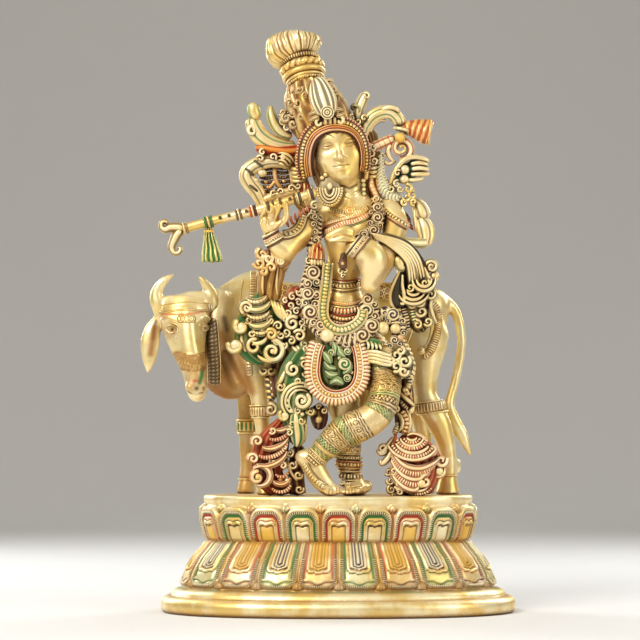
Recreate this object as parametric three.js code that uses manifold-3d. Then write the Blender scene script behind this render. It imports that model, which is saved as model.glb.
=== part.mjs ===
// Cast brass devotional group on an oval lotus plinth: a standing flute player with one leg
// crossed over the other, dressed in a tall crown, garlands and a long flounced shawl, and a
// cow standing behind with its head turned to the side. Millimetres, +Z up, origin at the
// middle of the plinth's underside, the front of the group facing -Y.
//
// Three separate castings: the plinth, the cow and the flute player with everything worn or
// held. Each is one closed solid.
import * as THREE from "three";
import { mergeVertices } from "three/addons/utils/BufferGeometryUtils.js";
import Module from "manifold-3d";

const wasm = await Module();
wasm.setup();

// ---------------------------------------------------------------- driving sizes
const TOP = 104; // height of the plinth, on which feet, hooves and cloth ends stand
const GAP = 0.3; // clearance between castings that rest on each other
const RIM_HALF_LENGTH = 158.5; // half length of the plinth at its foot
const RIM_HALF_DEPTH = 106; // half depth of the plinth at its foot
const PETALS = 20; // petals round each tier of the lotus
const PETAL_COLUMNS = 4; // facets across one petal
const OUTLINE_POWER = 2.3; // 2 is an ellipse, more is fuller at the corners
const CROWN_FOOT = [-10.8, -23, 435.5]; // middle of the crown where it leaves the hair
const CROWN_LEAN = 21.9; // degrees to the left
const CROWN_FLAT = 0.92; // depth of the crown against its width
const FLUTE_MOUTH = [-18, -60, 371.1]; // the end at the lips
const FLUTE_FAR = [-138.7, -55, 338.9]; // the end with the scrolls
const FLUTE_RADIUS = 4.5;

// Each limb is a closed tube through its stations: x, y, z of the centre, then the half width
// seen from the front and the half depth.
const FIGURE = {
  torso: [[11.5, -26, 370.7, 10.7, 10.7], [10.6, -24, 358.3, 20.5, 11.6], [10.6, -24, 347.6, 25.8, 14.3], [10.6, -26, 333.1, 24.0, 15.1], [7.9, -27, 315.2, 18.2, 13.3], [6.1, -28, 294.6, 14.7, 12.0], [6.1, -28, 277.6, 16.9, 13.8], [7.0, -26, 255.4, 25.8, 16.9], [9.6, -26, 234.9, 32.0, 19.6], [12.3, -27, 217.1, 32.0, 18.7], [14.0, -28, 204.6, 23.1, 15.1]],
  neck: [[7.9, -28, 388.4, 10.7, 10.7], [10.6, -27, 376.0, 10.2, 10.2], [12.4, -25, 361.8, 12.5, 11.6]],
  r_upper_arm: [[-18.9, -24, 347.6, 9.8, 9.8], [-31.3, -37, 334.1, 9.7, 9.7], [-44.5, -48, 317.3, 8.4, 8.4]],
  r_forearm: [[-44.5, -48, 315.5, 8.8, 8.8], [-53.3, -51, 322.4, 8.4, 8.4], [-60.3, -52, 334.7, 6.2, 6.2]],
  l_upper_arm: [[42.7, -24, 351.1, 10.7, 10.7], [48.7, -34, 334.3, 10.6, 10.6], [42.1, -47, 313.8, 11.5, 11.5], [30.5, -54, 293.0, 8.8, 8.8]],
  l_forearm: [[30.5, -54, 293.0, 8.8, 8.8], [25.1, -60, 305.9, 11.8, 11.8], [12.7, -66, 318.7, 7.4, 7.4]],
  stand_leg: [[-1.0, -22, 231.5, 19.6, 19.6], [2.5, -25, 202.0, 16.0, 16.0], [7.8, -28, 172.6, 12.4, 12.4], [10.5, -22, 154.9, 11.6, 11.6], [11.4, -24, 128.2, 7.6, 7.6], [14.0, -25, 117.6, 8.0, 8.0], [15.8, -26, 105.2, 8.0, 8.0]],
  stand_foot: [[25.8, -12, 112.9, 5.4, 5.4], [23.9, -17, 111.2, 8.5, 7.6], [17.5, -30, 111.5, 8.4, 6.7], [12.0, -42, 110.0, 9.3, 4.9], [9.3, -52, 108.4, 8.4, 3.5]],
  cross_thigh: [[28.4, -24, 231.4, 22.3, 22.3], [38.7, -38, 208.0, 17.7, 17.7], [40.2, -48, 186.6, 15.0, 15.0], [35.6, -56, 169.0, 12.3, 12.3]],
  cross_shin: [[35.6, -56, 170.7, 12.3, 12.3], [16.3, -56, 163.7, 12.7, 12.7], [-3.9, -52, 152.3, 11.4, 11.4], [-21.5, -48, 139.1, 7.9, 7.9], [-27.6, -47, 134.7, 7.1, 7.1]],
  cross_foot: [[-34.7, -46, 141.7, 4.4, 4.4], [-30.3, -46, 138.2, 7.5, 7.5], [-25.0, -48, 130.3, 7.9, 7.1], [-12.7, -50, 116.3, 7.5, 6.2], [-3.0, -52, 107.6, 4.4, 4.4]],
};
const DRESS = {
  plume: [[-9.1, -44, 429.5, 6.2, 3.5], [-10.0, -46, 440.0, 9.7, 5.3], [-13.5, -46, 453.3, 12.4, 4.4], [-16.2, -42, 467.2, 11.5, 4.4], [-18.0, -38, 474.9, 6.2, 3.5]],
  leaf_left: [[-39.5, -18, 417.3, 5.4, 4.5], [-53.9, -18, 420.0, 8.0, 5.4], [-68.2, -18, 429.9, 8.9, 5.4], [-74.5, -18, 442.5, 8.0, 5.4], [-78.1, -18, 451.5, 5.8, 4.5]],
  leaf_left_inner: [[-55.6, -20, 421.5, 5.4, 4.5], [-59.2, -20, 435.9, 5.4, 3.6], [-61.9, -20, 449.4, 2.7, 2.7]],
  band_left: [[-34.1, -16, 413.0, 8.0, 6.3], [-52.1, -16, 411.2, 8.0, 5.4], [-68.2, -16, 412.1, 6.3, 5.4]],
  lattice_left: [[-50.3, -13, 406.1, 15.2, 4.0], [-52.1, -13, 384.5, 17.0, 4.0], [-46.7, -15, 359.1, 16.1, 4.5]],
  leaf_right: [[16.1, -18, 436.2, 6.3, 4.5], [18.8, -18, 450.6, 7.1, 5.4], [25.1, -18, 463.2, 4.5, 3.6]],
  arch_right: [[21.5, -18, 429.0, 5.4, 4.5], [28.6, -18, 441.6, 5.8, 4.5], [40.3, -18, 448.8, 5.8, 4.5], [50.2, -18, 444.3, 5.8, 4.5], [55.5, -19, 433.3, 6.2, 5.4], [57.3, -20, 423.3, 6.2, 6.2]],
  knob_right: [[59.1, -18, 429.0, 7.1, 5.4], [69.9, -18, 431.7, 8.9, 7.1], [79.7, -18, 429.0, 9.4, 7.1], [82.4, -18, 427.2, 6.3, 5.4]],
  arm_right: [[21.5, -16, 411.2, 7.2, 5.4], [35.8, -17, 418.3, 8.0, 5.4], [51.9, -18, 425.4, 7.1, 5.4]],
  curl_right: [[44.8, -16, 414.8, 7.2, 5.4], [55.5, -18, 411.9, 9.8, 6.3], [65.4, -17, 417.4, 5.4, 4.5]],
  bird_neck: [[40.3, -18, 406.5, 3.6, 3.6], [37.5, -19, 396.5, 4.5, 4.5], [38.4, -20, 383.8, 6.2, 6.2], [42.9, -20, 373.0, 8.0, 8.0], [51.8, -20, 366.7, 8.0, 8.0], [60.8, -20, 369.4, 4.5, 4.5]],
  bird_wing: [[48.2, -20, 371.2, 8.9, 5.4], [57.2, -20, 383.8, 9.8, 5.4], [68.0, -18, 394.8, 8.0, 4.5], [80.7, -16, 400.4, 2.7, 2.7]],
  bird_wing_low: [[53.6, -19, 369.5, 7.1, 5.4], [66.2, -18, 378.6, 7.1, 4.5], [82.4, -16, 385.1, 3.6, 2.7]],
  tail: [[55.5, -18, 367.8, 6.3, 5.4], [66.2, -18, 360.6, 7.1, 5.4], [73.3, -20, 347.9, 8.9, 5.4], [78.4, -24, 333.2, 7.1, 5.3], [76.5, -28, 324.9, 5.3, 4.4], [63.8, -34, 321.8, 4.4, 4.4]],
  shawl_right: [[31.5, -50, 336.6, 4.4, 4.4], [43.8, -52, 329.4, 6.2, 5.3], [56.2, -50, 320.7, 8.8, 7.0], [62.5, -46, 306.8, 11.5, 7.9], [62.6, -42, 289.3, 15.0, 8.8], [66.2, -38, 271.8, 16.8, 8.9], [72.6, -34, 256.0, 10.6, 7.1], [76.2, -32, 245.4, 6.2, 5.3]],
  shawl_right_curl: [[67.1, -40, 301.9, 7.1, 5.3], [79.6, -38, 303.8, 8.9, 6.2], [84.9, -37, 296.7, 7.1, 5.3]],
  shawl_right_inner: [[54.7, -40, 303.6, 5.3, 4.4], [50.4, -36, 284.3, 8.0, 5.3], [51.4, -30, 270.4, 6.2, 5.3]],
  shawl_left_flare: [[-42.7, -44, 309.6, 7.1, 6.2], [-56.8, -50, 311.8, 9.7, 7.9], [-68.3, -48, 312.9, 7.1, 6.2], [-73.7, -46, 313.9, 2.6, 2.6]],
  shawl_left_fall: [[-56.9, -44, 310.5, 11.5, 7.9], [-60.5, -38, 294.9, 9.7, 7.1], [-62.4, -33, 278.3, 8.9, 7.1]],
  flounce_left: [[-60.6, -33, 282.7, 8.9, 7.1], [-67.7, -34, 268.4, 19.5, 8.0], [-73.0, -34, 252.4, 23.9, 8.9], [-74.8, -34, 238.2, 22.2, 8.9], [-67.7, -32, 225.8, 14.2, 7.1]],
  waist_cloth: [[-9.1, -24, 277.8, 8.0, 8.0], [-28.7, -22, 261.8, 13.4, 8.9], [-39.4, -22, 244.0, 14.3, 8.9], [-41.1, -24, 227.9, 10.7, 8.9]],
  flounce_mid: [[-14.4, -36, 234.6, 10.6, 7.1], [-30.4, -40, 216.8, 15.0, 8.8], [-36.5, -42, 195.5, 15.9, 8.8], [-37.4, -42, 170.8, 11.5, 7.1], [-35.6, -40, 149.6, 7.1, 5.3]],
  ribbon_left: [[-44.8, -18, 237.9, 6.3, 7.1], [-59.2, -12, 217.5, 6.3, 4.5], [-61.0, -12, 197.8, 6.3, 4.5], [-62.7, -14, 181.6, 7.2, 5.4]],
  flounce_low_left: [[-42.8, -34, 172.6, 4.4, 4.4], [-51.6, -34, 156.7, 10.6, 7.1], [-60.5, -34, 139.0, 16.9, 8.9], [-62.2, -34, 123.0, 17.7, 9.8], [-58.7, -34, 108.9, 18.6, 10.6], [-56.9, -34, 100.1, 17.7, 10.6]],
  flounce_low_left_b: [[-35.7, -30, 153.1, 4.4, 4.4], [-39.3, -30, 133.6, 9.8, 7.1], [-42.8, -32, 115.9, 12.4, 8.9], [-44.5, -32, 100.0, 12.4, 8.9]],
  apron: [[3.3, -40, 239.8, 21.2, 8.0], [2.3, -44, 222.0, 23.8, 8.8], [2.3, -46, 204.3, 21.2, 8.8], [3.2, -46, 190.2, 11.5, 6.2]],
  garland: [[-10.0, -36, 348.4, 4.4, 4.4], [-17.1, -42, 324.8, 5.7, 5.3], [-21.5, -44, 298.9, 6.2, 5.3], [-23.3, -44, 274.1, 7.1, 5.7], [-18.0, -46, 254.6, 7.1, 5.7], [-4.7, -49, 241.2, 7.0, 5.7], [12.0, -49, 239.5, 7.0, 5.7], [26.2, -47, 248.4, 7.1, 5.7], [34.2, -44, 263.5, 7.1, 5.7], [30.7, -42, 278.7, 6.2, 5.3]],
  garland_right: [[35.4, -34, 368.2, 4.4, 4.4], [35.3, -36, 351.9, 4.9, 4.4], [29.8, -44, 337.1, 5.3, 4.4]],
  garland_low: [[33.3, -42, 261.0, 7.1, 5.3], [47.6, -40, 264.6, 8.8, 6.2], [56.5, -38, 254.0, 8.9, 6.2], [58.3, -36, 236.4, 7.1, 5.3], [63.6, -34, 215.1, 5.3, 4.4], [67.1, -34, 195.6, 5.3, 4.4], [61.8, -34, 177.9, 6.2, 4.4]],
  hip_sash: [[20.9, -42, 230.9, 6.2, 5.3], [36.8, -44, 228.2, 7.1, 6.2], [52.8, -42, 223.8, 9.7, 7.1], [63.5, -38, 215.0, 7.1, 5.3]],
  flounce_low_right: [[56.5, -34, 190.3, 5.3, 4.4], [57.3, -36, 170.8, 7.1, 5.3], [59.0, -36, 156.7, 13.3, 8.0], [64.3, -38, 139.9, 23.9, 11.5], [67.8, -38, 123.1, 29.2, 12.4], [66.0, -38, 109.0, 23.9, 11.5], [65.1, -38, 100.2, 21.2, 10.6]],
  ribbon_right: [[44.3, -24, 188.7, 4.5, 4.5], [51.3, -28, 175.3, 5.3, 4.4], [56.5, -32, 162.0, 6.2, 5.3]],
  earring_left: [[-10.0, -40, 387.2, 6.2, 8.8], [-9.1, -42, 374.6, 9.7, 8.0], [-9.1, -42, 365.7, 7.1, 7.1], [-9.1, -42, 360.3, 2.7, 4.4]],
  earring_right: [[23.1, -28, 402.7, 4.4, 3.6], [22.2, -28, 386.6, 5.3, 4.4], [21.2, -30, 366.7, 4.4, 4.4]],
  hand_left: [[12.7, -66, 318.7, 7.0, 6.1], [3.1, -68, 326.4, 7.4, 5.2], [-7.4, -66, 331.9, 4.8, 3.5], [-14.4, -64, 335.5, 2.6, 2.6]],
  hand_right: [[-60.3, -52, 334.7, 6.2, 5.3], [-61.2, -52, 345.3, 7.9, 5.3], [-55.9, -52, 354.1, 7.0, 4.4]],
  finger_right: [[-52.4, -52, 341.8, 4.4, 3.5], [-47.0, -56, 352.9, 3.5, 3.5], [-47.9, -60, 362.3, 3.1, 3.1]],
  shoulder_tress_left: [[-27.0, -14, 404.2, 7.2, 6.3], [-29.7, -16, 381.5, 8.0, 6.3], [-28.7, -18, 363.3, 7.1, 6.3]],
  shoulder_tress_right: [[25.1, -14, 413.2, 7.2, 6.3], [30.4, -16, 389.6, 7.2, 6.3], [32.1, -20, 367.6, 6.2, 6.2]],
  flute_mouth_top: [[-136.0, -55, 339.8, 4.4, 4.4], [-146.6, -55, 339.8, 5.3, 4.4], [-151.9, -55, 345.1, 3.5, 3.5], [-154.5, -55, 341.5, 2.6, 2.6], [-151.9, -55, 337.1, 1.8, 1.8]],
  flute_mouth_low: [[-137.8, -55, 338.0, 4.4, 4.4], [-145.7, -55, 330.9, 5.3, 4.4], [-147.4, -55, 323.0, 3.5, 3.5], [-143.0, -55, 318.6, 2.6, 2.6], [-138.6, -55, 323.9, 1.8, 1.8]],
  tassel: [[-114.9, -54, 345.1, 2.2, 2.2], [-114.0, -54, 336.3, 4.0, 3.5], [-112.2, -54, 323.9, 7.0, 4.8], [-111.3, -54, 311.6, 9.2, 6.2]],
};
const COW = {
  body: [[-101.6, 22, 245.6, 20.0, 13.6], [-89.0, 25, 250.2, 40.0, 21.8], [-69.1, 28, 254.9, 41.9, 25.5], [-39.0, 28, 254.9, 40.1, 26.4], [-2.5, 28, 252.2, 39.2, 28.2], [38.5, 28, 253.1, 38.3, 28.2], [67.7, 28, 252.2, 37.3, 26.4], [87.7, 28, 250.3, 33.7, 21.9], [98.6, 28, 247.6, 18.2, 11.8]],
  hump: [[-89.1, 26, 280.4, 14.6, 11.8], [-74.5, 26, 287.7, 18.2, 13.6], [-58.1, 26, 280.4, 12.7, 11.8]],
  neck: [[-79.8, 22, 239.2, 40.0, 20.0], [-92.3, 15, 239.9, 47.1, 18.1], [-104.7, 6, 242.3, 47.8, 13.5], [-116.1, -2, 242.9, 41.4, 10.8], [-123.9, -8, 246.3, 30.5, 9.0]],
  head: [[-135.4, -12, 281.1, 21.5, 12.5], [-136.2, -14, 271.2, 23.3, 16.1], [-136.9, -18, 256.6, 21.9, 16.1], [-134.8, -22, 240.4, 16.9, 14.3], [-131.0, -26, 224.2, 12.9, 12.5], [-127.3, -29, 209.0, 10.2, 10.7], [-125.4, -31, 198.3, 9.3, 9.8], [-125.4, -31, 192.1, 5.3, 6.2]],
  horn_left: [[-156.8, -14, 273.8, 6.7, 6.7], [-160.4, -14, 281.9, 5.4, 5.4], [-158.6, -15, 289.0, 4.7, 4.7], [-153.2, -16, 295.3, 3.2, 3.2], [-147.4, -16, 300.2, 1.1, 1.1]],
  horn_right: [[-114.8, -12, 277.5, 6.7, 6.7], [-115.7, -12, 285.6, 5.4, 5.4], [-118.4, -13, 291.8, 4.3, 4.3], [-121.9, -14, 296.7, 2.7, 2.7], [-124.8, -14, 299.9, 1.0, 1.0]],
  ear_left: [[-156.9, -12, 266.8, 3.6, 3.6], [-163.9, -14, 256.8, 6.3, 3.6], [-167.4, -15, 242.4, 8.5, 3.1], [-169.2, -15, 228.1, 7.2, 3.1], [-170.0, -15, 214.7, 1.8, 1.8]],
  ear_right: [[-115.0, -8, 269.6, 3.6, 3.6], [-105.2, -5, 259.0, 6.3, 3.1], [-97.1, -3, 244.7, 7.2, 3.1], [-90.0, -2, 230.3, 4.9, 2.7], [-85.5, -1, 220.4, 1.8, 1.8]],
  foreleg_near: [[-79.3, 4, 234.1, 18.0, 14.4], [-73.8, 0, 208.8, 11.7, 10.8], [-70.1, -2, 187.1, 8.1, 8.1], [-68.3, -2, 171.0, 7.0, 7.0], [-66.5, -2, 148.5, 6.3, 6.3], [-66.0, -2, 124.3, 6.1, 6.1], [-65.5, -3, 114.5, 7.6, 7.6], [-65.0, -5, 99.3, 9.4, 9.4]],
  foreleg_far: [[-80.1, 32, 247.8, 18.2, 13.7], [-82.9, 36, 224.1, 16.4, 12.8], [-83.9, 38, 204.1, 11.9, 10.1], [-83.9, 40, 185.8, 8.7, 8.2], [-83.4, 40, 162.0, 7.5, 7.5], [-82.9, 40, 136.5, 6.6, 6.6], [-82.9, 40, 118.2, 7.5, 7.5], [-84.2, 38, 98.2, 10.1, 9.6]],
  hindleg_near: [[77.9, 10, 243.3, 21.7, 16.3], [77.8, 9, 214.4, 12.6, 13.6], [78.6, 7, 194.5, 10.8, 10.8], [83.0, 6, 180.9, 11.3, 10.4], [92.0, 7, 163.8, 10.4, 9.5], [97.9, 8, 145.8, 8.1, 8.1], [99.2, 8, 127.8, 7.2, 7.2], [99.2, 8, 117.0, 8.6, 8.1], [99.1, 6, 97.2, 13.5, 10.8]],
  hindleg_far: [[68.0, 36, 264.4, 21.9, 15.5], [70.0, 42, 239.9, 21.1, 13.7], [70.0, 45, 217.0, 13.8, 11.9], [68.2, 46, 194.1, 10.1, 9.2], [75.5, 46, 171.2, 9.2, 8.3], [79.1, 46, 147.4, 7.3, 7.3], [79.5, 46, 119.9, 7.3, 7.3], [79.5, 45, 96.2, 11.0, 10.1]],
  tail: [[87.8, 30, 278.7, 7.3, 6.4], [99.7, 30, 277.8, 5.5, 5.5], [108.8, 30, 266.9, 4.6, 4.6], [112.9, 30, 245.9, 4.3, 4.3], [111.0, 30, 224.0, 4.1, 4.1], [105.4, 28, 200.2, 4.1, 4.1], [101.0, 24, 185.6, 4.5, 4.5], [104.6, 24, 171.1, 5.5, 5.5], [111.9, 24, 156.6, 5.9, 4.5], [117.7, 24, 144.8, 3.6, 3.2], [120.9, 24, 137.5, 1.1, 1.1]],
};
const ROUNDS = {
  head: [0.7, -30, 409.7, 22.2, 22.2, 30.2, -9],
  hair: [-2.7, -16, 416.6, 30.4, 19.7, 31.3, -9],
  deltoid_left: [-20.7, -24, 347.6, 10.7, 9.8, 10.7, 0],
  deltoid_right: [43.6, -24, 352.9, 11.1, 9.8, 10.7, 0],
  bead_right: [55.3, -24, 422.9, 6.2, 5.3, 6.2, 0],
  chest: [10.5, -32, 338.0, 21.3, 10.7, 14.2, 0],
};

// ---------------------------------------------------------------- solids
function solidFrom(geometry) {
  const bare = new THREE.BufferGeometry();
  bare.setAttribute("position", geometry.getAttribute("position").clone());
  if (geometry.index) bare.setIndex(geometry.index.clone());
  const merged = mergeVertices(bare, 1e-4);
  return new wasm.Manifold(
    new wasm.Mesh({
      numProp: 3,
      vertProperties: new Float32Array(merged.attributes.position.array),
      triVerts: new Uint32Array(merged.index.array),
    }),
  );
}

// The four numbers of a station are blended along a smooth curve through the stations.
function sample(stations, t) {
  const n = stations.length - 1;
  const s = Math.min(t * n, n - 1e-9);
  const i = Math.floor(s);
  const f = s - i;
  const at = (k) => stations[Math.max(0, Math.min(n, k))];
  return stations[0].map((_, c) => {
    const [a, b, d, e] = [at(i - 1)[c], at(i)[c], at(i + 1)[c], at(i + 2)[c]];
    const value =
      0.5 *
      (2 * b +
        (d - a) * f +
        (2 * a - 5 * b + 4 * d - e) * f * f +
        (3 * b - a - 3 * d + e) * f * f * f);
    return c < 3 ? value : Math.max(value, Math.min(b, d) * 0.8);
  });
}

function limb(stations, { sides = 10, perSpan = 2, grow = 0, flutes = 0, depth = 0 } = {}) {
  const rings = (stations.length - 1) * perSpan;
  const tube = new THREE.CylinderGeometry(1, 1, 1, sides, rings, false);
  const p = tube.getAttribute("position");
  const rows = [];
  const [from, to] = [stations[0], stations[stations.length - 1]];
  const run = [to[0] - from[0], to[1] - from[1], to[2] - from[2]];
  // A limb that points at the viewer, such as a foot, has its second half size upright.
  const lying = Math.abs(run[1]) > 0.7 * Math.hypot(...run);
  for (let i = 0; i <= rings; i++) {
    const t = i / rings;
    const [x, y, z, a, b] = sample(stations, t);
    const q0 = sample(stations, Math.max(0, t - 0.02));
    const q1 = sample(stations, Math.min(1, t + 0.02));
    const along = new THREE.Vector3(q1[0] - q0[0], q1[1] - q0[1], q1[2] - q0[2]).normalize();
    const back = lying
      ? new THREE.Vector3(0, 0, -1).addScaledVector(along, along.z).normalize()
      : new THREE.Vector3(0, 1, 0).addScaledVector(along, -along.y).normalize();
    const side = new THREE.Vector3().crossVectors(back, along).normalize();
    rows.push({ c: new THREE.Vector3(x, y, z), a: a + grow, b: b + grow, side, back, along });
  }
  for (let k = 0; k < p.count; k++) {
    const row = rows[Math.round((p.getY(k) + 0.5) * rings)];
    const px = p.getX(k);
    const pz = p.getZ(k);
    const radius = Math.hypot(px, pz);
    const angle = Math.atan2(px, pz);
    const ripple = radius > 0.5 ? 1 + depth * Math.cos(flutes * angle) : 0;
    const v = row.c
      .clone()
      .addScaledVector(row.side, -px * ripple * row.a)
      .addScaledVector(row.back, pz * ripple * row.b);
    p.setXYZ(k, v.x, v.y, v.z);
  }
  let solid = solidFrom(tube);
  if (solid.volume() < 0) throw new Error("a limb is inside out");
  return solid;
}

function round([x, y, z, rx, ry, rz, lean], grow = 0, wide = 8, high = 6) {
  const ball = new THREE.SphereGeometry(1, wide, high);
  ball.rotateX(Math.PI / 2);
  ball.scale(rx + grow, ry + grow, rz + grow);
  ball.rotateY((lean * Math.PI) / 180);
  ball.translate(x, y, z);
  return solidFrom(ball);
}

function slab(w, d, h, x, y, z) {
  const box = new THREE.BoxGeometry(w, d, h);
  box.translate(x, y, z);
  return solidFrom(box);
}

// Stations along part of an ellipse seen from the front, in degrees, 0 to the right and 90 up.
// Its middle stands out towards the front by bulge.
function arc({ centre: [x, y, z], across, up, from, to, half, thick, bulge = 0, count = 7 }) {
  return Array.from({ length: count + 1 }, (_, i) => {
    const t = ((from + ((to - from) * i) / count) * Math.PI) / 180;
    return [
      x + across * Math.cos(t),
      y - bulge * Math.sin((i / count) * Math.PI),
      z + up * Math.sin(t),
      half,
      thick,
    ];
  });
}

// A straight round rod.
function rod(from, to, radius, count) {
  return Array.from({ length: count + 1 }, (_, i) => [
    ...from.map((v, c) => v + ((to[c] - v) * i) / count),
    radius,
    radius,
  ]);
}

// A turned piece on a leaning axis, from heights and half widths above its foot.
function turned([x, y, z], lean, flat, profile, sides) {
  const lathe = new THREE.LatheGeometry(
    [
      new THREE.Vector2(0, profile[0][0]),
      ...profile.map(([h, r]) => new THREE.Vector2(r, h)),
      new THREE.Vector2(0, profile[profile.length - 1][0]),
    ],
    sides,
  );
  lathe.rotateX(Math.PI / 2);
  lathe.scale(1, flat, 1);
  lathe.rotateY((-lean * Math.PI) / 180);
  lathe.translate(x, y, z);
  const solid = solidFrom(lathe);
  if (solid.volume() > 0) return solid;
  const turn = lathe.index.array;
  for (let i = 0; i < turn.length; i += 3) [turn[i + 1], turn[i + 2]] = [turn[i + 2], turn[i + 1]];
  return solidFrom(lathe);
}

const joined = (solids) => solids.reduce((sum, s) => sum.add(s));

// ---------------------------------------------------------------- the lotus plinth
// Heights and half lengths of its outline, from the foot up.
const OUTLINE = [
  [0, 156.8],
  [8, 158.5],
  [12.5, 156.5],
  [15, 149.6],
  [20, 146.8],
  [22.5, 139.2],
  [30, 136.5],
  [38, 133.2],
  [47, 128.8],
  [56, 122.2],
  [64, 116.8],
  [73, 119.4],
  [83, 120.5],
  [91, 120.5],
  [96, 119.5],
  [104, 119.8],
];
const FLARE = RIM_HALF_LENGTH - RIM_HALF_DEPTH;
const LOWER = { foot: 22.5, tip: 63, rise: 4.2 }; // the tier that spreads downwards
const UPPER = { foot: 64, tip: 95, rise: 4.4 }; // the tier that stands up

// Fullness of a petal, from 0 at its edge to 1 on its crown. u runs -1 to 1 across it, v 0 to 1
// from its root to its rounded tip.
function petal(u, v) {
  if (v <= 0 || v >= 1) return 0;
  const half = 0.9 * (v < 0.6 ? 1 : Math.sqrt(Math.max(0, 1 - ((v - 0.6) / 0.4) ** 2)));
  if (half <= 0 || Math.abs(u) >= half) return 0;
  const across = 1 - (Math.abs(u) / half) ** 3;
  const along = Math.min(1, v / 0.12) * Math.min(1, (1 - v) / 0.12);
  return across * (0.45 + 0.55 * v) * along;
}

// The outline's points at equal distances round it, so that every petal is as wide.
function roundOutline(count) {
  const fine = 4000;
  const a = 128;
  const b = a - FLARE;
  const e = 2 / OUTLINE_POWER;
  const point = (t) => [
    a * Math.sign(Math.sin(t)) * Math.abs(Math.sin(t)) ** e,
    -b * Math.sign(Math.cos(t)) * Math.abs(Math.cos(t)) ** e,
  ];
  const run = [0];
  let last = point(0);
  for (let i = 1; i <= fine; i++) {
    const next = point((i / fine) * 2 * Math.PI);
    run.push(run[i - 1] + Math.hypot(next[0] - last[0], next[1] - last[1]));
    last = next;
  }
  const angles = [];
  let k = 0;
  for (let j = 0; j < count; j++) {
    const want = (j / count) * run[fine];
    while (run[k + 1] < want) k++;
    angles.push(((k + (want - run[k]) / (run[k + 1] - run[k])) / fine) * 2 * Math.PI);
  }
  return angles;
}

function plinth() {
  const columns = PETALS * PETAL_COLUMNS;
  const profile = [
    new THREE.Vector2(0, 0),
    ...OUTLINE.map(([z, r]) => new THREE.Vector2(r, z)),
    new THREE.Vector2(0, TOP),
  ];
  const turned = new THREE.LatheGeometry(profile, columns);
  const angles = roundOutline(columns);
  const p = turned.getAttribute("position");
  const e = 2 / OUTLINE_POWER;
  const rows = profile.length;
  for (let k = 0; k < p.count; k++) {
    const column = Math.floor(k / rows) % columns;
    const { x: r, y: z } = profile[k % rows];
    if (r === 0) {
      p.setXYZ(k, 0, 0, z);
      continue;
    }
    const t = angles[column];
    const s = (column / columns) * PETALS;
    const across = (shift) => 2 * (s + shift - Math.floor(s + shift)) - 1;
    let swell = 0;
    if (z > LOWER.foot && z < LOWER.tip)
      swell = LOWER.rise * petal(across(0), 1 - (z - LOWER.foot) / (LOWER.tip - LOWER.foot));
    if (z > UPPER.foot && z < UPPER.tip)
      swell = UPPER.rise * petal(across(0.5), (z - UPPER.foot) / (UPPER.tip - UPPER.foot));
    const a = r + swell;
    const b = a - FLARE;
    p.setXYZ(
      k,
      a * Math.sign(Math.sin(t)) * Math.abs(Math.sin(t)) ** e,
      -b * Math.sign(Math.cos(t)) * Math.abs(Math.cos(t)) ** e,
      z,
    );
  }
  let solid = solidFrom(turned);
  if (solid.volume() < 0) {
    const flip = turned.index.array;
    for (let i = 0; i < flip.length; i += 3) [flip[i + 1], flip[i + 2]] = [flip[i + 2], flip[i + 1]];
    solid = solidFrom(turned);
  }
  return solid;
}

// ---------------------------------------------------------------- the cow
const COW_SIDES = { body: 14, neck: 10, head: 10, foreleg_near: 7, foreleg_far: 6, hindleg_near: 7, hindleg_far: 6 };
const cowWith = (grow) =>
  joined(
    Object.entries(COW).map(([name, stations]) =>
      limb(stations, { sides: COW_SIDES[name] ?? 5, perSpan: 1, grow }),
    ),
  );

// ---------------------------------------------------------------- the flute player
const FLUTED = {
  flounce_left: [5, 0.12],
  flounce_mid: [4, 0.12],
  flounce_low_left: [6, 0.1],
  flounce_low_right: [7, 0.1],
  shawl_right: [4, 0.12],
  tassel: [4, 0.1],
};
const FIGURE_SIDES = { torso: 11, stand_leg: 7, cross_thigh: 8, cross_shin: 7 };
// Heights above the crown's foot and half widths: hair cone, ring mouldings, flaring tuft.
const CROWN_PROFILE = [
  [0, 25.8],
  [20, 22.3],
  [35, 20.1],
  [43, 16.5],
  [48, 18.7],
  [54, 18.7],
  [58, 14.7],
  [63, 16],
  [70, 22.3],
  [77, 24.5],
  [83, 17.5],
  [86.5, 9],
];
const REGULAR = {
  hairband: arc({ centre: [-4, -22, 404], across: 31, up: 38, from: 199, to: 3, half: 6.8, thick: 7.8, bulge: 7 }),
  loop_left: arc({ centre: [-58, -17, 381], across: 24, up: 25, from: 50, to: 258, half: 5.8, thick: 5.2, bulge: 2 }),
  girdle_loop: arc({ centre: [1.5, -46, 213], across: 24.6, up: 27, from: 135, to: 405, half: 6, thick: 4.4, bulge: 8 }),
  flute: rod(FLUTE_MOUTH, FLUTE_FAR, FLUTE_RADIUS, 2),
};
function player() {
  const parts = [];
  for (const [name, stations] of Object.entries(FIGURE))
    parts.push(limb(stations, { sides: FIGURE_SIDES[name] ?? 6, perSpan: 1 }));
  for (const [name, stations] of Object.entries({ ...DRESS, ...REGULAR })) {
    const [flutes, depth] = FLUTED[name] ?? [0, 0];
    parts.push(limb(stations, { sides: flutes ? 2 * flutes : 5, perSpan: 1, flutes, depth }));
  }
  parts.push(turned(CROWN_FOOT, CROWN_LEAN, CROWN_FLAT, CROWN_PROFILE, 10));
  for (const values of Object.values(ROUNDS)) parts.push(round(values));
  return joined(parts);
}

// ---------------------------------------------------------------- assembly
const below = slab(600, 400, 200, 0, 0, TOP + GAP - 100);
const cowSolid = cowWith(0).subtract(below);
const playerSolid = player().subtract(below).subtract(cowWith(GAP));

// The largest body, if trimming left a crumb.
function main(solid) {
  return solid
    .decompose()
    .sort((p, q) => q.volume() - p.volume())[0];
}

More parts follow.
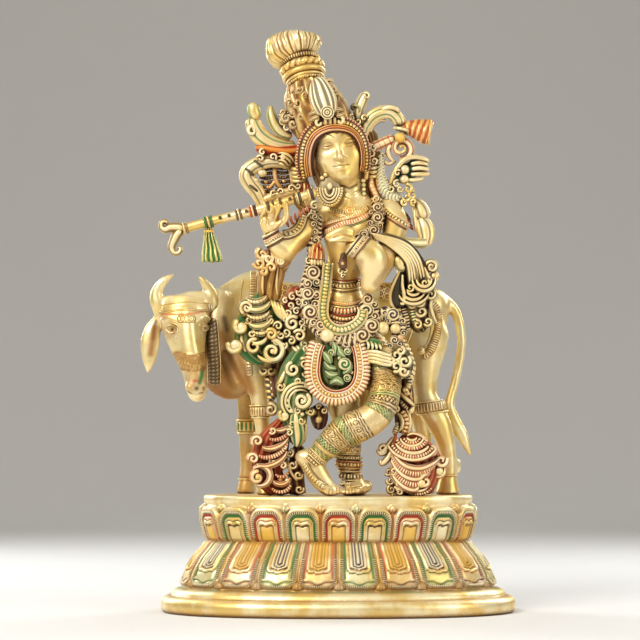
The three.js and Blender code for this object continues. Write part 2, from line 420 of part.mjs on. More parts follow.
function meshOf(name, solid, colour, roughness, metalness) {
  const { vertProperties, triVerts } = solid.getMesh();
  const g = new THREE.BufferGeometry();
  g.setAttribute("position", new THREE.BufferAttribute(vertProperties, 3));
  g.setIndex(new THREE.BufferAttribute(triVerts, 1));
  g.computeVertexNormals();
  const mesh = new THREE.Mesh(
    g,
    new THREE.MeshStandardMaterial({ color: colour, roughness, metalness, flatShading: true }),
  );
  mesh.name = name;
  return mesh;
}

const group = new THREE.Group();
group.name = "flute_player_with_cow";
group.add(meshOf("lotus_plinth", plinth(), 0xd9bf72, 0.4, 0.9));
group.add(meshOf("cow", main(cowSolid), 0xdcc47c, 0.35, 0.9));
group.add(meshOf("flute_player", main(playerSolid), 0xdac07a, 0.35, 0.9));

export default group;
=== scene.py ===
import math

import bpy
import numpy as np
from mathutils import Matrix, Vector


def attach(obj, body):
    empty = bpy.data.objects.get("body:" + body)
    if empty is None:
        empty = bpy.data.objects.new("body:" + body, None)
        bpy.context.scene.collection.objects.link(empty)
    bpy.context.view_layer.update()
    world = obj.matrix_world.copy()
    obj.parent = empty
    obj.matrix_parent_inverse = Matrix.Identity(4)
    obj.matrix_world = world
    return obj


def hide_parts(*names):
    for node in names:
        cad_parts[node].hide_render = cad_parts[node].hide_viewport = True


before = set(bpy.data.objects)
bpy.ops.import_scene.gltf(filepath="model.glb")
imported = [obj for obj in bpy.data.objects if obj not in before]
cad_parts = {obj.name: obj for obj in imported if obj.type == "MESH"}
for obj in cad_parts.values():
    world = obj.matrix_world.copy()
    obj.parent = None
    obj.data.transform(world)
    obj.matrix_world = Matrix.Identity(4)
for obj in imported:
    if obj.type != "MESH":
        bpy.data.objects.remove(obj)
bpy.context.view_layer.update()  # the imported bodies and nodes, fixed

MM = 0.001
TAU = 2 * math.pi

# ------------------------------------------------------------------ colours
# Paint rubbed into the recesses; amber and brown serve both as old metal's patina there and as painted shade in folds,
# hollows and undersides. Linear light.
PAINT = {
    "green": (0.016, 0.170, 0.045),
    "leaf": (0.055, 0.300, 0.080),
    "teal": (0.025, 0.230, 0.200),
    "red": (0.420, 0.028, 0.012),
    "vermilion": (0.620, 0.085, 0.022),
    "maroon": (0.080, 0.009, 0.013),
    "purple": (0.036, 0.020, 0.050),
    "black": (0.008, 0.008, 0.008),
    "orange": (0.720, 0.250, 0.020),
    "yellow": (0.800, 0.480, 0.050),
    "pink": (0.640, 0.240, 0.170),
    "mint": (0.330, 0.560, 0.270),
    "amber": (0.330, 0.130, 0.020),
    "brown": (0.080, 0.030, 0.010),
    "cream": (0.900, 0.820, 0.600),
    "white": (0.900, 0.870, 0.800),
}


def smooth(low, high, x):
    t = np.clip((x - low) / (high - low), 0, 1)
    return t * t * (3 - 2 * t)


def tint(name, amount=1.0):
    return np.array([*PAINT[name], amount])


def over(base, name, amount):
    """Lays a paint over rgba colours by an amount from 0 to 1, point by point."""
    amount = np.clip(np.asarray(amount, float), 0, 1)[..., None]
    rgb = np.asarray(PAINT[name])
    a0 = base[..., 3:4]
    a1 = a0 + (1 - a0) * amount
    share = np.where(a1 > 1e-6, amount / np.maximum(a1, 1e-6), 0)
    out = np.empty_like(base)
    out[..., :3] = base[..., :3] * (1 - share) + rgb * share
    out[..., 3:4] = a1
    return out


def bare(shape, name="amber", amount=0.0):
    c = np.empty(tuple(shape) + (4,))
    c[..., :3] = PAINT[name]
    c[..., 3] = amount
    return c


# ------------------------------------------------------------------ meshes
class Parts:
    """Closed shells gathered into one piece. Millimetres."""

    def __init__(self):
        self.v, self.f, self.c, self.n = [], [], [], 0

    def add(self, verts, faces, colours, orient=True):
        verts = np.asarray(verts, float).reshape(-1, 3)
        faces = np.asarray(faces, int)
        if faces.shape[1] == 4:
            faces = np.concatenate([faces[:, [0, 1, 2]], faces[:, [0, 2, 3]]])
        if orient:
            a, b, c = verts[faces[:, 0]], verts[faces[:, 1]], verts[faces[:, 2]]
            if np.einsum("ij,ij->i", a - verts.mean(0), np.cross(b - a, c - a)).sum() < 0:
                faces = faces[:, ::-1]
        colours = np.asarray(colours, float)
        colours = np.broadcast_to(colours.reshape(-1, 4) if colours.ndim > 1 else colours, (len(verts), 4))
        self.v.append(verts)
        self.f.append(faces + self.n)
        self.c.append(colours)
        self.n += len(verts)

    def piece(self, name, slot, *nodes):
        v = np.concatenate(self.v)
        f = np.concatenate(self.f)
        c = np.concatenate(self.c)
        mesh = bpy.data.meshes.new(name)
        mesh.vertices.add(len(v))
        mesh.vertices.foreach_set("co", (v * MM).astype(np.float32).ravel())
        mesh.loops.add(3 * len(f))
        mesh.loops.foreach_set("vertex_index", f.astype(np.int32).ravel())
        mesh.polygons.add(len(f))
        mesh.polygons.foreach_set("loop_start", np.arange(0, 3 * len(f), 3, dtype=np.int32))
        mesh.update(calc_edges=True)
        mesh.polygons.foreach_set("use_smooth", np.ones(len(f), dtype=bool))
        layer = mesh.color_attributes.new("tint", "FLOAT_COLOR", "POINT")
        layer.data.foreach_set("color", np.clip(c, 0, 1).astype(np.float32).ravel())
        mesh.validate()
        obj = bpy.data.objects.new(name, mesh)
        bpy.context.scene.collection.objects.link(obj)
        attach(obj, "root")
        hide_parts(*nodes)
        mesh.materials.append(material(slot))
        print(f"{name}: {len(f)} triangles")
        return obj


def grid(rows, columns, wrap=True):
    i = np.arange(rows - 1)[:, None] * columns
    j = np.arange(columns if wrap else columns - 1)[None, :]
    k = (j + 1) % columns
    return np.stack([i + j, i + k, i + columns + k, i + columns + j], -1).reshape(-1, 4)


def capped(points, colours):
    """A wrapped grid of points closed by a middle point at each end."""
    rows, columns, _ = points.shape
    v = np.concatenate([points.reshape(-1, 3), points[0].mean(0)[None], points[-1].mean(0)[None]])
    c = np.concatenate([colours.reshape(-1, 4), colours[0].mean(0)[None], colours[-1].mean(0)[None]])
    q = grid(rows, columns)
    f = np.concatenate([q[:, [0, 1, 2]], q[:, [0, 2, 3]]])
    j = np.arange(columns)
    k = (j + 1) % columns
    low, high = rows * columns, rows * columns + 1
    last = (rows - 1) * columns
    f = np.concatenate([f, np.stack([k, j, np.full(columns, low)], -1), np.stack([last + j, last + k, np.full(columns, high)], -1)])
    return v, f, c


def through(stations, step=1.0, closed=False):
    """A smooth curve through the stations, at even steps along its length."""
    p = np.asarray(stations, float)
    n = len(p)
    spans = n if closed else n - 1
    t = np.linspace(0, spans, spans * 24 + 1)
    i = np.minimum(t.astype(int), spans - 1)
    f = (t - i)[:, None]

    def at(k):
        return p[k % n] if closed else p[np.clip(k, 0, n - 1)]

    a, b, d, e = at(i - 1), at(i), at(i + 1), at(i + 2)
    fine = 0.5 * (2 * b + (d - a) * f + (2 * a - 5 * b + 4 * d - e) * f**2 + (3 * b - a - 3 * d + e) * f**3)
    fine[:, 3:5] = np.maximum(fine[:, 3:5], np.minimum(b, d)[:, 3:5] * 0.8)
    run = np.concatenate([[0], np.cumsum(np.linalg.norm(np.diff(fine[:, :3], axis=0), axis=1))])
    count = max(4, int(round(run[-1] / step)))
    want = np.linspace(0, run[-1], count + 1)
    if closed:
        want = want[:-1]
    return np.stack([np.interp(want, run, fine[:, c]) for c in range(p.shape[1])], -1), want


def unit(v):
    return v / np.maximum(np.linalg.norm(v, axis=-1, keepdims=True), 1e-9)


def tube(parts, stations, step=1.0, sides=20, relief=None, colour=None, closed=False, ends=(1, 1), back=(0, 1, 0), power=2.0, even=False):
    """A swept limb. Stations are x, y, z, half width, half depth. relief(S, T) gives mm outward,
    S mm along it and T the angle round it, 0 at the front; colour(S, T, height) gives rgba.
    Its facets are as fine as sides says at the front and wider behind, unless even is set."""
    if not even:
        sides = max(8, int(round(sides * 0.5)))
        if relief is None or getattr(relief, "long", False):
            step *= 1.75
    rows, s = through(stations, step, closed)
    c, a, b = rows[:, :3], rows[:, 3].copy(), rows[:, 4].copy()
    if closed:
        along = unit(np.roll(c, -1, 0) - np.roll(c, 1, 0))
    else:
        along = unit(np.gradient(c, axis=0))
    ref = rows[:, 5:8] if rows.shape[1] >= 8 else np.broadcast_to(np.asarray(back, float), c.shape)
    behind = unit(ref - np.sum(ref * along, 1, keepdims=True) * along)
    side = np.cross(behind, along)
    if not closed:
        length = s[-1]
        for on, dist, size in ((ends[0], s, max(a[0], b[0])), (ends[1], length - s, max(a[-1], b[-1]))):
            if on:
                size = min(size * on, length * 0.45)
                k = np.sqrt(np.clip(1 - (1 - np.clip(dist / size, 0, 1)) ** 2, 0, 1))
                k = np.maximum(k, 0.04)
                a, b = a * k, b * k
    angle = np.linspace(0, TAU, sides, endpoint=False)
    if not even:
        angle = angle - 0.5 * np.sin(angle)
    S, T = np.meshgrid(s, angle, indexing="ij")
    sn, cs = np.sin(T), np.cos(T)
    e = 2 / power
    px = np.sign(sn) * np.abs(sn) ** e
    py = -np.sign(cs) * np.abs(cs) ** e
    h = relief(S, T) if relief else np.zeros_like(S)
    scale = np.clip(a / (rows[:, 3] + 1e-6), 0, 1)[:, None]
    u = (a[:, None] + h * scale) * px
    w = (b[:, None] + h * scale) * py
    pts = c[:, None] + side[:, None] * u[..., None] + behind[:, None] * w[..., None]
    col = colour(S, T, h) if colour else bare(S.shape)
    if closed:
        q = grid(len(c) + 1, sides) % (len(c) * sides)
        parts.add(pts.reshape(-1, 3), q, col.reshape(-1, 4), orient=True)
    else:
        parts.add(*capped(pts, col))


def frac(x):
    return x - np.floor(x)


def beads(S, pitch, gap=0.0):
    f = frac(S / pitch)
    return np.sqrt(np.clip(1 - (2 * f - 1) ** 2, 0, 1))


def ribs(S, pitch):
    return 0.5 + 0.5 * np.cos(TAU * S / pitch)


def ball(parts, centre, radii, colour, wide=14, high=9, lean=0.0, shape=None):
    t = np.linspace(0.02, math.pi - 0.02, high)[:, None]
    p = np.linspace(0, TAU, wide, endpoint=False)[None, :]
    v = np.stack([np.sin(t) * np.sin(p), -np.sin(t) * np.cos(p), np.cos(t) + 0 * p], -1)
    if shape is not None:
        v = shape(v)
    v = v * np.asarray(radii)
    if lean:
        a = math.radians(lean)
        v = np.stack([v[..., 0] * math.cos(a) + v[..., 2] * math.sin(a), v[..., 1], -v[..., 0] * math.sin(a) + v[..., 2] * math.cos(a)], -1)
    col = np.asarray(colour, float)
    if col.ndim == 1:
        col = np.broadcast_to(col, v.shape[:2] + (4,))
    parts.add(*capped(v + np.asarray(centre), col))


# Positions read from the front: along the width, up the height, both in 640ths of the view's
# width, and mm in front of the middle plane. The viewpoint is 2.34 m away and low.
VIEW_FAR, VIEW_X, VIEW_Z, VIEW_TILT, VIEW_F = 2340.0, -16.2, 160.2, math.atan(112 / 2600.0), 2600.0


def at(px, py, d):
    x, y = (px - 320) / VIEW_F, -(py - 320) / VIEW_F
    c, s = math.cos(VIEW_TILT), math.sin(VIEW_TILT)
    dy, dz = c - s * y, s + c * y
    t = (VIEW_FAR - d) / dy
    return [VIEW_X + x * t, -d, VIEW_Z + dz * t]


def wide(a, d):
    return a * 0.9 * (1 - d / VIEW_FAR)


def line(*rows):
    """Stations from front-view rows: px, py, d, half width and half depth in the same units."""
    return [at(*r[:3]) + [wide(r[3], r[2]), wide(r[4] if len(r) > 4 else r[3], r[2])] for r in rows]


# ------------------------------------------------------------------ blended solids
class Blob:
    """A solid built from blended limbs on a fine grid, then skinned."""

    def __init__(self, low, high, h):
        self.low = np.asarray(low, float)
        self.h = h
        self.n = np.ceil((np.asarray(high, float) - self.low) / h).astype(int) + 1
        self.field = np.full(self.n, 30.0, dtype=np.float32)

    def window(self, low, high):
        a = np.clip(np.floor((np.asarray(low) - self.low) / self.h).astype(int), 0, self.n)
        b = np.clip(np.ceil((np.asarray(high) - self.low) / self.h).astype(int) + 1, 0, self.n)
        axes = [self.low[i] + self.h * np.arange(a[i], b[i]) for i in range(3)]
        X, Y, Z = np.meshgrid(*axes, indexing="ij", sparse=True)
        return tuple(slice(a[i], b[i]) for i in range(3)), X, Y, Z

    def blend(self, win, d, k, cut=False):
        f = self.field[win]
        if cut:
            d = -d
            h = np.clip(0.5 - 0.5 * (f - d) / k, 0, 1)
            self.field[win] = f + (d - f) * h + k * h * (1 - h)
        else:
            h = np.clip(0.5 + 0.5 * (f - d) / k, 0, 1)
            self.field[win] = f + (d - f) * h - k * h * (1 - h)

    def limb(self, stations, k=3.0, step=2.5, cut=False, flat=()):
        rows, _ = through(stations, step)
        pad = rows[:, 3:].max() + 2 * k + 2
        win, X, Y, Z = self.window(rows[:, :3].min(0) - pad, rows[:, :3].max(0) + pad)
        best = np.full(self.field[win].shape, 60.0, dtype=np.float32)
        for p, q in zip(rows[:-1], rows[1:]):
            r = 0.5 * (p[3] + q[3])
            ratio = 0.5 * (p[3] / p[4] + q[3] / q[4])
            d = q[:3] - p[:3]
            dd = np.array([d[0], d[1] * ratio, d[2]])
            x, y, z = X - p[0], (Y - p[1]) * ratio, Z - p[2]
            t = np.clip((x * dd[0] + y * dd[1] + z * dd[2]) / max(dd @ dd, 1e-6), 0, 1)
            dist = np.sqrt((x - t * dd[0]) ** 2 + (y - t * dd[1]) ** 2 + (z - t * dd[2]) ** 2)
            best = np.minimum(best, (dist - (p[3] + (q[3] - p[3]) * t)) * min(1.0, 1 / ratio) if ratio > 1 else dist - (p[3] + (q[3] - p[3]) * t))
        for i in flat:
            p, q = (rows[0], rows[1]) if i == 0 else (rows[-1], rows[-2])
            out = unit(p[:3] - q[:3])
            best = np.maximum(best, (X - p[0]) * out[0] + (Y - p[1]) * out[1] + (Z - p[2]) * out[2])
        self.blend(win, best, k, cut)

    def ball(self, centre, radii, k=3.0, lean=0.0, tip=0.0, cut=False):
        centre, radii = np.asarray(centre, float), np.asarray(radii, float)
        pad = radii.max() + 2 * k + 1
        win, X, Y, Z = self.window(centre - pad, centre + pad)
        x, y, z = X - centre[0], Y - centre[1], Z - centre[2]
        if lean:
            a = math.radians(lean)
            x, z = x * math.cos(a) - z * math.sin(a), x * math.sin(a) + z * math.cos(a)
        if tip:
            a = math.radians(tip)
            y, z = y * math.cos(a) - z * math.sin(a), y * math.sin(a) + z * math.cos(a)
        k0 = np.sqrt((x / radii[0]) ** 2 + (y / radii[1]) ** 2 + (z / radii[2]) ** 2)
        k1 = np.sqrt((x / radii[0] ** 2) ** 2 + (y / radii[1] ** 2) ** 2 + (z / radii[2] ** 2) ** 2)
        d = np.where(k1 > 1e-6, k0 * (k0 - 1) / np.maximum(k1, 1e-6), -radii.min())
        self.blend(win, d, k, cut)

    def floor(self, z):
        Z = self.low[2] + self.h * np.arange(self.n[2])
        self.field = np.maximum(self.field, (z - Z)[None, None, :].astype(np.float32))

    def skin(self):
        """Vertices (mm), triangles and unit normals of the solid's surface."""
        F = self.field
        F[0], F[-1], F[:, 0], F[:, -1], F[:, :, 0], F[:, :, -1] = (np.maximum(x, 0.5) for x in (F[0], F[-1], F[:, 0], F[:, -1], F[:, :, 0], F[:, :, -1]))
        corner = [(i, j, k) for i in (0, 1) for j in (0, 1) for k in (0, 1)]
        n = np.array(F.shape) - 1
        parts = [F[i : n[0] + i, j : n[1] + j, k : n[2] + k] for i, j, k in corner]
        inside = sum((p < 0).astype(np.int8) for p in parts)
        mixed = (inside > 0) & (inside < 8)
        cell = np.argwhere(mixed)
        index = np.full(mixed.shape, -1, dtype=np.int64)
        index[mixed] = np.arange(len(cell))
        values = np.stack([p[mixed] for p in parts], 1)
        total = np.zeros((len(cell), 3))
        hits = np.zeros(len(cell))
        for a in range(8):
            for b in range(a + 1, 8):
                ca, cb = np.array(corner[a]), np.array(corner[b])
                if np.abs(ca - cb).sum() != 1:
                    continue
                va, vb = values[:, a], values[:, b]
                cross = (va < 0) != (vb < 0)
                t = np.where(cross, va / np.where(cross, va - vb, 1), 0)
                total += np.where(cross[:, None], ca + t[:, None] * (cb - ca), 0)
                hits += cross
        verts = self.low + self.h * (cell + total / hits[:, None])
        faces = []
        for axis in range(3):
            u, w = [i for i in range(3) if i != axis]
            lo = [slice(None)] * 3
            hi = [slice(None)] * 3
            lo[axis], hi[axis] = slice(0, -1), slice(1, None)
            s0, s1 = F[tuple(lo)] < 0, F[tuple(hi)] < 0
            edge = np.argwhere(s0 != s1)
            edge = edge[(edge[:, u] > 0) & (edge[:, w] > 0) & (edge[:, u] < F.shape[u] - 1) & (edge[:, w] < F.shape[w] - 1)]
            flip = s0[tuple(edge.T)]
            quad = []
            for du, dw in ((-1, -1), (0, -1), (0, 0), (-1, 0)):
                e = edge.copy()
                e[:, u] += du
                e[:, w] += dw
                quad.append(index[tuple(e.T)])
            quad = np.stack(quad, 1)
            if axis == 1:
                flip = ~flip
            quad[~flip] = quad[~flip][:, ::-1]
            faces.append(quad)
        quad = np.concatenate(faces)
        tri = np.concatenate([quad[:, [0, 1, 2]], quad[:, [0, 2, 3]]])
        # One light relaxing pass evens out the steps of the grid.
        link = np.concatenate([quad[:, [0, 1]], quad[:, [1, 2]], quad[:, [2, 3]], quad[:, [3, 0]]])
        for weight in (0.5, 0.3):
            mean = np.zeros_like(verts)
            count = np.zeros(len(verts))
            np.add.at(mean, link[:, 0], verts[link[:, 1]])
            np.add.at(mean, link[:, 1], verts[link[:, 0]])
            np.add.at(count, link[:, 0], 1)
            np.add.at(count, link[:, 1], 1)
            verts = verts + weight * (mean / np.maximum(count, 1)[:, None] - verts)
        return verts, tri, normals(verts, tri)


def normals(verts, tri):
    a, b, c = verts[tri[:, 0]], verts[tri[:, 1]], verts[tri[:, 2]]
    face = np.cross(b - a, c - a)
    out = np.zeros_like(verts)
    for i in range(3):
        np.add.at(out, tri[:, i], face)
    return unit(out)


# ------------------------------------------------------------------ work on a blended solid's surface
def at_all(px, py, d):
    px, py, d = (np.asarray(v, float) for v in (px, py, d))
    x, y = (px - 320) / VIEW_F, -(py - 320) / VIEW_F
    c, s = math.cos(VIEW_TILT), math.sin(VIEW_TILT)
    t = (VIEW_FAR - d) / (c - s * y)
    return np.stack(np.broadcast_arrays(VIEW_X + x * t, -d, VIEW_Z + (s + c * y) * t), -1)


def seen(v):
    """Front-view place of points in millimetres."""
    r = v - np.array([VIEW_X, -VIEW_FAR, VIEW_Z])
    c, s = math.cos(VIEW_TILT), math.sin(VIEW_TILT)
    far = r[..., 1] * c + r[..., 2] * s
    return 320 + VIEW_F * r[..., 0] / far, 320 - VIEW_F * (r[..., 2] * c - r[..., 1] * s) / far


def value(blob, p):
    q = (np.asarray(p, float) - blob.low) / blob.h
    i = np.clip(np.floor(q).astype(int), 0, blob.n - 2)
    f = np.clip(q - i, 0, 1)
    total = 0.0
    for a in (0, 1):
        for b in (0, 1):
            for c in (0, 1):
                w = (f[..., 0] if a else 1 - f[..., 0]) * (f[..., 1] if b else 1 - f[..., 1]) * (f[..., 2] if c else 1 - f[..., 2])
                total = total + w * blob.field[i[..., 0] + a, i[..., 1] + b, i[..., 2] + c]
    return total


def slope(blob, p):
    e = blob.h
    return unit(np.stack([value(blob, p + np.eye(3)[i] * e) - value(blob, p - np.eye(3)[i] * e) for i in range(3)], -1))


def onto(blob, px, py, near=110.0, far=-90.0):
    """Where sight lines from the front first meet the solid, and the surface's direction there."""
    px, py = np.broadcast_arrays(np.asarray(px, float), np.asarray(py, float))
    d = np.arange(near, far, -1.0)
    p = at_all(px[..., None], py[..., None], d)
    v = value(blob, p)
    hit = v < 0
    some = hit.any(-1)
    k = np.where(some, np.maximum(hit.argmax(-1), 1), v.argmin(-1))
    k = np.maximum(k, 1)
    take = lambda a, j: np.take_along_axis(a, j[..., None], -1)[..., 0]
    v1, v0 = take(v, k), take(v, k - 1)
    f = np.where(some, v0 / np.where(np.abs(v0 - v1) > 1e-9, v0 - v1, 1), 1.0)
    dd = d[k - 1] - np.clip(f, 0, 1)
    q = at_all(px, py, dd)
    return q, slope(blob, q)


def around(blob, centre, u, v, count, start=0.0, end=TAU, reach=90.0):
    """Surface points round a limb, looking out from its middle in the plane of u and v."""
    t = np.linspace(start, end, count, endpoint=abs(end - start - TAU) > 1e-6)
    out = np.cos(t)[:, None] * unit(np.asarray(u, float)) + np.sin(t)[:, None] * unit(np.asarray(v, float))
    r = np.arange(0.5, reach, 0.5)
    p = np.asarray(centre, float) + out[:, None] * r[None, :, None]
    w = value(blob, p)
    k = np.maximum((w > 0).argmax(1), 1)
    i = np.arange(len(t))
    w0, w1 = w[i, k - 1], w[i, k]
    f = np.clip(-w0 / np.where(np.abs(w1 - w0) > 1e-9, w1 - w0, 1), 0, 1)
    q = np.asarray(centre, float) + out * (r[k - 1] + 0.5 * f)[:, None]
    return q, slope(blob, q)


def hugging(points, out, half, thick, lift=0.0):
    """Stations of a strap that lies on a surface: half is its half width along the surface."""
    half = np.broadcast_to(half, len(points))
    thick = np.broadcast_to(thick, len(points))
    return np.concatenate([points + out * lift, half[:, None], thick[:, None], -out], 1)


def strap(parts, blob, path, half, thick, step=0.8, sides=12, relief=None, colour=None, closed=False, lift=0.0, power=3.0, ends=(0.6, 0.6), **how):
    """A strap along a front-view path, lying on the solid."""
    rows, _ = through([list(p[:2]) + [0] + list(p[2:]) for p in path], 1.5, closed)
    q, out = onto(blob, rows[:, 0], rows[:, 1], **how)
    # even out small jumps
    for _ in range(2):
        if closed:
            q = (np.roll(q, 1, 0) + 2 * q + np.roll(q, -1, 0)) / 4
            out = unit(np.roll(out, 1, 0) + 2 * out + np.roll(out, -1, 0))
        else:
            q[1:-1] = (q[:-2] + 2 * q[1:-1] + q[2:]) / 4
            out[1:-1] = unit(out[:-2] + 2 * out[1:-1] + out[2:])
    tube(parts, hugging(q, out, half, thick, lift), step=step, sides=sides, relief=relief, colour=colour, closed=closed, ends=ends, power=power)


def cuff(parts, blob, centre, axis, half, thick, step=0.8, sides=12, relief=None, colour=None, lift=0.0, power=3.0, reach=60.0):
    """A band right round a limb."""
    axis = unit(np.asarray(axis, float))
    u = unit(np.cross(axis, [0.0, 1.0, 0.05]))
    v = np.cross(axis, u)
    q, out = around(blob, centre, u, v, 40, reach=reach)
    out = unit(out - (out @ axis)[:, None] * axis)
    tube(parts, hugging(q, out, half, thick, lift), step=step, sides=sides, relief=relief, colour=colour, closed=True, power=power)


def applied(parts, blob, PX, PY, height, colour, sink=0.8, **how):
    """A thin layer on the solid over a grid of front-view places."""
    q, out = onto(blob, PX, PY, **how)
    rows, cols = PX.shape
    top = q + out * height[..., None]
    low = q - out * sink
    f = grid(rows, cols, wrap=False)
    n = rows * cols
    i = np.concatenate([np.arange(cols), np.arange(1, rows) * cols + cols - 1, np.arange(cols - 2, -1, -1) + (rows - 1) * cols, np.arange(rows - 2, 0, -1) * cols])
    j = np.roll(i, -1)
    side = np.stack([i, i + n, j + n, j], -1)
    parts.add(np.concatenate([top.reshape(-1, 3), low.reshape(-1, 3)]), np.concatenate([f, f[:, ::-1] + n, side]), np.concatenate([colour.reshape(-1, 4), colour.reshape(-1, 4)]))


def dotted(S, T, pitch, across, rows=1):
    """Round beads in rows along a strap, 0 to 1."""
    f = 2 * frac(S / pitch) - 1
    g = np.sin(T) * across
    return np.sqrt(np.clip(1 - f**2 - g**2, 0, 1))


def near_line(px, py, path):
    """Distance in the front view from a path."""
    best = np.full(np.shape(px), 1e9)
    for (x0, y0), (x1, y1) in zip(path[:-1], path[1:]):
        dx, dy = x1 - x0, y1 - y0
        t = np.clip(((px - x0) * dx + (py - y0) * dy) / (dx * dx + dy * dy), 0, 1)
        best = np.minimum(best, np.hypot(px - x0 - t * dx, py - y0 - t * dy))
    return best


# ------------------------------------------------------------------ finish of the metal
MADE = {}
FINISH = {
    # slot: base metal, its worn and its shaded tone, roughness
    "plinth_brass": ((0.82, 0.61, 0.24), (0.94, 0.84, 0.55), (0.44, 0.20, 0.035), 0.42),
    "cow_brass": ((0.85, 0.65, 0.26), (0.94, 0.82, 0.50), (0.48, 0.23, 0.04), 0.40),
    "figure_brass": ((0.87, 0.64, 0.23), (0.95, 0.80, 0.46), (0.50, 0.22, 0.03), 0.39),
}


def material(slot):
    if slot in MADE:
        return MADE[slot]
    base, worn, shade, rough = FINISH[slot]
    m = bpy.data.materials.new(slot)
    m.use_nodes = True
    t = m.node_tree
    t.nodes.clear()

    def node(kind, **values):
        n = t.nodes.new(kind)
        for k, v in values.items():
            setattr(n, k, v)
        return n

    def wire(a, b):
        t.links.new(a, b)

    def mixer(fac, a, b, blend="MIX"):
        n = node("ShaderNodeMix", data_type="RGBA", blend_type=blend)
        for socket, value in ((0, fac), (6, a), (7, b)):
            if isinstance(value, (int, float)):
                n.inputs[socket].default_value = value
            elif isinstance(value, tuple):
                n.inputs[socket].default_value = (*value, 1)
            else:
                wire(value, n.inputs[socket])
        return n.outputs[2]

    def sums(op, a, b=0.0, clamp=False):
        n = node("ShaderNodeMath", operation=op, use_clamp=clamp)
        for socket, value in ((0, a), (1, b)):
            if isinstance(value, (int, float)):
                n.inputs[socket].default_value = value
            else:
                wire(value, n.inputs[socket])
        return n.outputs[0]

    def ramp(value, low, high):
        n = node("ShaderNodeMapRange", interpolation_type="SMOOTHSTEP")
        wire(value, n.inputs["Value"])
        n.inputs["From Min"].default_value = low
        n.inputs["From Max"].default_value = high
        return n.outputs["Result"]

    where = node("ShaderNodeTexCoord").outputs["Object"]

    def noise(scale, detail=3.0, roughness=0.55):
        n = node("ShaderNodeTexNoise")
        wire(where, n.inputs["Vector"])
        n.inputs["Scale"].default_value = scale
        n.inputs["Detail"].default_value = detail
        n.inputs["Roughness"].default_value = roughness
        return n.outputs["Fac"]

    attribute = node("ShaderNodeVertexColor", layer_name="tint")
    # ambient occlusion finds the recesses, where shade falls: depth drives a brown tone that is partly patina, partly
    # painted shade, and deep drives a near-black painted shade
    hollow = node("ShaderNodeAmbientOcclusion", samples=4)
    hollow.inputs["Distance"].default_value = 0.009
    depth = ramp(hollow.outputs["AO"], 0.85, 0.25)  # 1 in the recesses
    deep = ramp(hollow.outputs["AO"], 0.50, 0.12)  # 1 in the deepest of them
    cloud, grain = noise(38.0, 4.0), noise(420.0, 3.0, 0.6)

    metal = mixer(ramp(cloud, 0.38, 0.62), base, worn)
    # patina and painted shade: the metal turns to its shaded tone in the recesses, broken by the grain
    recess_patina_and_shade = sums("MULTIPLY", depth, sums("ADD", 0.45, sums("MULTIPLY", grain, 0.6)), True)
    metal = mixer(recess_patina_and_shade, metal, shade)
    # Paint is thin and worn: it breaks up a little with the grain.
    cover = sums("MULTIPLY", attribute.outputs["Alpha"], ramp(sums("ADD", grain, sums("MULTIPLY", attribute.outputs["Alpha"], 0.45)), 0.38, 0.66), True)
    colour = mixer(cover, metal, attribute.outputs["Color"])
    # painted shade: near black in the deepest recesses, where the metal is also made less metallic
    painted_deep_shade = sums("MULTIPLY", deep, sums("ADD", 0.50, sums("MULTIPLY", cloud, 0.6)), True)
    colour = mixer(painted_deep_shade, colour, (0.042, 0.018, 0.009))

    shader = node("ShaderNodeBsdfPrincipled")
    wire(colour, shader.inputs["Base Color"])
    wire(sums("SUBTRACT", 0.62, sums("MULTIPLY", sums("MAXIMUM", cover, painted_deep_shade), 0.60), True), shader.inputs["Metallic"])
    shader.inputs["Coat Weight"].default_value = 0.20
    shader.inputs["Coat Roughness"].default_value = 0.30
    gloss = sums("ADD", rough - 0.05, sums("MULTIPLY", grain, 0.10))
    gloss = sums("ADD", gloss, sums("MULTIPLY", cover, 0.16))
    wire(sums("ADD", gloss, sums("MULTIPLY", recess_patina_and_shade, 0.12)), shader.inputs["Roughness"])
    shader.inputs["Specular IOR Level"].default_value = 0.25
    bump = node("ShaderNodeBump")
    bump.inputs["Strength"].default_value = 0.22
    bump.inputs["Distance"].default_value = 0.0004
    wire(sums("ADD", sums("MULTIPLY", grain, 0.6), noise(140.0, 2.0)), bump.inputs["Height"])
    wire(bump.outputs["Normal"], shader.inputs["Normal"])
    out = node("ShaderNodeOutputMaterial")
    wire(shader.outputs[0], out.inputs[0])
    MADE[slot] = m
    return m


# ------------------------------------------------------------------ the lotus plinth
FLARE = 52.5  # half length less half depth, the same at every height
POWER = 2.3
PETALS = 20
FOOT = [
    (0.0, 155.8), (0.9, 157.0), (3.2, 158.3), (8.0, 158.6), (11.0, 158.0), (13.2, 156.0), (14.4, 153.2),
    (14.8, 150.4), (15.3, 149.6), (17.0, 149.3), (19.0, 148.0), (20.4, 145.9), (21.4, 143.0), (22.0, 140.4), (22.9, 138.8),
]
RISE = [(22.9, 138.8), (29.0, 136.8), (36.0, 134.2), (42.0, 131.5), (50.0, 127.0), (57.0, 121.4), (63.5, 116.9), (64.5, 116.9), (70.0, 118.8), (82.0, 120.5), (90.0, 120.5), (96.0, 119.6)]
RIM = [(97.2, 119.9), (99.0, 120.4), (101.0, 120.6), (102.8, 120.2), (103.6, 119.4), (104.0, 118.2)]


def oval(a, t):
    e = 2 / POWER
    b = a - FLARE
    return a * np.sign(np.sin(t)) * np.abs(np.sin(t)) ** e, -b * np.sign(np.cos(t)) * np.abs(np.cos(t)) ** e


_t = np.linspace(0, TAU, 8001)
_x, _y = oval(np.full(8001, 128.0), _t)
_run = np.concatenate([[0], np.cumsum(np.hypot(np.diff(_x), np.diff(_y)))])


def turn(s):
    """Angle of a place s petals round from the front middle."""
    return np.interp((s / PETALS) % 1.0, _run / _run[-1], _t)


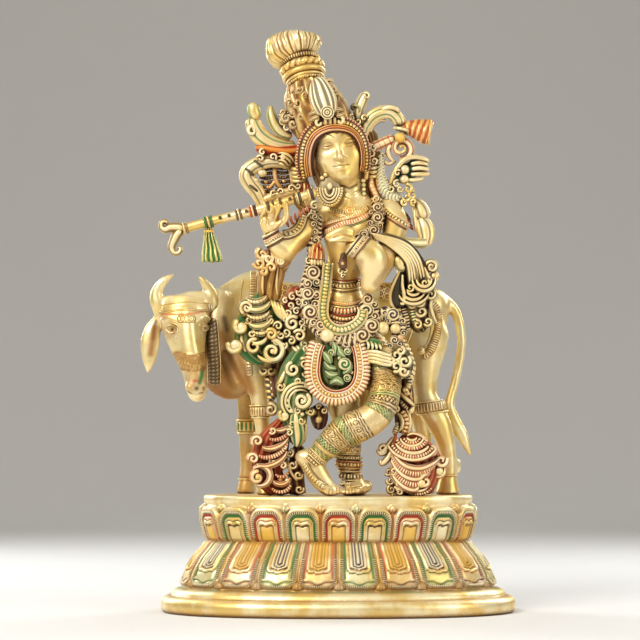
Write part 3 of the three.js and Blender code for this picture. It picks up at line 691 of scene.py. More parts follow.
def inside(x, y, w, r):
    """How far inside an arch: sides at x = +-w, top at y = 0, corners of radius r."""
    qx, qy = np.abs(x) - (w - r), y + r
    return r - (np.hypot(np.maximum(qx, 0), np.maximum(qy, 0)) + np.minimum(np.maximum(qx, qy), 0))


PITCH = 33.0


def relief_of(s, z):
    """Height in mm and colour of the petals' carving at s petals round and height z."""
    h = np.zeros_like(z)
    c = bare(z.shape, "amber", 0.0)
    # the tier that stands up
    k = np.round(s)
    x = (s - k) * PITCH
    red = (k % 2) == 0
    up = (z > 64.2) & (z < 99)
    body = inside(x, z - 95.2, 15.6, 11.5)
    notch = 1.1 * np.exp(-((x / 2.2) ** 2))
    d = inside(x, (z - 91.2) * 0.66, 14.3, 9.0)
    dn = inside(x, (z - 91.2 + notch) * 0.66, 14.3, 9.0)
    d = np.where(d > 5.0, dn, d)
    high = np.interp(d, [-1.2, 0, 0.3, 2.2, 2.6, 4.0, 4.4, 5.2, 5.5, 5.9, 6.3, 7.7, 8.1, 8.8, 9.2, 12], [4.4, 4.3, 3.3, 3.2, 1.9, 1.9, 3.4, 3.5, 2.2, 2.2, 4.3, 4.5, 1.8, 1.8, 3.2, 3.8])
    root = smooth(64.2, 66.2, z)
    hu = smooth(0.0, 1.6, body) * high * (0.5 + 0.5 * smooth(64, 86, z)) * root
    upper = up & (body > 0)
    h = np.where(upper, hu, h)
    zone = lambda lo, hi, e=0.25: smooth(lo - e, lo + e, d) * (1 - smooth(hi - e, hi + e, d)) * upper
    cr, cg = zone(2.3, 4.2) * red, zone(2.3, 4.2) * ~red
    c = over(c, "red", cr * 0.95)
    c = over(c, "green", cg * 0.95)
    c = over(c, "amber", zone(0.1, 2.3) * 0.55)
    c = over(c, "maroon", zone(0.1, 2.3) * red * 0.45)
    c = over(c, "green", zone(0.1, 2.3) * ~red * 0.50)
    c = over(c, "orange", zone(4.2, 5.3) * red * 0.25)
    c = over(c, "yellow", zone(4.2, 5.3) * ~red * 0.35)
    c = over(c, "red", zone(5.3, 6.0) * red * 0.8)
    c = over(c, "black", zone(5.3, 6.0) * ~red * 0.7)
    c = over(c, "amber", zone(7.8, 8.9) * red * 0.85)
    c = over(c, "black", zone(7.8, 8.9) * ~red * 0.85)
    c = over(c, "yellow", zone(8.9, 30) * red * 0.72)
    c = over(c, "cream", zone(8.9, 30) * ~red * 0.25)
    # buds between their tips
    kb = np.floor(s) + 0.5
    xb = (s - kb) * PITCH
    bud = np.hypot(xb / 3.5, (z - 93.0) / 3.7)
    h = np.maximum(h, 4.6 * np.sqrt(np.clip(1 - bud**2, 0, 1)))
    slit = (bud < 0.98) * np.exp(-(((np.abs(xb) - 1.4 - 0.12 * (z - 92.7)) / 0.55) ** 2))
    h = h - 0.9 * slit
    odd = ((kb - 0.5) % 2) == 0
    c = over(c, "green", slit * odd * 0.95)
    c = over(c, "red", slit * ~odd * 0.85)
    stem = np.exp(-((xb / 0.9) ** 2)) * (z > 66) * (z < 90)
    # painted shade between the upper petals, below their tips
    c = over(c, "amber", (body < 0.4) * up * (z < 96) * (bud > 1) * 0.55 * smooth(96, 92, z))
    c = over(c, "vermilion", stem * odd * 0.0 + stem * ~odd * 0.45)
    h = np.where((z > 66) & (z < 89), np.maximum(h, 1.1 * np.exp(-((xb / 0.7) ** 2))), h)
    # the tier that spreads downwards
    k = np.floor(s) + 0.5
    x = (s - k) * PITCH * 1.09
    dark = ((k - 0.5) % 2) == 0
    down = (z < 63.8) & (z > 23.1)
    y = (63.8 - z) / 40.5 * 45.8
    body = inside(x, y - 44.8, 17.4, 10.0)
    low = down & (body > 0)
    side = np.abs(x)
    high = np.interp(body, [0, 1.2, 1.6, 3.9, 4.3, 6.0, 6.4, 9], [3.0, 4.1, 3.1, 3.2, 1.8, 1.8, 2.9, 3.1])
    wave = 39.8 + 0.9 * np.cos(x * TAU / 13.0) - 0.02 * side**2
    foot = smooth(34.0, 36.0, y)
    high = high * (1 - foot * (body > 3.9)) + foot * (body > 3.9) * (3.0 - 1.5 * np.exp(-(((y - wave) / 0.7) ** 2)))
    cup = inside(x, y - 30.0 - 0.7 * np.cos(x * TAU / 9.0), 11.6, 7.5)
    inner = cup > 0
    stripe = (cup - 3.9) / 2.9
    high = np.where(inner, np.interp(cup, [0, 0.5, 0.9, 2.9, 3.3, 3.9], [1.9, 2.0, 4.5, 4.7, 2.4, 2.4]), high)
    high = np.where(cup > 3.9, 3.1 + 1.1 * np.cos(TAU * (stripe - 0.5)), high)
    hl = smooth(0, 1.3, body) * high * smooth(63.8, 62.0, z) * (0.55 + 0.45 * smooth(0, 30, y))
    h = np.where(low, hl, h)
    band = (smooth(3.7, 4.1, body) * (1 - smooth(5.8, 6.4, body))) * (1 - 0.8 * foot) * low
    c = over(c, "green", band * dark * 0.90)
    c = over(c, "red", band * ~dark * 0.70)
    c = over(c, "purple", band * ~dark * 0.40 * smooth(16, 30, y))
    bed = low * smooth(1.2, 1.6, body) * (1 - smooth(3.7, 4.1, body))
    c = over(c, "amber", bed * 0.75)
    c = over(c, "green", bed * dark * 0.35)
    c = over(c, "maroon", bed * ~dark * 0.30)
    flush = low * smooth(3.9, 6.5, body) * ~inner
    c = over(c, "mint", flush * dark * 0.18)
    c = over(c, "pink", flush * ~dark * 0.15)
    edge = low * foot * np.exp(-(((y - wave) / 0.8) ** 2)) * (body > 3.2)
    c = over(c, "green", edge * dark * 0.8)
    c = over(c, "maroon", edge * ~dark * 0.8)
    lip = low * np.exp(-(((cup - 0.1) / 0.45) ** 2))
    c = over(c, "green", lip * dark * 0.8)
    c = over(c, "vermilion", lip * ~dark * 0.7)
    c = over(c, "amber", low * np.exp(-(((cup - 3.5) / 0.4) ** 2)) * 0.8)
    groove = low * (cup > 3.9) * smooth(0.45, -0.15, np.cos(TAU * (stripe - 0.5)))
    c = over(c, "cream", low * (cup > 3.9) * 0.40 * dark)
    c = over(c, "purple", groove * dark * 0.97)
    c = over(c, "yellow", low * (cup > 3.9) * 0.60 * ~dark)
    c = over(c, "amber", groove * ~dark * 0.65)
    # painted shade in the gaps between the lower petals
    c = over(c, "amber", (body < 0.3) * down * 0.5)
    # fan tips between the feet of the lower tier
    kf = np.round(s)
    xf = (s - kf) * PITCH * 1.09
    fan = np.hypot(xf / (3.1 + 0.5 * (29.5 - z)), (z - 26.8) / 4.2)
    h = np.where(down, np.maximum(h, 3.6 * np.sqrt(np.clip(1 - fan**2, 0, 1))), h)
    c = over(c, "amber", down * np.exp(-(((fan - 1.05) / 0.12) ** 2)) * 0.6)
    c = over(c, "maroon", down * (fan < 1) * np.exp(-(((np.abs(xf) - 1.1) / 0.35) ** 2)) * 0.35)
    return h, c


def plinth_point(s, z, h):
    r = np.interp(z, [q[0] for q in RISE], [q[1] for q in RISE])
    x, y = oval(r + h, turn(s))
    return np.stack([x, y, z + 0 * x], -1)


def plinth():
    front, rear = 32, 16  # facets across a petal, finer at the front
    s = []
    for k in range(PETALS):
        n = front if (k < 6 or k >= 14) else rear
        s.extend(k + np.arange(n) / n)
    s = np.array(s)
    heights = [z for z, _ in FOOT[:-1]] + list(np.linspace(22.9, 96.0, 78)) + [z for z, _ in RIM]
    z = np.array(heights)
    profile = FOOT[:-1] + RISE + RIM
    r = np.interp(z, [q[0] for q in profile], [q[1] for q in profile])
    S, Z = np.meshgrid(s, z)
    h, c = relief_of(S, Z)
    h = h * ((Z > 23.0) & (Z < 99))
    c = over(c, "green", 0.55 * np.exp(-(((Z - 21.6) / 0.5) ** 2)) * smooth(0.40, 0.62, 0.5 + 0.25 * np.sin(S * 1.7) + 0.25 * np.sin(S * 4.1 + 1)))
    c = over(c, "amber", 0.75 * np.exp(-(((Z - 14.9) / 0.45) ** 2)))
    c = over(c, "amber", 0.65 * np.exp(-(((Z - 64.0) / 0.7) ** 2)))
    x, y = oval(r[:, None] + h, turn(S))
    body = np.stack([x, y, Z], -1)
    top, cols = [], []
    for size in (0.97, 0.8, 0.5, 0.2):
        x, y = oval(np.full(len(s), 118.4), turn(s))
        top.append(np.stack([x * size, y * size, np.full(len(s), 104.0)], -1))
        cols.append(bare((len(s),), "amber", 0.25))
    body = np.concatenate([body, np.stack(top)])
    c = np.concatenate([c, np.stack(cols)])
    parts = Parts()
    parts.add(*capped(body, c))
    parts.piece("lotus_plinth_carving", "plinth_brass", "lotus_plinth")

    # The short strokes of the petals' corded borders.
    parts = Parts()

    def strokes(centre, path, normal, pitch, half, long, raise_, to_point, colour):
        run = np.concatenate([[0], np.cumsum(np.hypot(*np.diff(path, axis=0).T))])
        n = int(run[-1] / pitch)
        want = (np.arange(n) + 0.5) * run[-1] / n
        p = np.stack([np.interp(want, run, path[:, i]) for i in (0, 1)], -1)
        q = unit(np.stack([np.interp(want, run, normal[:, i]) for i in (0, 1)], -1))
        w = np.stack([-q[:, 1], q[:, 0]], -1)
        v = []
        for along, across, up in ((-1, -1, 0), (1, -1, 0), (1, 1, 0), (-1, 1, 0), (-0.75, 0, 1), (0.75, 0, 1)):
            m = p + q * along * long + w * across * half
            v.append(to_point(m[:, 0], m[:, 1], up))
        v = np.stack(v, 1)
        f = np.array([[0, 1, 5], [0, 5, 4], [2, 3, 4], [2, 4, 5], [1, 2, 5], [3, 0, 4], [0, 2, 1], [0, 3, 2]])
        faces = (np.arange(n)[:, None, None] * 6 + f[None]).reshape(-1, 3)
        parts.add(v.reshape(-1, 3), faces, colour)

    def arch(w, top, bottom, r, squeeze):
        t = np.linspace(0, math.pi / 2, 24)
        left = np.stack([-(w - r) - r * np.cos(t), (top * squeeze - r + r * np.sin(t)) / squeeze], -1)
        right = left[::-1] * [-1, 1]
        foot = np.array([[-w, bottom]])
        path = np.concatenate([foot, left, right, foot * [-1, 1]])
        nl = np.stack([-np.cos(t), np.sin(t)], -1)
        normal = np.concatenate([[[-1, 0]], nl, nl[::-1] * [-1, 1], [[1, 0]]])
        return path, normal

    for k in range(PETALS):
        path, normal = arch(13.15, 89.5, 67.5, 7.9, 0.66)

        def to_upper(x, z, up, k=k):
            s = k + x / PITCH
            h, _ = relief_of(s, z)
            return plinth_point(s, z, h - 0.3 + 1.5 * up)

        strokes(k, path, normal, 1.8, 0.56, 1.2, 1.2, to_upper, tint("cream", 0.85))
        path, normal = arch(14.7, 0.0, -27.0, 8.0, 1.0)
        # mirrored to hang down: 0 is the petal's tip

        def to_lower(x, y, up, k=k):
            z = 63.8 - (42.2 + y) / 45.8 * 40.5
            s = k + 0.5 + x / (PITCH * 1.09)
            h, _ = relief_of(s, z)
            return plinth_point(s, z, h - 0.3 + 1.5 * up)

        strokes(k, path, normal, 1.8, 0.56, 1.2, 1.2, to_lower, tint("cream", 0.85))
    parts.piece("lotus_corded_borders", "plinth_brass", "lotus_plinth")


plinth()


# ------------------------------------------------------------------ the cow
def cow():
    b = Blob((-182, -50, 102.6), (128, 66, 312), 2.15)
    b.limb(line((250, 331, -26, 43, 26), (266, 328, -28, 46, 28), (295, 328, -28, 44, 29), (335, 331, -28, 43, 31), (380, 330, -28, 42, 31), (408, 328, -28, 38.5, 29)), 6, 6)
    b.ball(at(434, 304, -29), (12.5, 15, 13.5), 12)
    b.limb(line((240, 300, -26, 16, 13), (256, 292, -26, 20, 15), (274, 300, -26, 14, 13)), 9, 5)
    b.limb(line((219, 300, 2, 12, 12), (217, 316, 5, 13, 14), (217, 336, 5, 14.5, 15), (219, 356, 2, 15.5, 15), (225, 376, -2, 17, 13), (230, 382, -4, 15.5, 12)), 8, 4)
    b.limb(line((248, 320, -22, 38, 20), (236, 332, -14, 44, 19), (232, 350, -10, 42, 16)), 10, 5)
    # legs
    b.limb(line((252, 346, -8, 20, 16), (256, 372, -1, 14, 12), (259, 396, 2, 9.5, 9.5), (261, 408, 2, 9.6, 9.6), (262, 424, 2, 7.6, 7.6), (264, 445, 2, 7, 7), (264.5, 468, 2, 6.6, 6.6), (265, 480, 3, 8.2, 8.2), (265.3, 485, 4, 8.6, 8.6), (265.5, 503, 6, 11, 11)), 5, 4)
    b.limb(line((250, 336, -32, 20, 15), (247, 362, -36, 17, 14), (246, 388, -38, 11, 10.5), (246, 406, -40, 8.6, 8.6), (246.5, 426, -40, 8.4, 8.4), (246.5, 446, -40, 7.3, 7.3), (247, 464, -40, 6.7, 6.7), (247, 476, -40, 7.8, 7.8), (246.5, 484, -39, 8.2, 8.2), (245.5, 503, -38, 11.3, 10.5)), 5, 4)
    b.limb(line((424, 338, -12, 25, 19), (425, 368, -9, 15, 15), (425, 392, -7, 11.5, 11.5), (429, 406, -6, 13.2, 11.5), (439, 424, -7, 12.2, 10.5), (446, 444, -8, 9.2, 9), (448.5, 462, -8, 8.2, 8), (448.3, 474, -8, 8.4, 8.4), (448, 482, -8, 9.6, 9.6), (447.5, 505, -6, 15, 12.5)), 6, 4)
    b.limb(line((412, 318, -36, 24, 17), (414, 345, -42, 23, 15), (414, 370, -45, 15, 13), (412, 395, -46, 11, 10), (420, 420, -46, 10, 9), (424, 446, -46, 8, 8), (424.5, 472, -46, 8, 8), (424.5, 505, -45, 12, 11)), 6, 4)
    b.ball(at(457.5, 466, -12), (3.6, 3.6, 7.5), 3)  # dew claw
    b.limb(line((436, 300, -30, 9, 8), (447, 303, -30, 6.5, 6.5), (456.5, 314, -30, 5.2, 5.2), (461.3, 338, -30, 4.8, 4.8), (459.3, 362, -30, 4.6, 4.6), (453.3, 388, -28, 4.6, 4.6), (449.5, 404, -25, 5, 5), (453, 418, -24, 6.2, 5.6), (460.5, 433, -24, 6.8, 5), (467, 447, -24, 4.2, 3.6), (471, 457, -24, 1.0, 1.0)), 3, 3)
    # hollows that shape the shoulder and the flank
    b.ball(at(229, 366, 6), (6, 8, 20), 7, lean=-24, cut=True)
    b.ball(at(243, 395, 8), (5, 6, 12), 5, lean=-18, cut=True)
    b.floor(104.3)
    v, f, n = b.skin()
    px, py = seen(v)
    front = smooth(0.0, 0.45, -n[:, 1])
    c = bare((len(v),), "amber", 0.0)
    # painted shade in the folds of the neck, on the throat and chest, under the belly and by the far ear
    fold = np.minimum.reduce([near_line(px, py, [(222, 334), (232, 362), (246, 388)]), near_line(px, py, [(236, 352), (246, 372), (252, 392)])])
    c = over(c, "amber", 0.75 * front * np.exp(-((fold / 5.0) ** 2)))
    c = over(c, "amber", 0.62 * front * smooth(240, 222, px) * smooth(296, 335, py))
    c = over(c, "amber", 0.5 * front * smooth(258, 246, px) * smooth(345, 385, py))
    c = over(c, "amber", 0.45 * smooth(-0.3, -0.8, n[:, 2]))
    c = over(c, "brown", 0.8 * front * near_line(px, py, [(224, 318), (227, 330)]).clip(0, 4).__rsub__(4) / 4 * (py < 340))
    # engraved lines: hoof, fetlock and the cloth's edges
    for y, x0, x1 in ((477.5, 238, 272), (480.5, 238, 272), (475.5, 437, 461)):
        line_ = np.exp(-(((py - y) / 0.55) ** 2)) * (px > x0) * (px < x1)
        c = over(c, "amber", 0.9 * line_)
        v = v - n * (0.45 * line_)[:, None]
    parts = Parts()
    parts.add(v, f, c)
    parts.piece("cow_body", "cow_brass", "cow")
    return b


def cow_head():
    b = Blob((-182, -64, 184), (-72, 22, 312), 1.4)
    C = lambda *rows: line(*rows)
    b.limb(C((187, 305, 10, 23, 13), (186, 311, 13, 24.5, 17), (185, 322, 17, 23.5, 18.5), (186.5, 338, 21, 19.5, 17), (190, 354, 25, 15.5, 14.5), (194, 370, 28, 12.2, 12.5), (196.5, 384, 30, 11.2, 11.5), (197, 393, 31, 9, 9.5), (196.5, 396, 31, 6, 7)), 3, 3, flat=(0,))
    b.limb(C((176, 318, 6, 13, 14), (186, 336, 6, 14, 14), (197, 346, 2, 13, 12), (208, 346, -4, 12, 10)), 6, 4)  # cheeks run into the neck
    b.limb(C((166, 303, 12, 7.5, 8), (180, 301, 14, 7, 8), (194, 298, 14, 7.5, 8), (210, 300, 12, 7, 8)), 3, 3)  # poll between the horns
    b.limb(C((188, 314, 30, 6.5, 6), (188.5, 330, 34, 6.8, 5), (190.5, 346, 36, 7, 5), (193, 358, 37, 7.5, 5)), 4, 3)  # ridge of the nose
    # brows, eye hollows and eyes
    b.limb(C((163, 320, 22, 3.4, 3.4), (170, 318, 28, 3.8, 3.6), (178, 321, 31, 3.4, 3.2)), 2.5, 2)
    b.limb(C((199, 318, 30, 2.8, 3), (204, 317, 27, 3.0, 3), (208.5, 319, 22, 2.6, 2.6)), 2.5, 2)
    b.ball(at(171.5, 329, 30.5), (6.4, 3.6, 4.2), 2.5, lean=10, cut=True)
    b.ball(at(205.3, 327.5, 27.5), (3.4, 3.4, 4.0), 2.5, cut=True)
    b.ball(at(171.7, 329.5, 22.6), (5.0, 5.0, 3.6), 0.8)
    b.ball(at(205.0, 328, 21.6), (3.2, 4.6, 3.4), 0.8)
    # muzzle: nostrils, lips and the pads beside them
    b.ball(at(190.5, 388, 37), (4.8, 5.0, 5.6), 2.5)
    b.ball(at(201.5, 387, 36), (4.4, 5.0, 5.6), 2.5)
    b.ball(at(196.6, 388.5, 43.5), (2.5, 4.6, 2.1), 0.7, cut=True)
    b.ball(at(203.8, 388, 39.5), (1.2, 3.5, 1.7), 0.7, cut=True)
    b.limb(C((186.5, 391, 37, 0.7, 2.2), (191, 393.4, 42.5, 0.7, 2.2), (197, 394.2, 43, 0.7, 2.2), (203, 392.5, 41, 0.7, 2.2), (206, 390, 37, 0.7, 2.0)), 0.8, 1, cut=True)
    # horns
    b.limb(C((161, 309, 13, 8.6, 8.2), (157.5, 302, 14, 7.4), (156.3, 295, 14, 6.4), (158.5, 288, 15, 5.4), (163.2, 281.6, 16, 4.3), (168.6, 277.3, 16, 2.8), (173.8, 274.6, 16, 1.1)), 1.5, 2)
    b.limb(C((211.5, 305, 12, 8.0, 8), (211.5, 298, 12, 7.2), (209.6, 291.5, 12, 6.2), (206.4, 285.6, 13, 4.8), (202.6, 280.6, 14, 3.3), (198.8, 275.8, 14, 1.1)), 1.5, 2)
    # ears: hanging leaves with a hollow
    b.limb(C((163, 315, 11, 4.6, 4.4), (158, 321, 12, 6.2, 4.4), (152.5, 331, 14, 8.6, 4.2), (150, 343, 15, 9.6, 4), (149.3, 355, 15, 7.8, 3.6), (148.6, 365, 15, 4.6, 3), (148, 372.5, 15, 1.2, 1.2)), 1.6, 2)
    b.limb(C((157, 323, 20, 2.6, 2.2), (153, 333, 21.5, 3.6, 2.6), (151.2, 344, 21.5, 3.8, 2.6), (150, 355, 20.5, 2.4, 2.2), (149.2, 361, 19, 1.0, 1.0)), 2.0, 1.5, cut=True)
    b.limb(C((211, 310, 8, 4, 4), (221, 322, 5, 7, 3.5), (230, 338, 3, 8, 3.5), (238, 354, 2, 5.5, 3), (243, 365, 1, 1.2, 1.2)), 1.6, 2)
    b.limb(C((220, 319, 9, 1.8, 1.6), (228, 333, 8, 2.6, 2.0), (235, 348, 6.5, 1.8, 1.6)), 2.0, 1.5, cut=True)
    v, f, n = b.skin()
    px, py = seen(v)
    front = smooth(0.0, 0.4, -n[:, 1])
    c = bare((len(v),), "amber", 0.0)
    face = front * (px > 158) * (px < 214)
    # painted shade in the hollows: ears, eyes, temples, chin
    c = over(c, "brown", 0.85 * front * np.clip(1 - near_line(px, py, [(156, 320), (153.5, 330), (153, 338)]) / 3.4, 0, 1))
    c = over(c, "amber", 0.85 * front * np.clip(1.2 - near_line(px, py, [(155, 328), (152, 345), (150.5, 354)]) / 4.5, 0, 1))
    c = over(c, "brown", 0.85 * front * np.clip(1.2 - near_line(px, py, [(221, 320), (227, 331), (231, 340)]) / 3.4, 0, 1))
    c = over(c, "amber", 0.7 * face * np.exp(-(((px - 171) / 7.5) ** 2 + ((py - 331) / 8.5) ** 2)))
    c = over(c, "amber", 0.55 * face * np.exp(-(((px - 206) / 4) ** 2 + ((py - 331) / 9) ** 2)))
    c = over(c, "amber", 0.5 * face * smooth(362, 378, py) * smooth(398, 386, py))
    c = over(c, "vermilion", 0.75 * face * np.exp(-((near_line(px, py, [(160, 312.5), (170, 314.5), (182, 314.5), (196, 313), (210, 309.5)]) / 1.1) ** 2)))
    c = over(c, "red", 0.7 * front * np.exp(-(((px - 163.5) / 2.2) ** 2 + ((py - 317) / 3.2) ** 2)))
    # painted shade: black in the cut between the nostrils, brown along the cut of the lips
    c = over(c, "black", 0.95 * face * np.exp(-(((px - 196.8) / 2.2) ** 2 + ((py - 388.5) / 2.0) ** 2)))
    c = over(c, "brown", 0.8 * face * np.exp(-((near_line(px, py, [(187, 391), (191, 393.4), (197, 394.2), (203, 392.5)]) / 0.6) ** 2)))
    c = over(c, "green", 0.9 * face * np.clip(1.6 - near_line(px, py, [(202.5, 368), (201.5, 376), (199.5, 383)]) / 1.8, 0, 1))
    c = over(c, "red", 0.75 * face * np.exp(-(((px - 195) / 4.0) ** 2 + ((py - 381) / 1.6) ** 2)))
    # stippled band over the nose
    wave = 353.5 + 1.6 * np.cos((px - 192) / 13 * math.pi)
    band = smooth(wave - 0.8, wave + 0.4, py) * smooth(371.5, 370.3, py) * face
    dot = smooth(0.35, 0.75, np.sin(px * 2.1 + 0.6 * np.sin(py * 1.3)) * np.sin(py * 2.2 + 0.5 * np.sin(px * 1.7)))
    v = v + n * (band * (0.5 + 0.5 * dot))[:, None]
    c = over(c, "amber", band * (0.62 * (1 - dot) + 0.10))
    for y in (0.2, 16.6):
        c = over(c, "amber", 0.8 * face * np.exp(-(((py - wave - y) / 0.6) ** 2)))
    parts = Parts()
    parts.add(v, f, c)

    tan = lambda S, T, h: over(bare(S.shape), "amber", 0.7 * (h < 0.25))
    # band between the horns, with a lattice of short strokes
    PX, PY = np.meshgrid(np.linspace(159, 212, 170), np.linspace(0, 1, 22))
    low = 311.6 - 1.8 * np.cos((PX - 184) / 26 * math.pi) * 0.6 - 0.05 * (PX - 184)
    high = low - 9.2
    PYY = high + (low - high) * PY
    edge = np.minimum(PY, 1 - PY)
    stroke = smooth(0.55, 0.9, np.sin(PX * 2.3 + 5 * np.sin(np.floor(PX / 5.4) * 2.1))) * (edge > 0.22) * (np.sin(np.floor(PX / 5.4) * 12.9) > -0.2)
    line_ = np.exp(-(((edge - 0.14) / 0.035) ** 2))
    height = 0.9 * smooth(0, 0.06, edge) + 0.25 * (edge < 0.12) - 0.3 * line_ - 0.35 * stroke
    col = over(bare(PX.shape), "amber", 0.8 * line_)
    col = over(col, "black", 0.75 * stroke)
    applied(parts, b, PX, PYY, height, col, near=60, far=0)
    # little plate on the forehead
    PX, PY = np.meshgrid(np.linspace(176.5, 196.5, 80), np.linspace(314.8, 323.0, 34))
    u, w = (PX - 186.5) / 10, (PY - 318.9) / 4.1
    d = 1 - np.maximum(np.abs(w), np.abs(u) + 0.25 * np.abs(w) ** 2)
    ring = np.exp(-(((d - 0.14) / 0.05) ** 2))
    curl = smooth(0.25, 0.7, np.cos(6.5 * np.hypot((frac(PX / 4.2) - 0.5) * 2, w * 1.4)) * (d > 0.22))
    height = np.where(d > 0, 0.3 + 0.8 * smooth(0, 0.12, d) - 0.35 * ring - 0.3 * curl, -0.5)
    col = over(over(bare(PX.shape), "brown", 0.85 * ring), "amber", 0.6 * curl)
    applied(parts, b, PX, PY, height, col, near=60, far=0)
    # lids and folds round the eyes
    for cx, cy, rx, ry, lean in ((171.8, 329.3, 6.3, 4.3, 8), (205.2, 327.8, 3.6, 4.2, -6)):
        for k, (gx, gy, amp) in enumerate(((1.0, 1.0, 1.0), (1.38, 1.5, 0.7), (1.7, 1.95, 0.5))):
            a = np.linspace(0, TAU, 26, endpoint=False)
            if k:
                a = np.linspace(0.15 * math.pi, 0.95 * math.pi, 14)
            x = cx + rx * gx * np.cos(a)
            y = cy - ry * gy * np.sin(a) * np.where(np.sin(a) > 0, 1, 0.8) + math.tan(math.radians(lean)) * rx * np.cos(a)
            strap(parts, b, [(p, q, 0.5 * amp, 0.55 * amp) for p, q in zip(x, y)], np.array(0.62 * amp), 0.62 * amp, step=0.6, sides=8, closed=k == 0, near=60, far=0, power=2)
        ball(parts, onto(b, cx + 0.2, cy + 0.1, 60, 0)[0].reshape(3), (1.1, 0.7, 1.0), over(bare((1,)), "brown", np.array([0.85]))[0], 10, 7)
    parts.piece("cow_head", "cow_brass", "cow")
    return b


def cow_dress(body, head):
    parts = Parts()

    def pearls(pitch, across=1.0, height=0.9, paint="green"):
        relief = lambda S, T: height * dotted(S, T, pitch, across) * (np.cos(T) > 0)
        colour = lambda S, T, h: over(bare(S.shape), paint, 0.9 * (1 - smooth(0.15, 0.5, h / height)) * (np.cos(T) > 0.2))
        return relief, colour

    # knee bands: a thick ribbed cuff between two cords
    def knee(x, y, d, reach, tall, paint, pitch=2.2, lean=(0.0, 0.0, 1.0)):
        r = lambda S, T: 0.55 * smooth(-0.2, 0.4, np.cos(TAU * S / pitch)) * (np.abs(np.sin(T)) < 0.62) * (np.cos(T) > 0)
        k = lambda S, T, h: over(bare(S.shape), paint, 0.85 * (h < 0.2) * (np.abs(np.sin(T)) < 0.7) * (np.cos(T) > 0))
        cuff(parts, body, at(x, y, d), lean, tall * 0.45, 1.5, step=0.55, sides=16, relief=r, colour=k, reach=reach)
        for s in (-1, 1):
            cuff(parts, body, at(x + s * lean[0] * tall * -0.6, y + s * tall * 0.56, d), lean, 1.0, 1.9, step=0.9, sides=8, reach=reach, power=2)

    knee(261, 411.5, 2, 20, 10.5, "amber")
    knee(428.5, 407.5, -6, 22, 10.0, "amber", 2.6, (-0.12, 0.0, 1.0))
    knee(246.2, 426.5, -40, 20, 11.5, "green", 3.4)
    knee(413, 407.5, -46, 20, 9.5, "amber", 2.6)
    # cords round the fetlocks
    for x, y, d in ((264.7, 478.8, 2), (247, 479, -40), (448.2, 475.5, -8), (424.5, 476, -46)):
        cuff(parts, body, at(x, y, d), (0, 0, 1), 0.7, 0.9, step=1.2, sides=8, reach=20, power=2)
    # girth strap with hatching
    hatch = lambda S, T: 0.4 * smooth(0.0, 0.5, np.cos(TAU * S / 2.6)) * (np.abs(np.sin(T)) < 0.6) * (np.cos(T) > 0)
    dark = lambda S, T, h: over(bare(S.shape), "amber", 0.8 * ((h < 0.1) & (np.abs(np.sin(T)) < 0.66) & (np.cos(T) > 0)))
    strap(parts, body, [(253.5, 271, 3.4, 1.0), (253.0, 285, 3.4, 1.0), (252, 300, 3.4, 1.0), (250, 330, 3.4, 1.0), (249, 362, 3.2, 1.0), (250, 376, 3.0, 1.0)], 3.3, 1.0, step=0.7, sides=14, relief=hatch, colour=dark)
    strap(parts, body, [(258.0, 270), (257.6, 285), (256.6, 300), (254.5, 330)], 0.6, 0.9, step=1.2, sides=8, power=2)
    # strap hanging down the neck beside the face, scroll pattern in brown, the whole strap browned as painted shade
    # beside the face
    scroll = lambda S, T: 0.4 * smooth(-0.1, 0.5, np.cos(TAU * S / 3.4 + 3.0 * np.sin(T)) * np.cos(5.2 * np.sin(T))) * (np.cos(T) > 0)
    deep = lambda S, T, h: over(bare(S.shape), "brown", (0.5 * (h < 0.15) + 0.4) * (np.cos(T) > -0.2))
    strap(parts, body, [(210.5, 318, 4.6, 1.2), (212, 335, 4.8, 1.2), (213, 355, 5.2, 1.2), (214, 372, 5.4, 1.2), (214, 385, 5.4, 1.2)], 4.9, 1.2, step=0.6, sides=20, relief=scroll, colour=deep, near=40, far=-60)
    for dx in (-6.0, 6.3):
        strap(parts, body, [(210.8 + dx, 320), (212.6 + dx, 340), (213.8 + dx, 360), (214.4 + dx, 384)], 0.6, 0.9, step=1.2, sides=8, power=2, near=40, far=-60)
    # patterned cloth over the back, seen behind the figure, and its hanging edges
    for x0, x1, y0, y1 in ((264, 303, 283.5, 301), (380, 416, 283.5, 301)):
        PX, PY = np.meshgrid(np.linspace(x0, x1, int((x1 - x0) * 3.2)), np.linspace(y0, y1, 46))
        e = np.minimum(PY - y0, y1 - PY)
        ring = np.cos(2.3 * np.hypot((frac(PX / 6.0) - 0.5) * 6, (frac(PY / 6.0 + 0.5 * np.floor(PX / 6.0)) - 0.5) * 6))
        up = smooth(-0.1, 0.5, ring)
        height = 0.35 + 0.5 * up * (e > 1.2) + 0.5 * (e < 1.0)
        applied(parts, body, PX, PY, height, over(bare(PX.shape), "amber", 0.85 * (1 - up) * (e > 1.2)), far=-60)
    # a hatched strap and a plain cord down the near thigh
    strap(parts, body, [(408, 303, 3.2, 1.0), (408.5, 312, 3.2, 1.0), (408.5, 322, 3.2, 1.0)], 3.2, 1.0, step=0.6, sides=14, relief=hatch, colour=dark)
    strap(parts, body, [(413.5, 296), (414, 312), (412.5, 328), (408.5, 341), (404, 348)], 0.75, 1.0, step=1.0, sides=8, power=2)
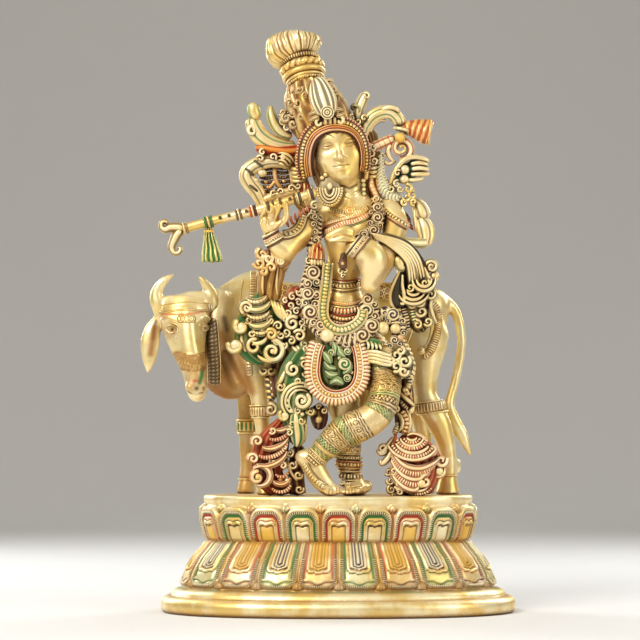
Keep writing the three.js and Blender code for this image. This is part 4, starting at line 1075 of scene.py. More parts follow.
    # long ornate strap round the haunch with its bell
    r, k = pearls(2.4, 1.3, 0.8, "amber")
    strap(parts, body, [(431, 303, 3.0, 1.2), (436.5, 309, 3.4, 1.2), (439, 320, 3.8, 1.3), (437.5, 332, 4.2, 1.3), (434, 343, 4.4, 1.4), (430, 351.5, 4.6, 1.4), (425.5, 355.5, 3.6, 1.3), (421.5, 355, 1.6, 1.1)], 4.0, 1.3, step=0.5, sides=18,
          relief=lambda S, T: 0.6 * smooth(-0.1, 0.5, np.cos(TAU * S / 2.1) * np.cos(3.2 * np.sin(T))) * (np.cos(T) > 0),
          colour=lambda S, T, h: over(bare(S.shape), "amber", 0.85 * (h < 0.2) * (np.cos(T) > 0)))
    strap(parts, body, [(427.5, 306), (431, 316), (431.5, 328), (429.5, 338), (426.5, 345), (423, 347)], 0.7, 1.0, step=1.0, sides=8, power=2)
    q, out = onto(body, 421.8, 350.8)
    ball(parts, q.reshape(3) + out.reshape(3) * 1.2, (3.3, 3.0, 3.6), tint("amber", 0.0), 16, 11)
    cuff_at = q.reshape(3) + out.reshape(3) * 1.4
    ring = [list(cuff_at + np.array([3.5 * math.cos(a), -0.3, 3.5 * math.sin(a) * 0.25])) + [0.5, 0.5] for a in np.linspace(0, TAU, 14, endpoint=False)]
    tube(parts, ring, step=0.8, sides=7, closed=True, colour=lambda S, T, h: over(bare(S.shape), "brown", 0.7))
    # collar: plain cord where the neck meets the chest
    strap(parts, body, [(243, 279.5), (240, 300), (240.5, 325), (244, 350), (250, 372)], 0.8, 1.0, step=1.0, sides=8, power=2)
    parts.piece("cow_straps", "cow_brass", "cow")


cow_solid = cow()
cow_face = cow_head()
cow_dress(cow_solid, cow_face)


# ------------------------------------------------------------------ the flute player's body
def body():
    b = Blob((-82, -88, 232), (74, 4, 384), 1.45)
    b.limb(line((351, 196, 26, 11, 11), (350.5, 206, 24, 18, 12), (351, 214, 24, 25, 14), (351, 224, 25, 28, 16), (350, 238, 26, 26, 17), (347.5, 256, 27, 20.5, 15.5), (344.5, 272, 28, 16, 13.8), (343.5, 283, 28, 15, 13.3), (344, 294, 28, 17, 14.5), (345, 305, 28, 20, 16.5), (346, 322, 27, 27, 19), (348, 345, 26, 33, 21)), 4, 3)
    b.ball(at(340, 230, 36), (10.5, 7.5, 9.5), 6)  # chest
    b.ball(at(362, 230, 36), (10.5, 7.5, 9.5), 6)
    b.ball(at(343, 297, 38), (10, 7, 11), 7)  # belly
    b.ball(at(341.7, 293, 48.5), (1.9, 3.2, 1.6), 1.2, cut=True)  # navel
    # right arm: upper arm, elbow, forearm
    b.limb(line((330, 210, 24, 9, 9), (320, 213, 22, 11, 10)), 5, 3)
    b.limb(line((314, 220, 24, 13, 11.5), (304, 231, 34, 13.5, 12), (292, 243, 44, 12, 11.5), (285, 251, 48, 10.5, 10.5)), 4, 3)
    b.limb(line((285, 252, 48, 10.5, 10.5), (279, 247, 51, 10, 9.5), (272.5, 238, 52, 8, 7.5), (270, 231, 52, 6.8, 6)), 3, 2)
    # left arm: the forearm folds back over the upper arm
    b.limb(line((372, 210, 24, 9, 9), (382, 210, 23, 11, 10)), 5, 3)
    b.limb(line((391, 213, 22, 13, 12), (395.5, 224, 28, 12.5, 12), (393, 238, 36, 11.5, 11.5), (385, 258, 46, 12, 12), (374, 277, 53, 10.5, 10.5), (369, 286, 54, 7.5, 8)), 4, 3)
    b.limb(line((370, 283, 55, 8, 8), (372, 270, 59, 12, 11), (371, 258, 62, 15.5, 12), (364, 250, 64, 12.5, 10.5), (354, 247, 66, 9, 8)), 4, 2.5)
    b.floor(233)
    v, f, n = b.skin()
    px, py = seen(v)
    front = smooth(0.0, 0.4, -n[:, 1])
    c = bare((len(v),), "amber", 0.0)
    # painted shade down the middle of the chest, in the navel, along the belly's side and where the arms meet the body
    c = over(c, "amber", 0.55 * front * np.clip(1.3 - near_line(px, py, [(352, 210), (351, 226), (346, 250), (342, 288)]) / 5.0, 0, 1))
    c = over(c, "brown", 0.75 * np.exp(-(((px - 341.7) / 1.8) ** 2 + ((py - 293) / 1.5) ** 2)) * front)
    c = over(c, "amber", 0.5 * front * smooth(7, 1, near_line(px, py, [(360, 262), (357, 275), (357, 300)])))
    c = over(c, "amber", 0.5 * front * smooth(6, 1, near_line(px, py, [(384, 236), (392, 252), (388, 268), (376, 284)])))
    c = over(c, "amber", 0.45 * front * smooth(6, 1, near_line(px, py, [(310, 238), (300, 252), (286, 262)])))
    parts = Parts()
    parts.add(v, f, c)
    parts.piece("player_body", "figure_brass", "flute_player")
    return b


FACE_TURN = math.radians(8.5)  # the head leans to one side
FACE_AT = np.array(at(338.4, 150, 28))


def face_point(x, y, z):
    """Head's own millimetres, x across, y forward, z up."""
    c, s = math.cos(FACE_TURN), math.sin(FACE_TURN)
    p = FACE_AT
    x, z = 1.12 * x, 0.94 * z
    return [p[0] + c * x - s * z, p[1] - y, p[2] + s * x + c * z]


def head():
    b = Blob(FACE_AT - [34, 34, 58], FACE_AT + [34, 30, 40], 0.95)
    P = face_point
    lean = -math.degrees(FACE_TURN)
    st = lambda *rows: [P(*r[:3]) + [r[3], r[4] if len(r) > 4 else r[3]] for r in rows]
    b.ball(P(0, -2, 7), (23.6, 22.5, 23.5), 3, lean)
    b.limb(st((0, 3, 9, 22.4, 18.7), (0, 5.5, -3, 21.8, 16.8), (0, 7.5, -13, 18.4, 14.6), (0, 9.5, -21, 12.8, 11.4), (0, 10.5, -24, 9.6, 9.4)), 4, 3)
    b.ball(P(0, 16.6, -25.6), (5.6, 4.4, 4.4), 4, lean)
    for s in (-1, 1):
        b.ball(P(s * 10.4, 13.6, -8.0), (6.4, 5.0, 6.8), 4.5, lean)
        b.ball(P(s * 9.0, 23.4, 1.2), (5.6, 3.4, 3.3), 3.2, lean, cut=True)
        b.ball(P(s * 8.8, 16.2, 0.9), (4.9, 4.3, 3.0), 0.9, lean)
    b.ball(P(0, 8.5, 14), (18.4, 12.0, 12.0), 5, lean)
    b.limb(st((0, 18.8, 5.5, 1.7, 2.0), (0, 21.2, -2.0, 1.9, 2.4), (0, 24.0, -8.6, 2.5, 2.8)), 1.8, 1.2)
    b.ball(P(0, 24.6, -10.0), (2.9, 2.7, 2.5), 1.2, lean)
    for s in (-1, 1):
        b.ball(P(s * 3.1, 21.8, -10.8), (1.9, 2.4, 1.8), 1.0, lean)
        b.ball(P(s * 1.6, 23.6, -12.9), (0.8, 1.3, 0.8), 0.5, lean, cut=True)
    b.limb(st((-6.6, 17.0, -16.6, 0.8, 1.2), (-3.2, 20.0, -15.9, 1.3, 1.6), (-1.0, 21.2, -15.6, 1.5, 1.7), (0, 21.0, -16.0, 1.4, 1.7), (1.0, 21.2, -15.6, 1.5, 1.7), (3.2, 20.0, -15.9, 1.3, 1.6), (6.6, 17.0, -16.6, 0.8, 1.2)), 0.9, 0.8)
    b.limb(st((-5.4, 17.2, -17.9, 0.8, 1.2), (-2.6, 19.8, -19.1, 1.6, 1.8), (0, 20.6, -19.4, 1.8, 2.0), (2.6, 19.8, -19.1, 1.6, 1.8), (5.4, 17.2, -17.9, 0.8, 1.2)), 1.0, 0.8)
    b.limb(st((-7.0, 18.6, -16.8, 0.35, 1.2), (-3.0, 21.9, -17.3, 0.4, 1.2), (0, 22.9, -17.5, 0.4, 1.2), (3.0, 21.9, -17.3, 0.4, 1.2), (7.0, 18.6, -16.8, 0.35, 1.2)), 0.5, 0.7, cut=True)
    b.limb(line((347, 176, 26, 12, 12), (350, 190, 25, 11.6, 11.8), (351.5, 200, 24.5, 12.4, 12), (352, 209, 24, 15, 13)), 5, 3)
    v, f, n = b.skin()
    px, py = seen(v)
    front = smooth(0.0, 0.4, -n[:, 1])
    # three folds round the neck, cut in and darkened with painted shade
    fold = 0
    for x0, y0, x1, y1 in ((341, 188, 358, 186.5), (341, 194.5, 360, 193), (341, 200.5, 361, 199.5)):
        curve = [(x0, y0 - 2.0), (0.5 * (x0 + x1), y0 + 0.6), (x1, y1 - 2.4)]
        fold = np.maximum(fold, np.exp(-((near_line(px, py, curve) / 0.9) ** 2)))
    v = v - n * (1.4 * fold * front)[:, None]
    c = bare((len(v),), "amber", 0.0)
    c = over(c, "brown", 0.75 * fold * front)
    w = np.linalg.solve(np.array([P(1, 0, 0), P(0, 1, 0), P(0, 0, 1)]).T - FACE_AT[:, None], (v - FACE_AT).T).T
    x, z = np.abs(w[:, 0]), w[:, 2]
    ahead = w[:, 1] > 8
    # painted shade in the eye hollows, under the nose and the lower lip, along the mouth, beside the nostrils and round
    # the sides of the face
    c = over(c, "amber", 0.45 * ahead * np.exp(-(((x - 9) / 6.5) ** 2 + ((z - 1.0) / 4.5) ** 2)))
    c = over(c, "amber", 0.45 * ahead * np.exp(-((x / 4.5) ** 2 + ((z + 14.0) / 1.6) ** 2)))
    c = over(c, "amber", 0.5 * ahead * np.exp(-((x / 5.0) ** 2 + ((z + 22.2) / 1.3) ** 2)))
    c = over(c, "brown", 0.75 * ahead * np.exp(-(((z + 17.3 - 0.012 * x * x) / 0.5) ** 2)) * (x < 7))
    c = over(c, "amber", 0.5 * ahead * np.exp(-(((x - 5.2) / 1.0) ** 2 + ((z + 11) / 2.0) ** 2)))
    c = over(c, "amber", 0.55 * smooth(16, 21, x) * (w[:, 1] > -8))
    parts = Parts()
    parts.add(v, f, c)

    def on(points):
        q = [seen(np.array(P(a, 40.0, h))) for a, h in points]
        return [(float(a), float(h)) for a, h in q]

    def trace(points, half, thick, paint, amount, lift=0.0, sides=8):
        rows, _ = through([[a, h, 0.0] for a, h in points], 0.5)
        q, out = onto(b, *np.array(on(rows[:, :2])).T, near=70, far=10)
        s = np.linspace(0, 1, len(q))
        taper = 0.35 + 0.65 * np.sin(np.pi * np.clip(s, 0.02, 0.98))
        tube(parts, hugging(q, out, half * taper, thick * taper, lift), step=0.4, sides=sides, colour=lambda S, T, h: over(bare(S.shape), paint, amount), ends=(0.5, 0.5))

    for s in (-1, 1):
        trace([(s * 3.9, 0.2), (s * 6.2, 3.3), (s * 9.2, 4.2), (s * 12.2, 2.9), (s * 14.6, 0.6)], 0.66, 0.75, "brown", 0.45)
        trace([(s * 4.1, -0.1), (s * 7.0, -1.9), (s * 9.8, -2.1), (s * 12.4, -1.0), (s * 14.2, 0.4)], 0.50, 0.6, "brown", 0.35)
        trace([(s * 4.6, 1.0), (s * 7.0, 0.6), (s * 9.2, 0.3), (s * 11.6, 0.6), (s * 13.4, 0.7)], 0.42, 0.55, "brown", 0.85)  # lowered lids
        trace([(s * 5.0, 5.6), (s * 8.8, 6.6), (s * 13.4, 4.2)], 0.3, 0.35, "amber", 0.35)
        trace([(s * 2.6, 7.4), (s * 5.2, 10.2), (s * 9.4, 11.4), (s * 13.4, 9.8), (s * 17.0, 5.6)], 0.7, 0.65, "brown", 0.55)
    trace([(-1.8, 20.5), (-1.7, 15.0), (-0.9, 11.6), (0.0, 10.6), (0.9, 11.6), (1.7, 15.0), (1.8, 20.5)], 0.42, 0.45, "amber", 0.7)
    ball(parts, onto(b, *on([(0, 14.4)])[0], near=70, far=10)[0].reshape(3), (0.8, 0.5, 1.5), tint("amber", 0.5), 8, 7)
    parts.piece("player_head", "figure_brass", "flute_player")
    return b


def hands():
    b = Blob((-78, -82, 326), (26, -40, 384), 0.85)
    # right hand over the flute
    b.limb(line((270, 233, 52, 6.6, 6), (270, 226, 54, 8.2, 6.4), (271, 220, 55, 8.6, 6.4), (272, 216, 55, 7.6, 5.5)), 2, 2)
    b.limb(line((274, 226, 59, 3.4, 3.4), (280, 224, 62, 3.6, 3.4), (285.5, 218, 63, 3.4, 3.2), (286, 210, 64, 3.2, 3.0), (285, 203.5, 65, 3.0, 2.8)), 1.2, 1.5)
    b.limb(line((268, 216, 56, 3.6, 3.4), (270, 211, 60, 3.4, 3.2), (272.5, 206.5, 63, 3.1, 2.8)), 1.2, 1.5)
    b.limb(line((275, 217, 57, 3.4, 3.4), (277.5, 211.5, 61, 3.3, 3.2), (279, 206, 63.5, 3.0, 2.8)), 1.2, 1.5)
    b.limb(line((262.5, 219, 55, 3.2, 3.2), (262.5, 214, 59, 3.1, 3.0), (265, 210, 62, 2.8, 2.6)), 1.2, 1.5)
    b.limb(line((266, 230, 58, 3.6, 3.4), (263.5, 224.5, 60.5, 3.4, 3.2), (264.5, 219.5, 62, 2.9, 2.8)), 1.2, 1.5)
    # left hand, its fingers laid together towards the middle
    b.limb(line((354, 249, 66, 8.6, 7.6), (349, 243, 68, 8.8, 7), (343.5, 239, 69, 8.4, 6.4)), 2, 2)
    b.limb(line((350, 232, 68, 5.0, 4.4), (344, 230.5, 70, 4.8, 4.2), (336, 233, 70.5, 4.4, 3.8), (328.5, 237, 70, 3.5, 3.2)), 1.4, 1.5)
    b.limb(line((345, 238, 70, 4.2, 4.0), (338, 240, 71, 3.8, 3.6), (331, 242.5, 70.5, 3.1, 3.0)), 1.2, 1.5)
    b.limb(line((345, 244, 69, 3.9, 3.8), (338, 246, 70, 3.5, 3.4), (333, 248, 69, 2.9, 2.8)), 1.2, 1.5)
    v, f, n = b.skin()
    px, py = seen(v)
    front = smooth(0.0, 0.4, -n[:, 1])
    c = bare((len(v),), "amber", 0.0)
    # painted shade in the lines between the fingers
    for path in ([(351, 236.5), (344, 234.5), (334, 237.5)], [(349, 241.5), (340, 243), (334, 245)], [(273.5, 218), (275, 211)], [(267, 218), (266.5, 212)], [(277, 228), (282, 221.5), (281.5, 210)]):
        c = over(c, "amber", 0.75 * front * np.exp(-((near_line(px, py, path) / 1.2) ** 2)))
    for x, y, r in ((328.5, 236.5, 1.6), (285.2, 203.5, 1.5)):
        c = over(c, "amber", 0.5 * front * np.exp(-(((np.hypot(px - x, py - y) - r) / 0.4) ** 2)))
    parts = Parts()
    parts.add(v, f, c)
    parts.piece("player_hands", "figure_brass", "flute_player")
    return b


def feet():
    b = Blob((-48, -66, 102.4), (38, 4, 160), 0.9)
    # the standing foot points forwards
    b.limb(line((350, 462, 24, 8.6, 8.6), (352, 472, 24, 8.4, 8.4), (354, 481, 25, 9, 9.5), (356, 490, 26, 9.2, 10)), 3, 2)
    top = lambda x, y, d, a, b_: at(x, y, d) + [wide(a, d), wide(b_, d)]
    for a in ((366, 486, 10, 6.5), (362, 487.5, 20, 8.5), (357, 488, 30, 8.6), (352.5, 489.5, 38, 8.8), (350, 491, 45, 8.6)):
        b.ball(at(*a[:3]), (wide(a[3], a[2]), 8, wide(6.0, a[2])), 4)
    for x, y, d, r in ((343.8, 492.3, 53, 2.5), (347.2, 492.6, 55.5, 2.4), (350.3, 492.4, 55.5, 2.3), (353.4, 491.8, 54, 2.2), (357, 491.2, 52.5, 3.1)):
        b.limb(line((x, y - 1.2, d - 8, r, r), (x, y, d, r, r * 0.9)), 1.0, 1.5)
    # the crossed foot stands on its toes
    b.limb(line((309, 459, 47, 10.8, 9.6), (313, 466, 48, 11.2, 9.4), (319, 477, 50, 10.3, 8.2), (326, 486, 51, 8.6, 6.2), (331, 490, 52, 6.4, 4.6)), 3, 2)
    b.ball(at(301.5, 457, 46), (5.6, 6.2, 5.2), 4)
    for x, y, d, r in ((327, 493.0, 54, 2.6), (331, 493.6, 55, 2.4), (334.6, 493.4, 55, 2.3), (338, 492.6, 54, 2.1), (341, 491.4, 53, 1.9)):
        b.limb(line((x - 3.4, y - 5.0, d - 3, r, r), (x, y, d, r, r * 0.9)), 1.0, 1.5)
    b.floor(104.3)
    v, f, n = b.skin()
    px, py = seen(v)
    front = smooth(0.0, 0.4, -n[:, 1])
    c = bare((len(v),), "amber", 0.0)
    # painted shade between the toes
    for x, y in ((345.5, 491), (348.8, 491.2), (351.9, 491), (355.0, 490.4), (329, 491.5), (332.8, 491.8), (336.3, 491.4), (339.5, 490.4)):
        c = over(c, "amber", 0.8 * front * np.exp(-(((px - x) / 0.6) ** 2)) * (np.abs(py - y) < 3.5))
    parts = Parts()
    parts.add(v, f, c)
    parts.piece("player_feet", "figure_brass", "flute_player")
    return b


body_solid = body()
head_solid = head()
hand_solid = hands()
foot_solid = feet()


# ------------------------------------------------------------------ scrolls, leaves, rosettes, beads
def lobes(count, depth):
    """Ridges that run along a tube on its front half."""
    return lambda S, T: depth * (0.5 + 0.5 * np.cos(count * T)) * smooth(-0.3, 0.3, np.cos(T))


# cream on the crests beside each paint: partly the ribs' own pale colour, partly painted highlight
CREST_CREAM_AND_HIGHLIGHT = {"red": 0.60, "vermilion": 0.50, "maroon": 0.40, "black": 0.34, "green": 0.30}  # how pale the crests beside a paint are


def grooved(paint, amount=0.9, count=5, depth=0.9, second=None, ticks=0.0):
    """Relief and colour of a scroll with bright ridges, cream on them partly as painted highlight, and painted grooves
    between them.
    """

    def relief(S, T):
        h = depth * smooth(0.30, 0.62, 0.5 + 0.5 * np.cos(count * T)) * smooth(-0.35, 0.2, np.cos(T))
        if ticks:
            h = h * (1 - 0.45 * smooth(0.75, 0.9, np.cos(TAU * S / ticks)))
        return h

    def colour(S, T, h):
        low = 1 - smooth(0.18, 0.55, h / depth)
        c = over(bare(S.shape), "amber", 0.35 * low)
        c = over(c, paint, amount * low * smooth(-0.9, -0.1, np.cos(T)))
        if second:
            c = over(c, second, 0.5 * low * smooth(0.3, 0.9, np.sin(S * 0.55)))
        # cream on the crests, partly painted highlight
        c = over(c, "cream", CREST_CREAM_AND_HIGHLIGHT.get(paint, 0.1) * smooth(0.55, 0.95, h / depth))
        if ticks:
            c = over(c, paint, amount * 0.6 * smooth(0.8, 0.95, np.cos(TAU * S / ticks)) * (h > 0.2 * depth))
        return c

    relief.long = not ticks
    return relief, colour


def ticked(paint, pitch, amount=0.9, depth=0.8, base=None, edge=0.75):
    """Cross ribs along a band with plain raised edges."""

    def relief(S, T):
        g = np.abs(np.sin(T))
        mid = (g < edge) & (np.cos(T) > 0)
        return np.where(mid, depth * smooth(-0.3, 0.45, np.cos(TAU * S / pitch)) - 0.2, 0.35 * (g < 0.98) * (np.cos(T) > 0))

    def colour(S, T, h):
        g = np.abs(np.sin(T))
        mid = (g < edge) & (np.cos(T) > 0)
        c = bare(S.shape)
        if base:
            c = over(c, base, 0.8 * mid)
        # cream on the raised ribs, partly painted highlight
        c = over(c, "cream", CREST_CREAM_AND_HIGHLIGHT.get(paint, 0.1) * (np.cos(T) > 0) * smooth(0.3 * depth, 0.8 * depth, h))
        return over(c, paint, amount * mid * (1 - smooth(0.0, 0.5 * depth, h)))

    return relief, colour


def pearled(paint, pitch, amount=0.95, depth=1.1, across=2.2, edge=0.66):
    """A row of round beads in a painted channel between two raised cords."""

    def relief(S, T):
        g = np.sin(T)
        f = 2 * frac(S / pitch) - 1
        bead = np.sqrt(np.clip(1 - (f * 1.12) ** 2 - (g * across) ** 2, 0, 1))
        cord = np.exp(-(((np.abs(g) - 0.80) / 0.12) ** 2))
        return (depth * np.maximum(bead, 0.75 * cord)) * (np.cos(T) > 0)

    def colour(S, T, h):
        return over(bare(S.shape), paint, amount * (np.cos(T) > 0.15) * (1 - smooth(0.12, 0.45, h / depth)))

    return relief, colour


def ruffled(paint, pitch, amount=0.9, depth=1.0, second=None):
    """Pleats across a band, paint between them."""

    def relief(S, T):
        return depth * np.sqrt(np.clip(0.5 + 0.5 * np.cos(TAU * S / pitch), 0, 1)) * smooth(-0.1, 0.3, np.cos(T))

    def colour(S, T, h):
        c = over(bare(S.shape), paint, amount * (1 - smooth(0.25, 0.62, h / depth)) * (np.cos(T) > -0.1))
        return over(c, second, 0.5 * smooth(0.6, 0.9, h / depth)) if second else c

    return relief, colour


def plain(paint="amber", amount=0.0):
    return None, lambda S, T, h: over(bare(S.shape), paint, amount * np.ones(S.shape))


def scroll(parts, px, py, d, radius, turns, start, hand, a, b, style, step=0.8, sides=16, rise=3.0, core=0.16, eye=None, squash=1.0, lean=0.0):
    """A spiral of a tapering tube. radius and a, b are in view units, start in degrees (0 right,
    90 up) is where its outer end lies; hand +1 winds anticlockwise inwards."""
    n = max(10, int(turns * 16))
    t = np.linspace(0, 1, n)
    ang = math.radians(start) + hand * t * turns * TAU
    r = radius * (1 - t * (1 - core))
    x, y = r * np.cos(ang), r * np.sin(ang) * squash
    q = math.radians(lean)
    x, y = x * math.cos(q) - y * math.sin(q), x * math.sin(q) + y * math.cos(q)
    rows = [at(px + x[i], py - y[i], d + rise * t[i]) + [wide(a * (1 - 0.45 * t[i]), d), wide(b * (1 - 0.35 * t[i]), d)] for i in range(n)]
    relief, colour = style
    tube(parts, rows, step=step, sides=sides, relief=relief, colour=colour, ends=(0.8, 0.8))
    if eye:
        ball(parts, at(px, py, d + rise + 0.4 * b), (wide(eye, d), wide(eye * 0.8, d), wide(eye, d)), tint("amber", 0.0), 12, 8)


def sweep(parts, rows, style, step=0.8, sides=16, ends=(1, 1), power=2.0, closed=False, even=False):
    relief, colour = style
    tube(parts, line(*rows), step=step, sides=sides, relief=relief, colour=colour, ends=ends, power=power, closed=closed, even=even)


def crescent(parts, px, py, d, radius, a0, a1, a, b, style, step=0.8, sides=14, squash=1.0, lean=0.0, rise=2.0, taper=0.25):
    """Part of a ring that swells in the middle."""
    n = 12
    t = np.linspace(0, 1, n)
    ang = np.radians(a0 + (a1 - a0) * t)
    x, y = radius * np.cos(ang), radius * squash * np.sin(ang)
    q = math.radians(lean)
    x, y = x * math.cos(q) - y * math.sin(q), x * math.sin(q) + y * math.cos(q)
    k = taper + (1 - taper) * np.sin(np.pi * t)
    rows = [at(px + x[i], py - y[i], d + rise * math.sin(math.pi * t[i])) + [wide(a * k[i], d), wide(b * (0.5 + 0.5 * k[i]), d)] for i in range(n)]
    relief, colour = style
    tube(parts, rows, step=step, sides=sides, relief=relief, colour=colour)


def rosette(parts, place, out, radius, paint, turns=1.7, hand=1, start=0.0, high=None, ridge=0.85, amount=0.95, rings=9, spokes=24, up=(0, 0, 1)):
    """A round flower of a garland: a dome with a raised spiral on it. Millimetres."""
    out = unit(np.asarray(out, float))
    u = unit(np.cross(np.asarray(up, float), out))
    w = np.cross(out, u)
    high = radius * 0.55 if high is None else high
    r = np.linspace(0, 1, rings)[1:]
    t = np.linspace(0, TAU, spokes, endpoint=False)
    R, T = np.meshgrid(r, t, indexing="ij")
    wave = frac(turns * R - hand * (T + start) / TAU)
    rib = smooth(0.18, 0.42, 0.5 - np.abs(wave - 0.5)) * smooth(0.02, 0.15, R)
    rim = smooth(0.80, 0.9, R)
    rib = np.maximum(rib * (R < 0.93), rim)
    h = high * np.sqrt(np.clip(1 - 0.75 * R**2, 0, 1)) + ridge * rib
    h[-1] = h[-1] * 0.3
    place = np.asarray(place, float)
    top = place + (u * (R * np.cos(T))[..., None] + w * (R * np.sin(T))[..., None]) * radius + out * h[..., None]
    c = over(bare(R.shape), paint, amount * (1 - rib))
    c = over(c, "cream", 0.50 * rib)
    base = place + (u * np.cos(t)[:, None] + w * np.sin(t)[:, None]) * radius * 0.9 - out * high * 0.8
    pts = np.concatenate([top, base[None]])
    cols = np.concatenate([c, over(bare((1, spokes)), paint, 0.5)])
    tip = place + out * (high + ridge)
    n = rings * spokes
    v = np.concatenate([pts.reshape(-1, 3), tip[None], (place - out * high * 0.8)[None]])
    q = grid(rings, spokes)
    f = np.concatenate([q[:, [0, 1, 2]], q[:, [0, 2, 3]]])
    j = np.arange(spokes)
    k = (j + 1) % spokes
    f = np.concatenate([f, np.stack([k, j, np.full(spokes, n)], -1), np.stack([j + n - spokes, k + n - spokes, np.full(spokes, n + 1)], -1)])
    parts.add(v, f, np.concatenate([cols.reshape(-1, 4), tint("cream", 0.25)[None], tint(paint, 0.5)[None]]))


def garland(parts, rows, pitch, paint, size=1.0, second="brown", wobble=0.35, turns=1.7):
    """A thick strand set with spiral flowers, small leaves between them. rows as for line()."""
    stations = line(*rows)
    relief = lambda S, T: 0.7 * np.cos(TAU * S / 3.4 + 2 * np.sin(T)) * (np.cos(T) > -0.3)
    # cream on the strand's crests is painted highlight
    colour = lambda S, T, h: over(over(bare(S.shape), paint, 0.9 * (h < 0.15)), "cream", 0.3 * (h > 0.4))
    tube(parts, [p[:3] + [p[3] * 0.8, p[4] * 0.7] for p in stations], step=1.1, sides=12, relief=relief, colour=colour)
    rows_, s = through(stations, 0.8)
    along = unit(np.gradient(rows_[:, :3], axis=0))
    n = max(2, int(s[-1] / pitch))
    for i in range(n):
        at_ = (i + 0.5) * s[-1] / n
        k = int(np.argmin(np.abs(s - at_)))
        c, a, b = rows_[k, :3], rows_[k, 3], rows_[k, 4]
        side = unit(np.cross(along[k], [0, 1, 0]))
        lean = wobble * (1 if i % 2 else -1)
        out = unit(np.array([0, -1.0, 0.12]) + side * lean)
        place = c + np.array([0, -b * 0.75, 0]) + side * a * 0.28 * (1 if i % 2 else -1)
        rosette(parts, place, out, a * size * (0.92 if i % 2 else 1.04), paint, turns=turns, hand=1 if i % 2 else -1, start=i * 2.4)
        # a pair of leaf tips in the gap beside it
        for sgn in (-1, 1):
            tip = c + along[k] * (0.5 * s[-1] / n) + side * a * 0.75 * sgn + np.array([0, -b * 0.5, 0])
            ball(parts, tip, (a * 0.34, b * 0.45, a * 0.34), tint("cream", 0.35), 8, 6)


def bead_row(parts, points, radius, colour, wide_=8, high=6):
    for p in points:
        ball(parts, p, (radius, radius, radius), colour, wide_, high)


def leaf(parts, rows, style, curl=None, **how):
    """A pointed leaf as one swept limb, with an optional curled tip."""
    sweep(parts, rows, style, ends=(1.2, 1.6), **how)
    if curl:
        scroll(parts, *curl[:-1], style, **curl[-1])


# ------------------------------------------------------------------ crown, hair band and what surrounds the head
CROWN_LEAN = math.radians(12.5)
CROWN_AXIS = np.array([-math.sin(CROWN_LEAN), 0.0, math.cos(CROWN_LEAN)])
CROWN_SIDE = np.array([math.cos(CROWN_LEAN), 0.0, math.sin(CROWN_LEAN)])


def hoop(parts, px, py, d, radius, half, thick, style, deep=0.92, step=0.8, sides=12, axis=CROWN_AXIS, side=CROWN_SIDE, power=2.0, tip=0.0):
    """A ring round a leaning axis; tip raises its near side, in degrees."""
    c = np.array(at(px, py, d))
    t = np.linspace(0, TAU, 40, endpoint=False)
    a = math.radians(tip)
    near = unit(np.array([0, -math.cos(a), 0]) + np.asarray(axis, float) * math.sin(a))
    out = side * np.sin(t)[:, None] + near * np.cos(t)[:, None]
    r = wide(radius, d)
    p = c + side * (np.sin(t) * r)[:, None] + near * (np.cos(t) * r * deep)[:, None]
    rows = np.concatenate([p, np.full((40, 1), wide(half, d)), np.full((40, 1), wide(thick, d)), -out], 1)
    relief, colour = style
    tube(parts, rows, step=step, sides=sides, relief=relief, colour=colour, closed=True, power=power)


def disc(parts, place, out, ru, rw, height, colour, rings=20, spokes=44, up=(0, 0, 1), outline=None):
    """A raised medallion. height(R, T) is in mm, R from 0 to 1; colour(R, T, h) gives rgba."""
    out = unit(np.asarray(out, float))
    u = unit(np.cross(np.asarray(up, float), out))
    w = np.cross(out, u)
    R, T = np.meshgrid(np.linspace(0, 1, rings)[1:], np.linspace(0, TAU, spokes, endpoint=False), indexing="ij")
    k = outline(T) if outline else 1.0
    h = height(R, T)
    place = np.asarray(place, float)
    top = place + u * (R * k * np.cos(T) * ru)[..., None] + w * (R * k * np.sin(T) * rw)[..., None] + out * h[..., None]
    base = top[-1] - out * (h[-1][:, None] + 2.0)
    c = colour(R, T, h)
    pts = np.concatenate([top, base[None]])
    cols = np.concatenate([c, c[-1:]])
    n = (rings) * spokes
    v = np.concatenate([pts.reshape(-1, 3), (place + out * height(np.zeros((1, 1)), np.zeros((1, 1)))[0, 0])[None], (place - out * 2.0)[None]])
    q = grid(rings, spokes)
    f = np.concatenate([q[:, [0, 1, 2]], q[:, [0, 2, 3]]])
    j = np.arange(spokes)
    m = (j + 1) % spokes
    f = np.concatenate([f, np.stack([m, j, np.full(spokes, n)], -1), np.stack([j + n - spokes, m + n - spokes, np.full(spokes, n + 1)], -1)])
    parts.add(v, f, np.concatenate([cols.reshape(-1, 4), c[0].mean(0)[None], c[-1].mean(0)[None]]))


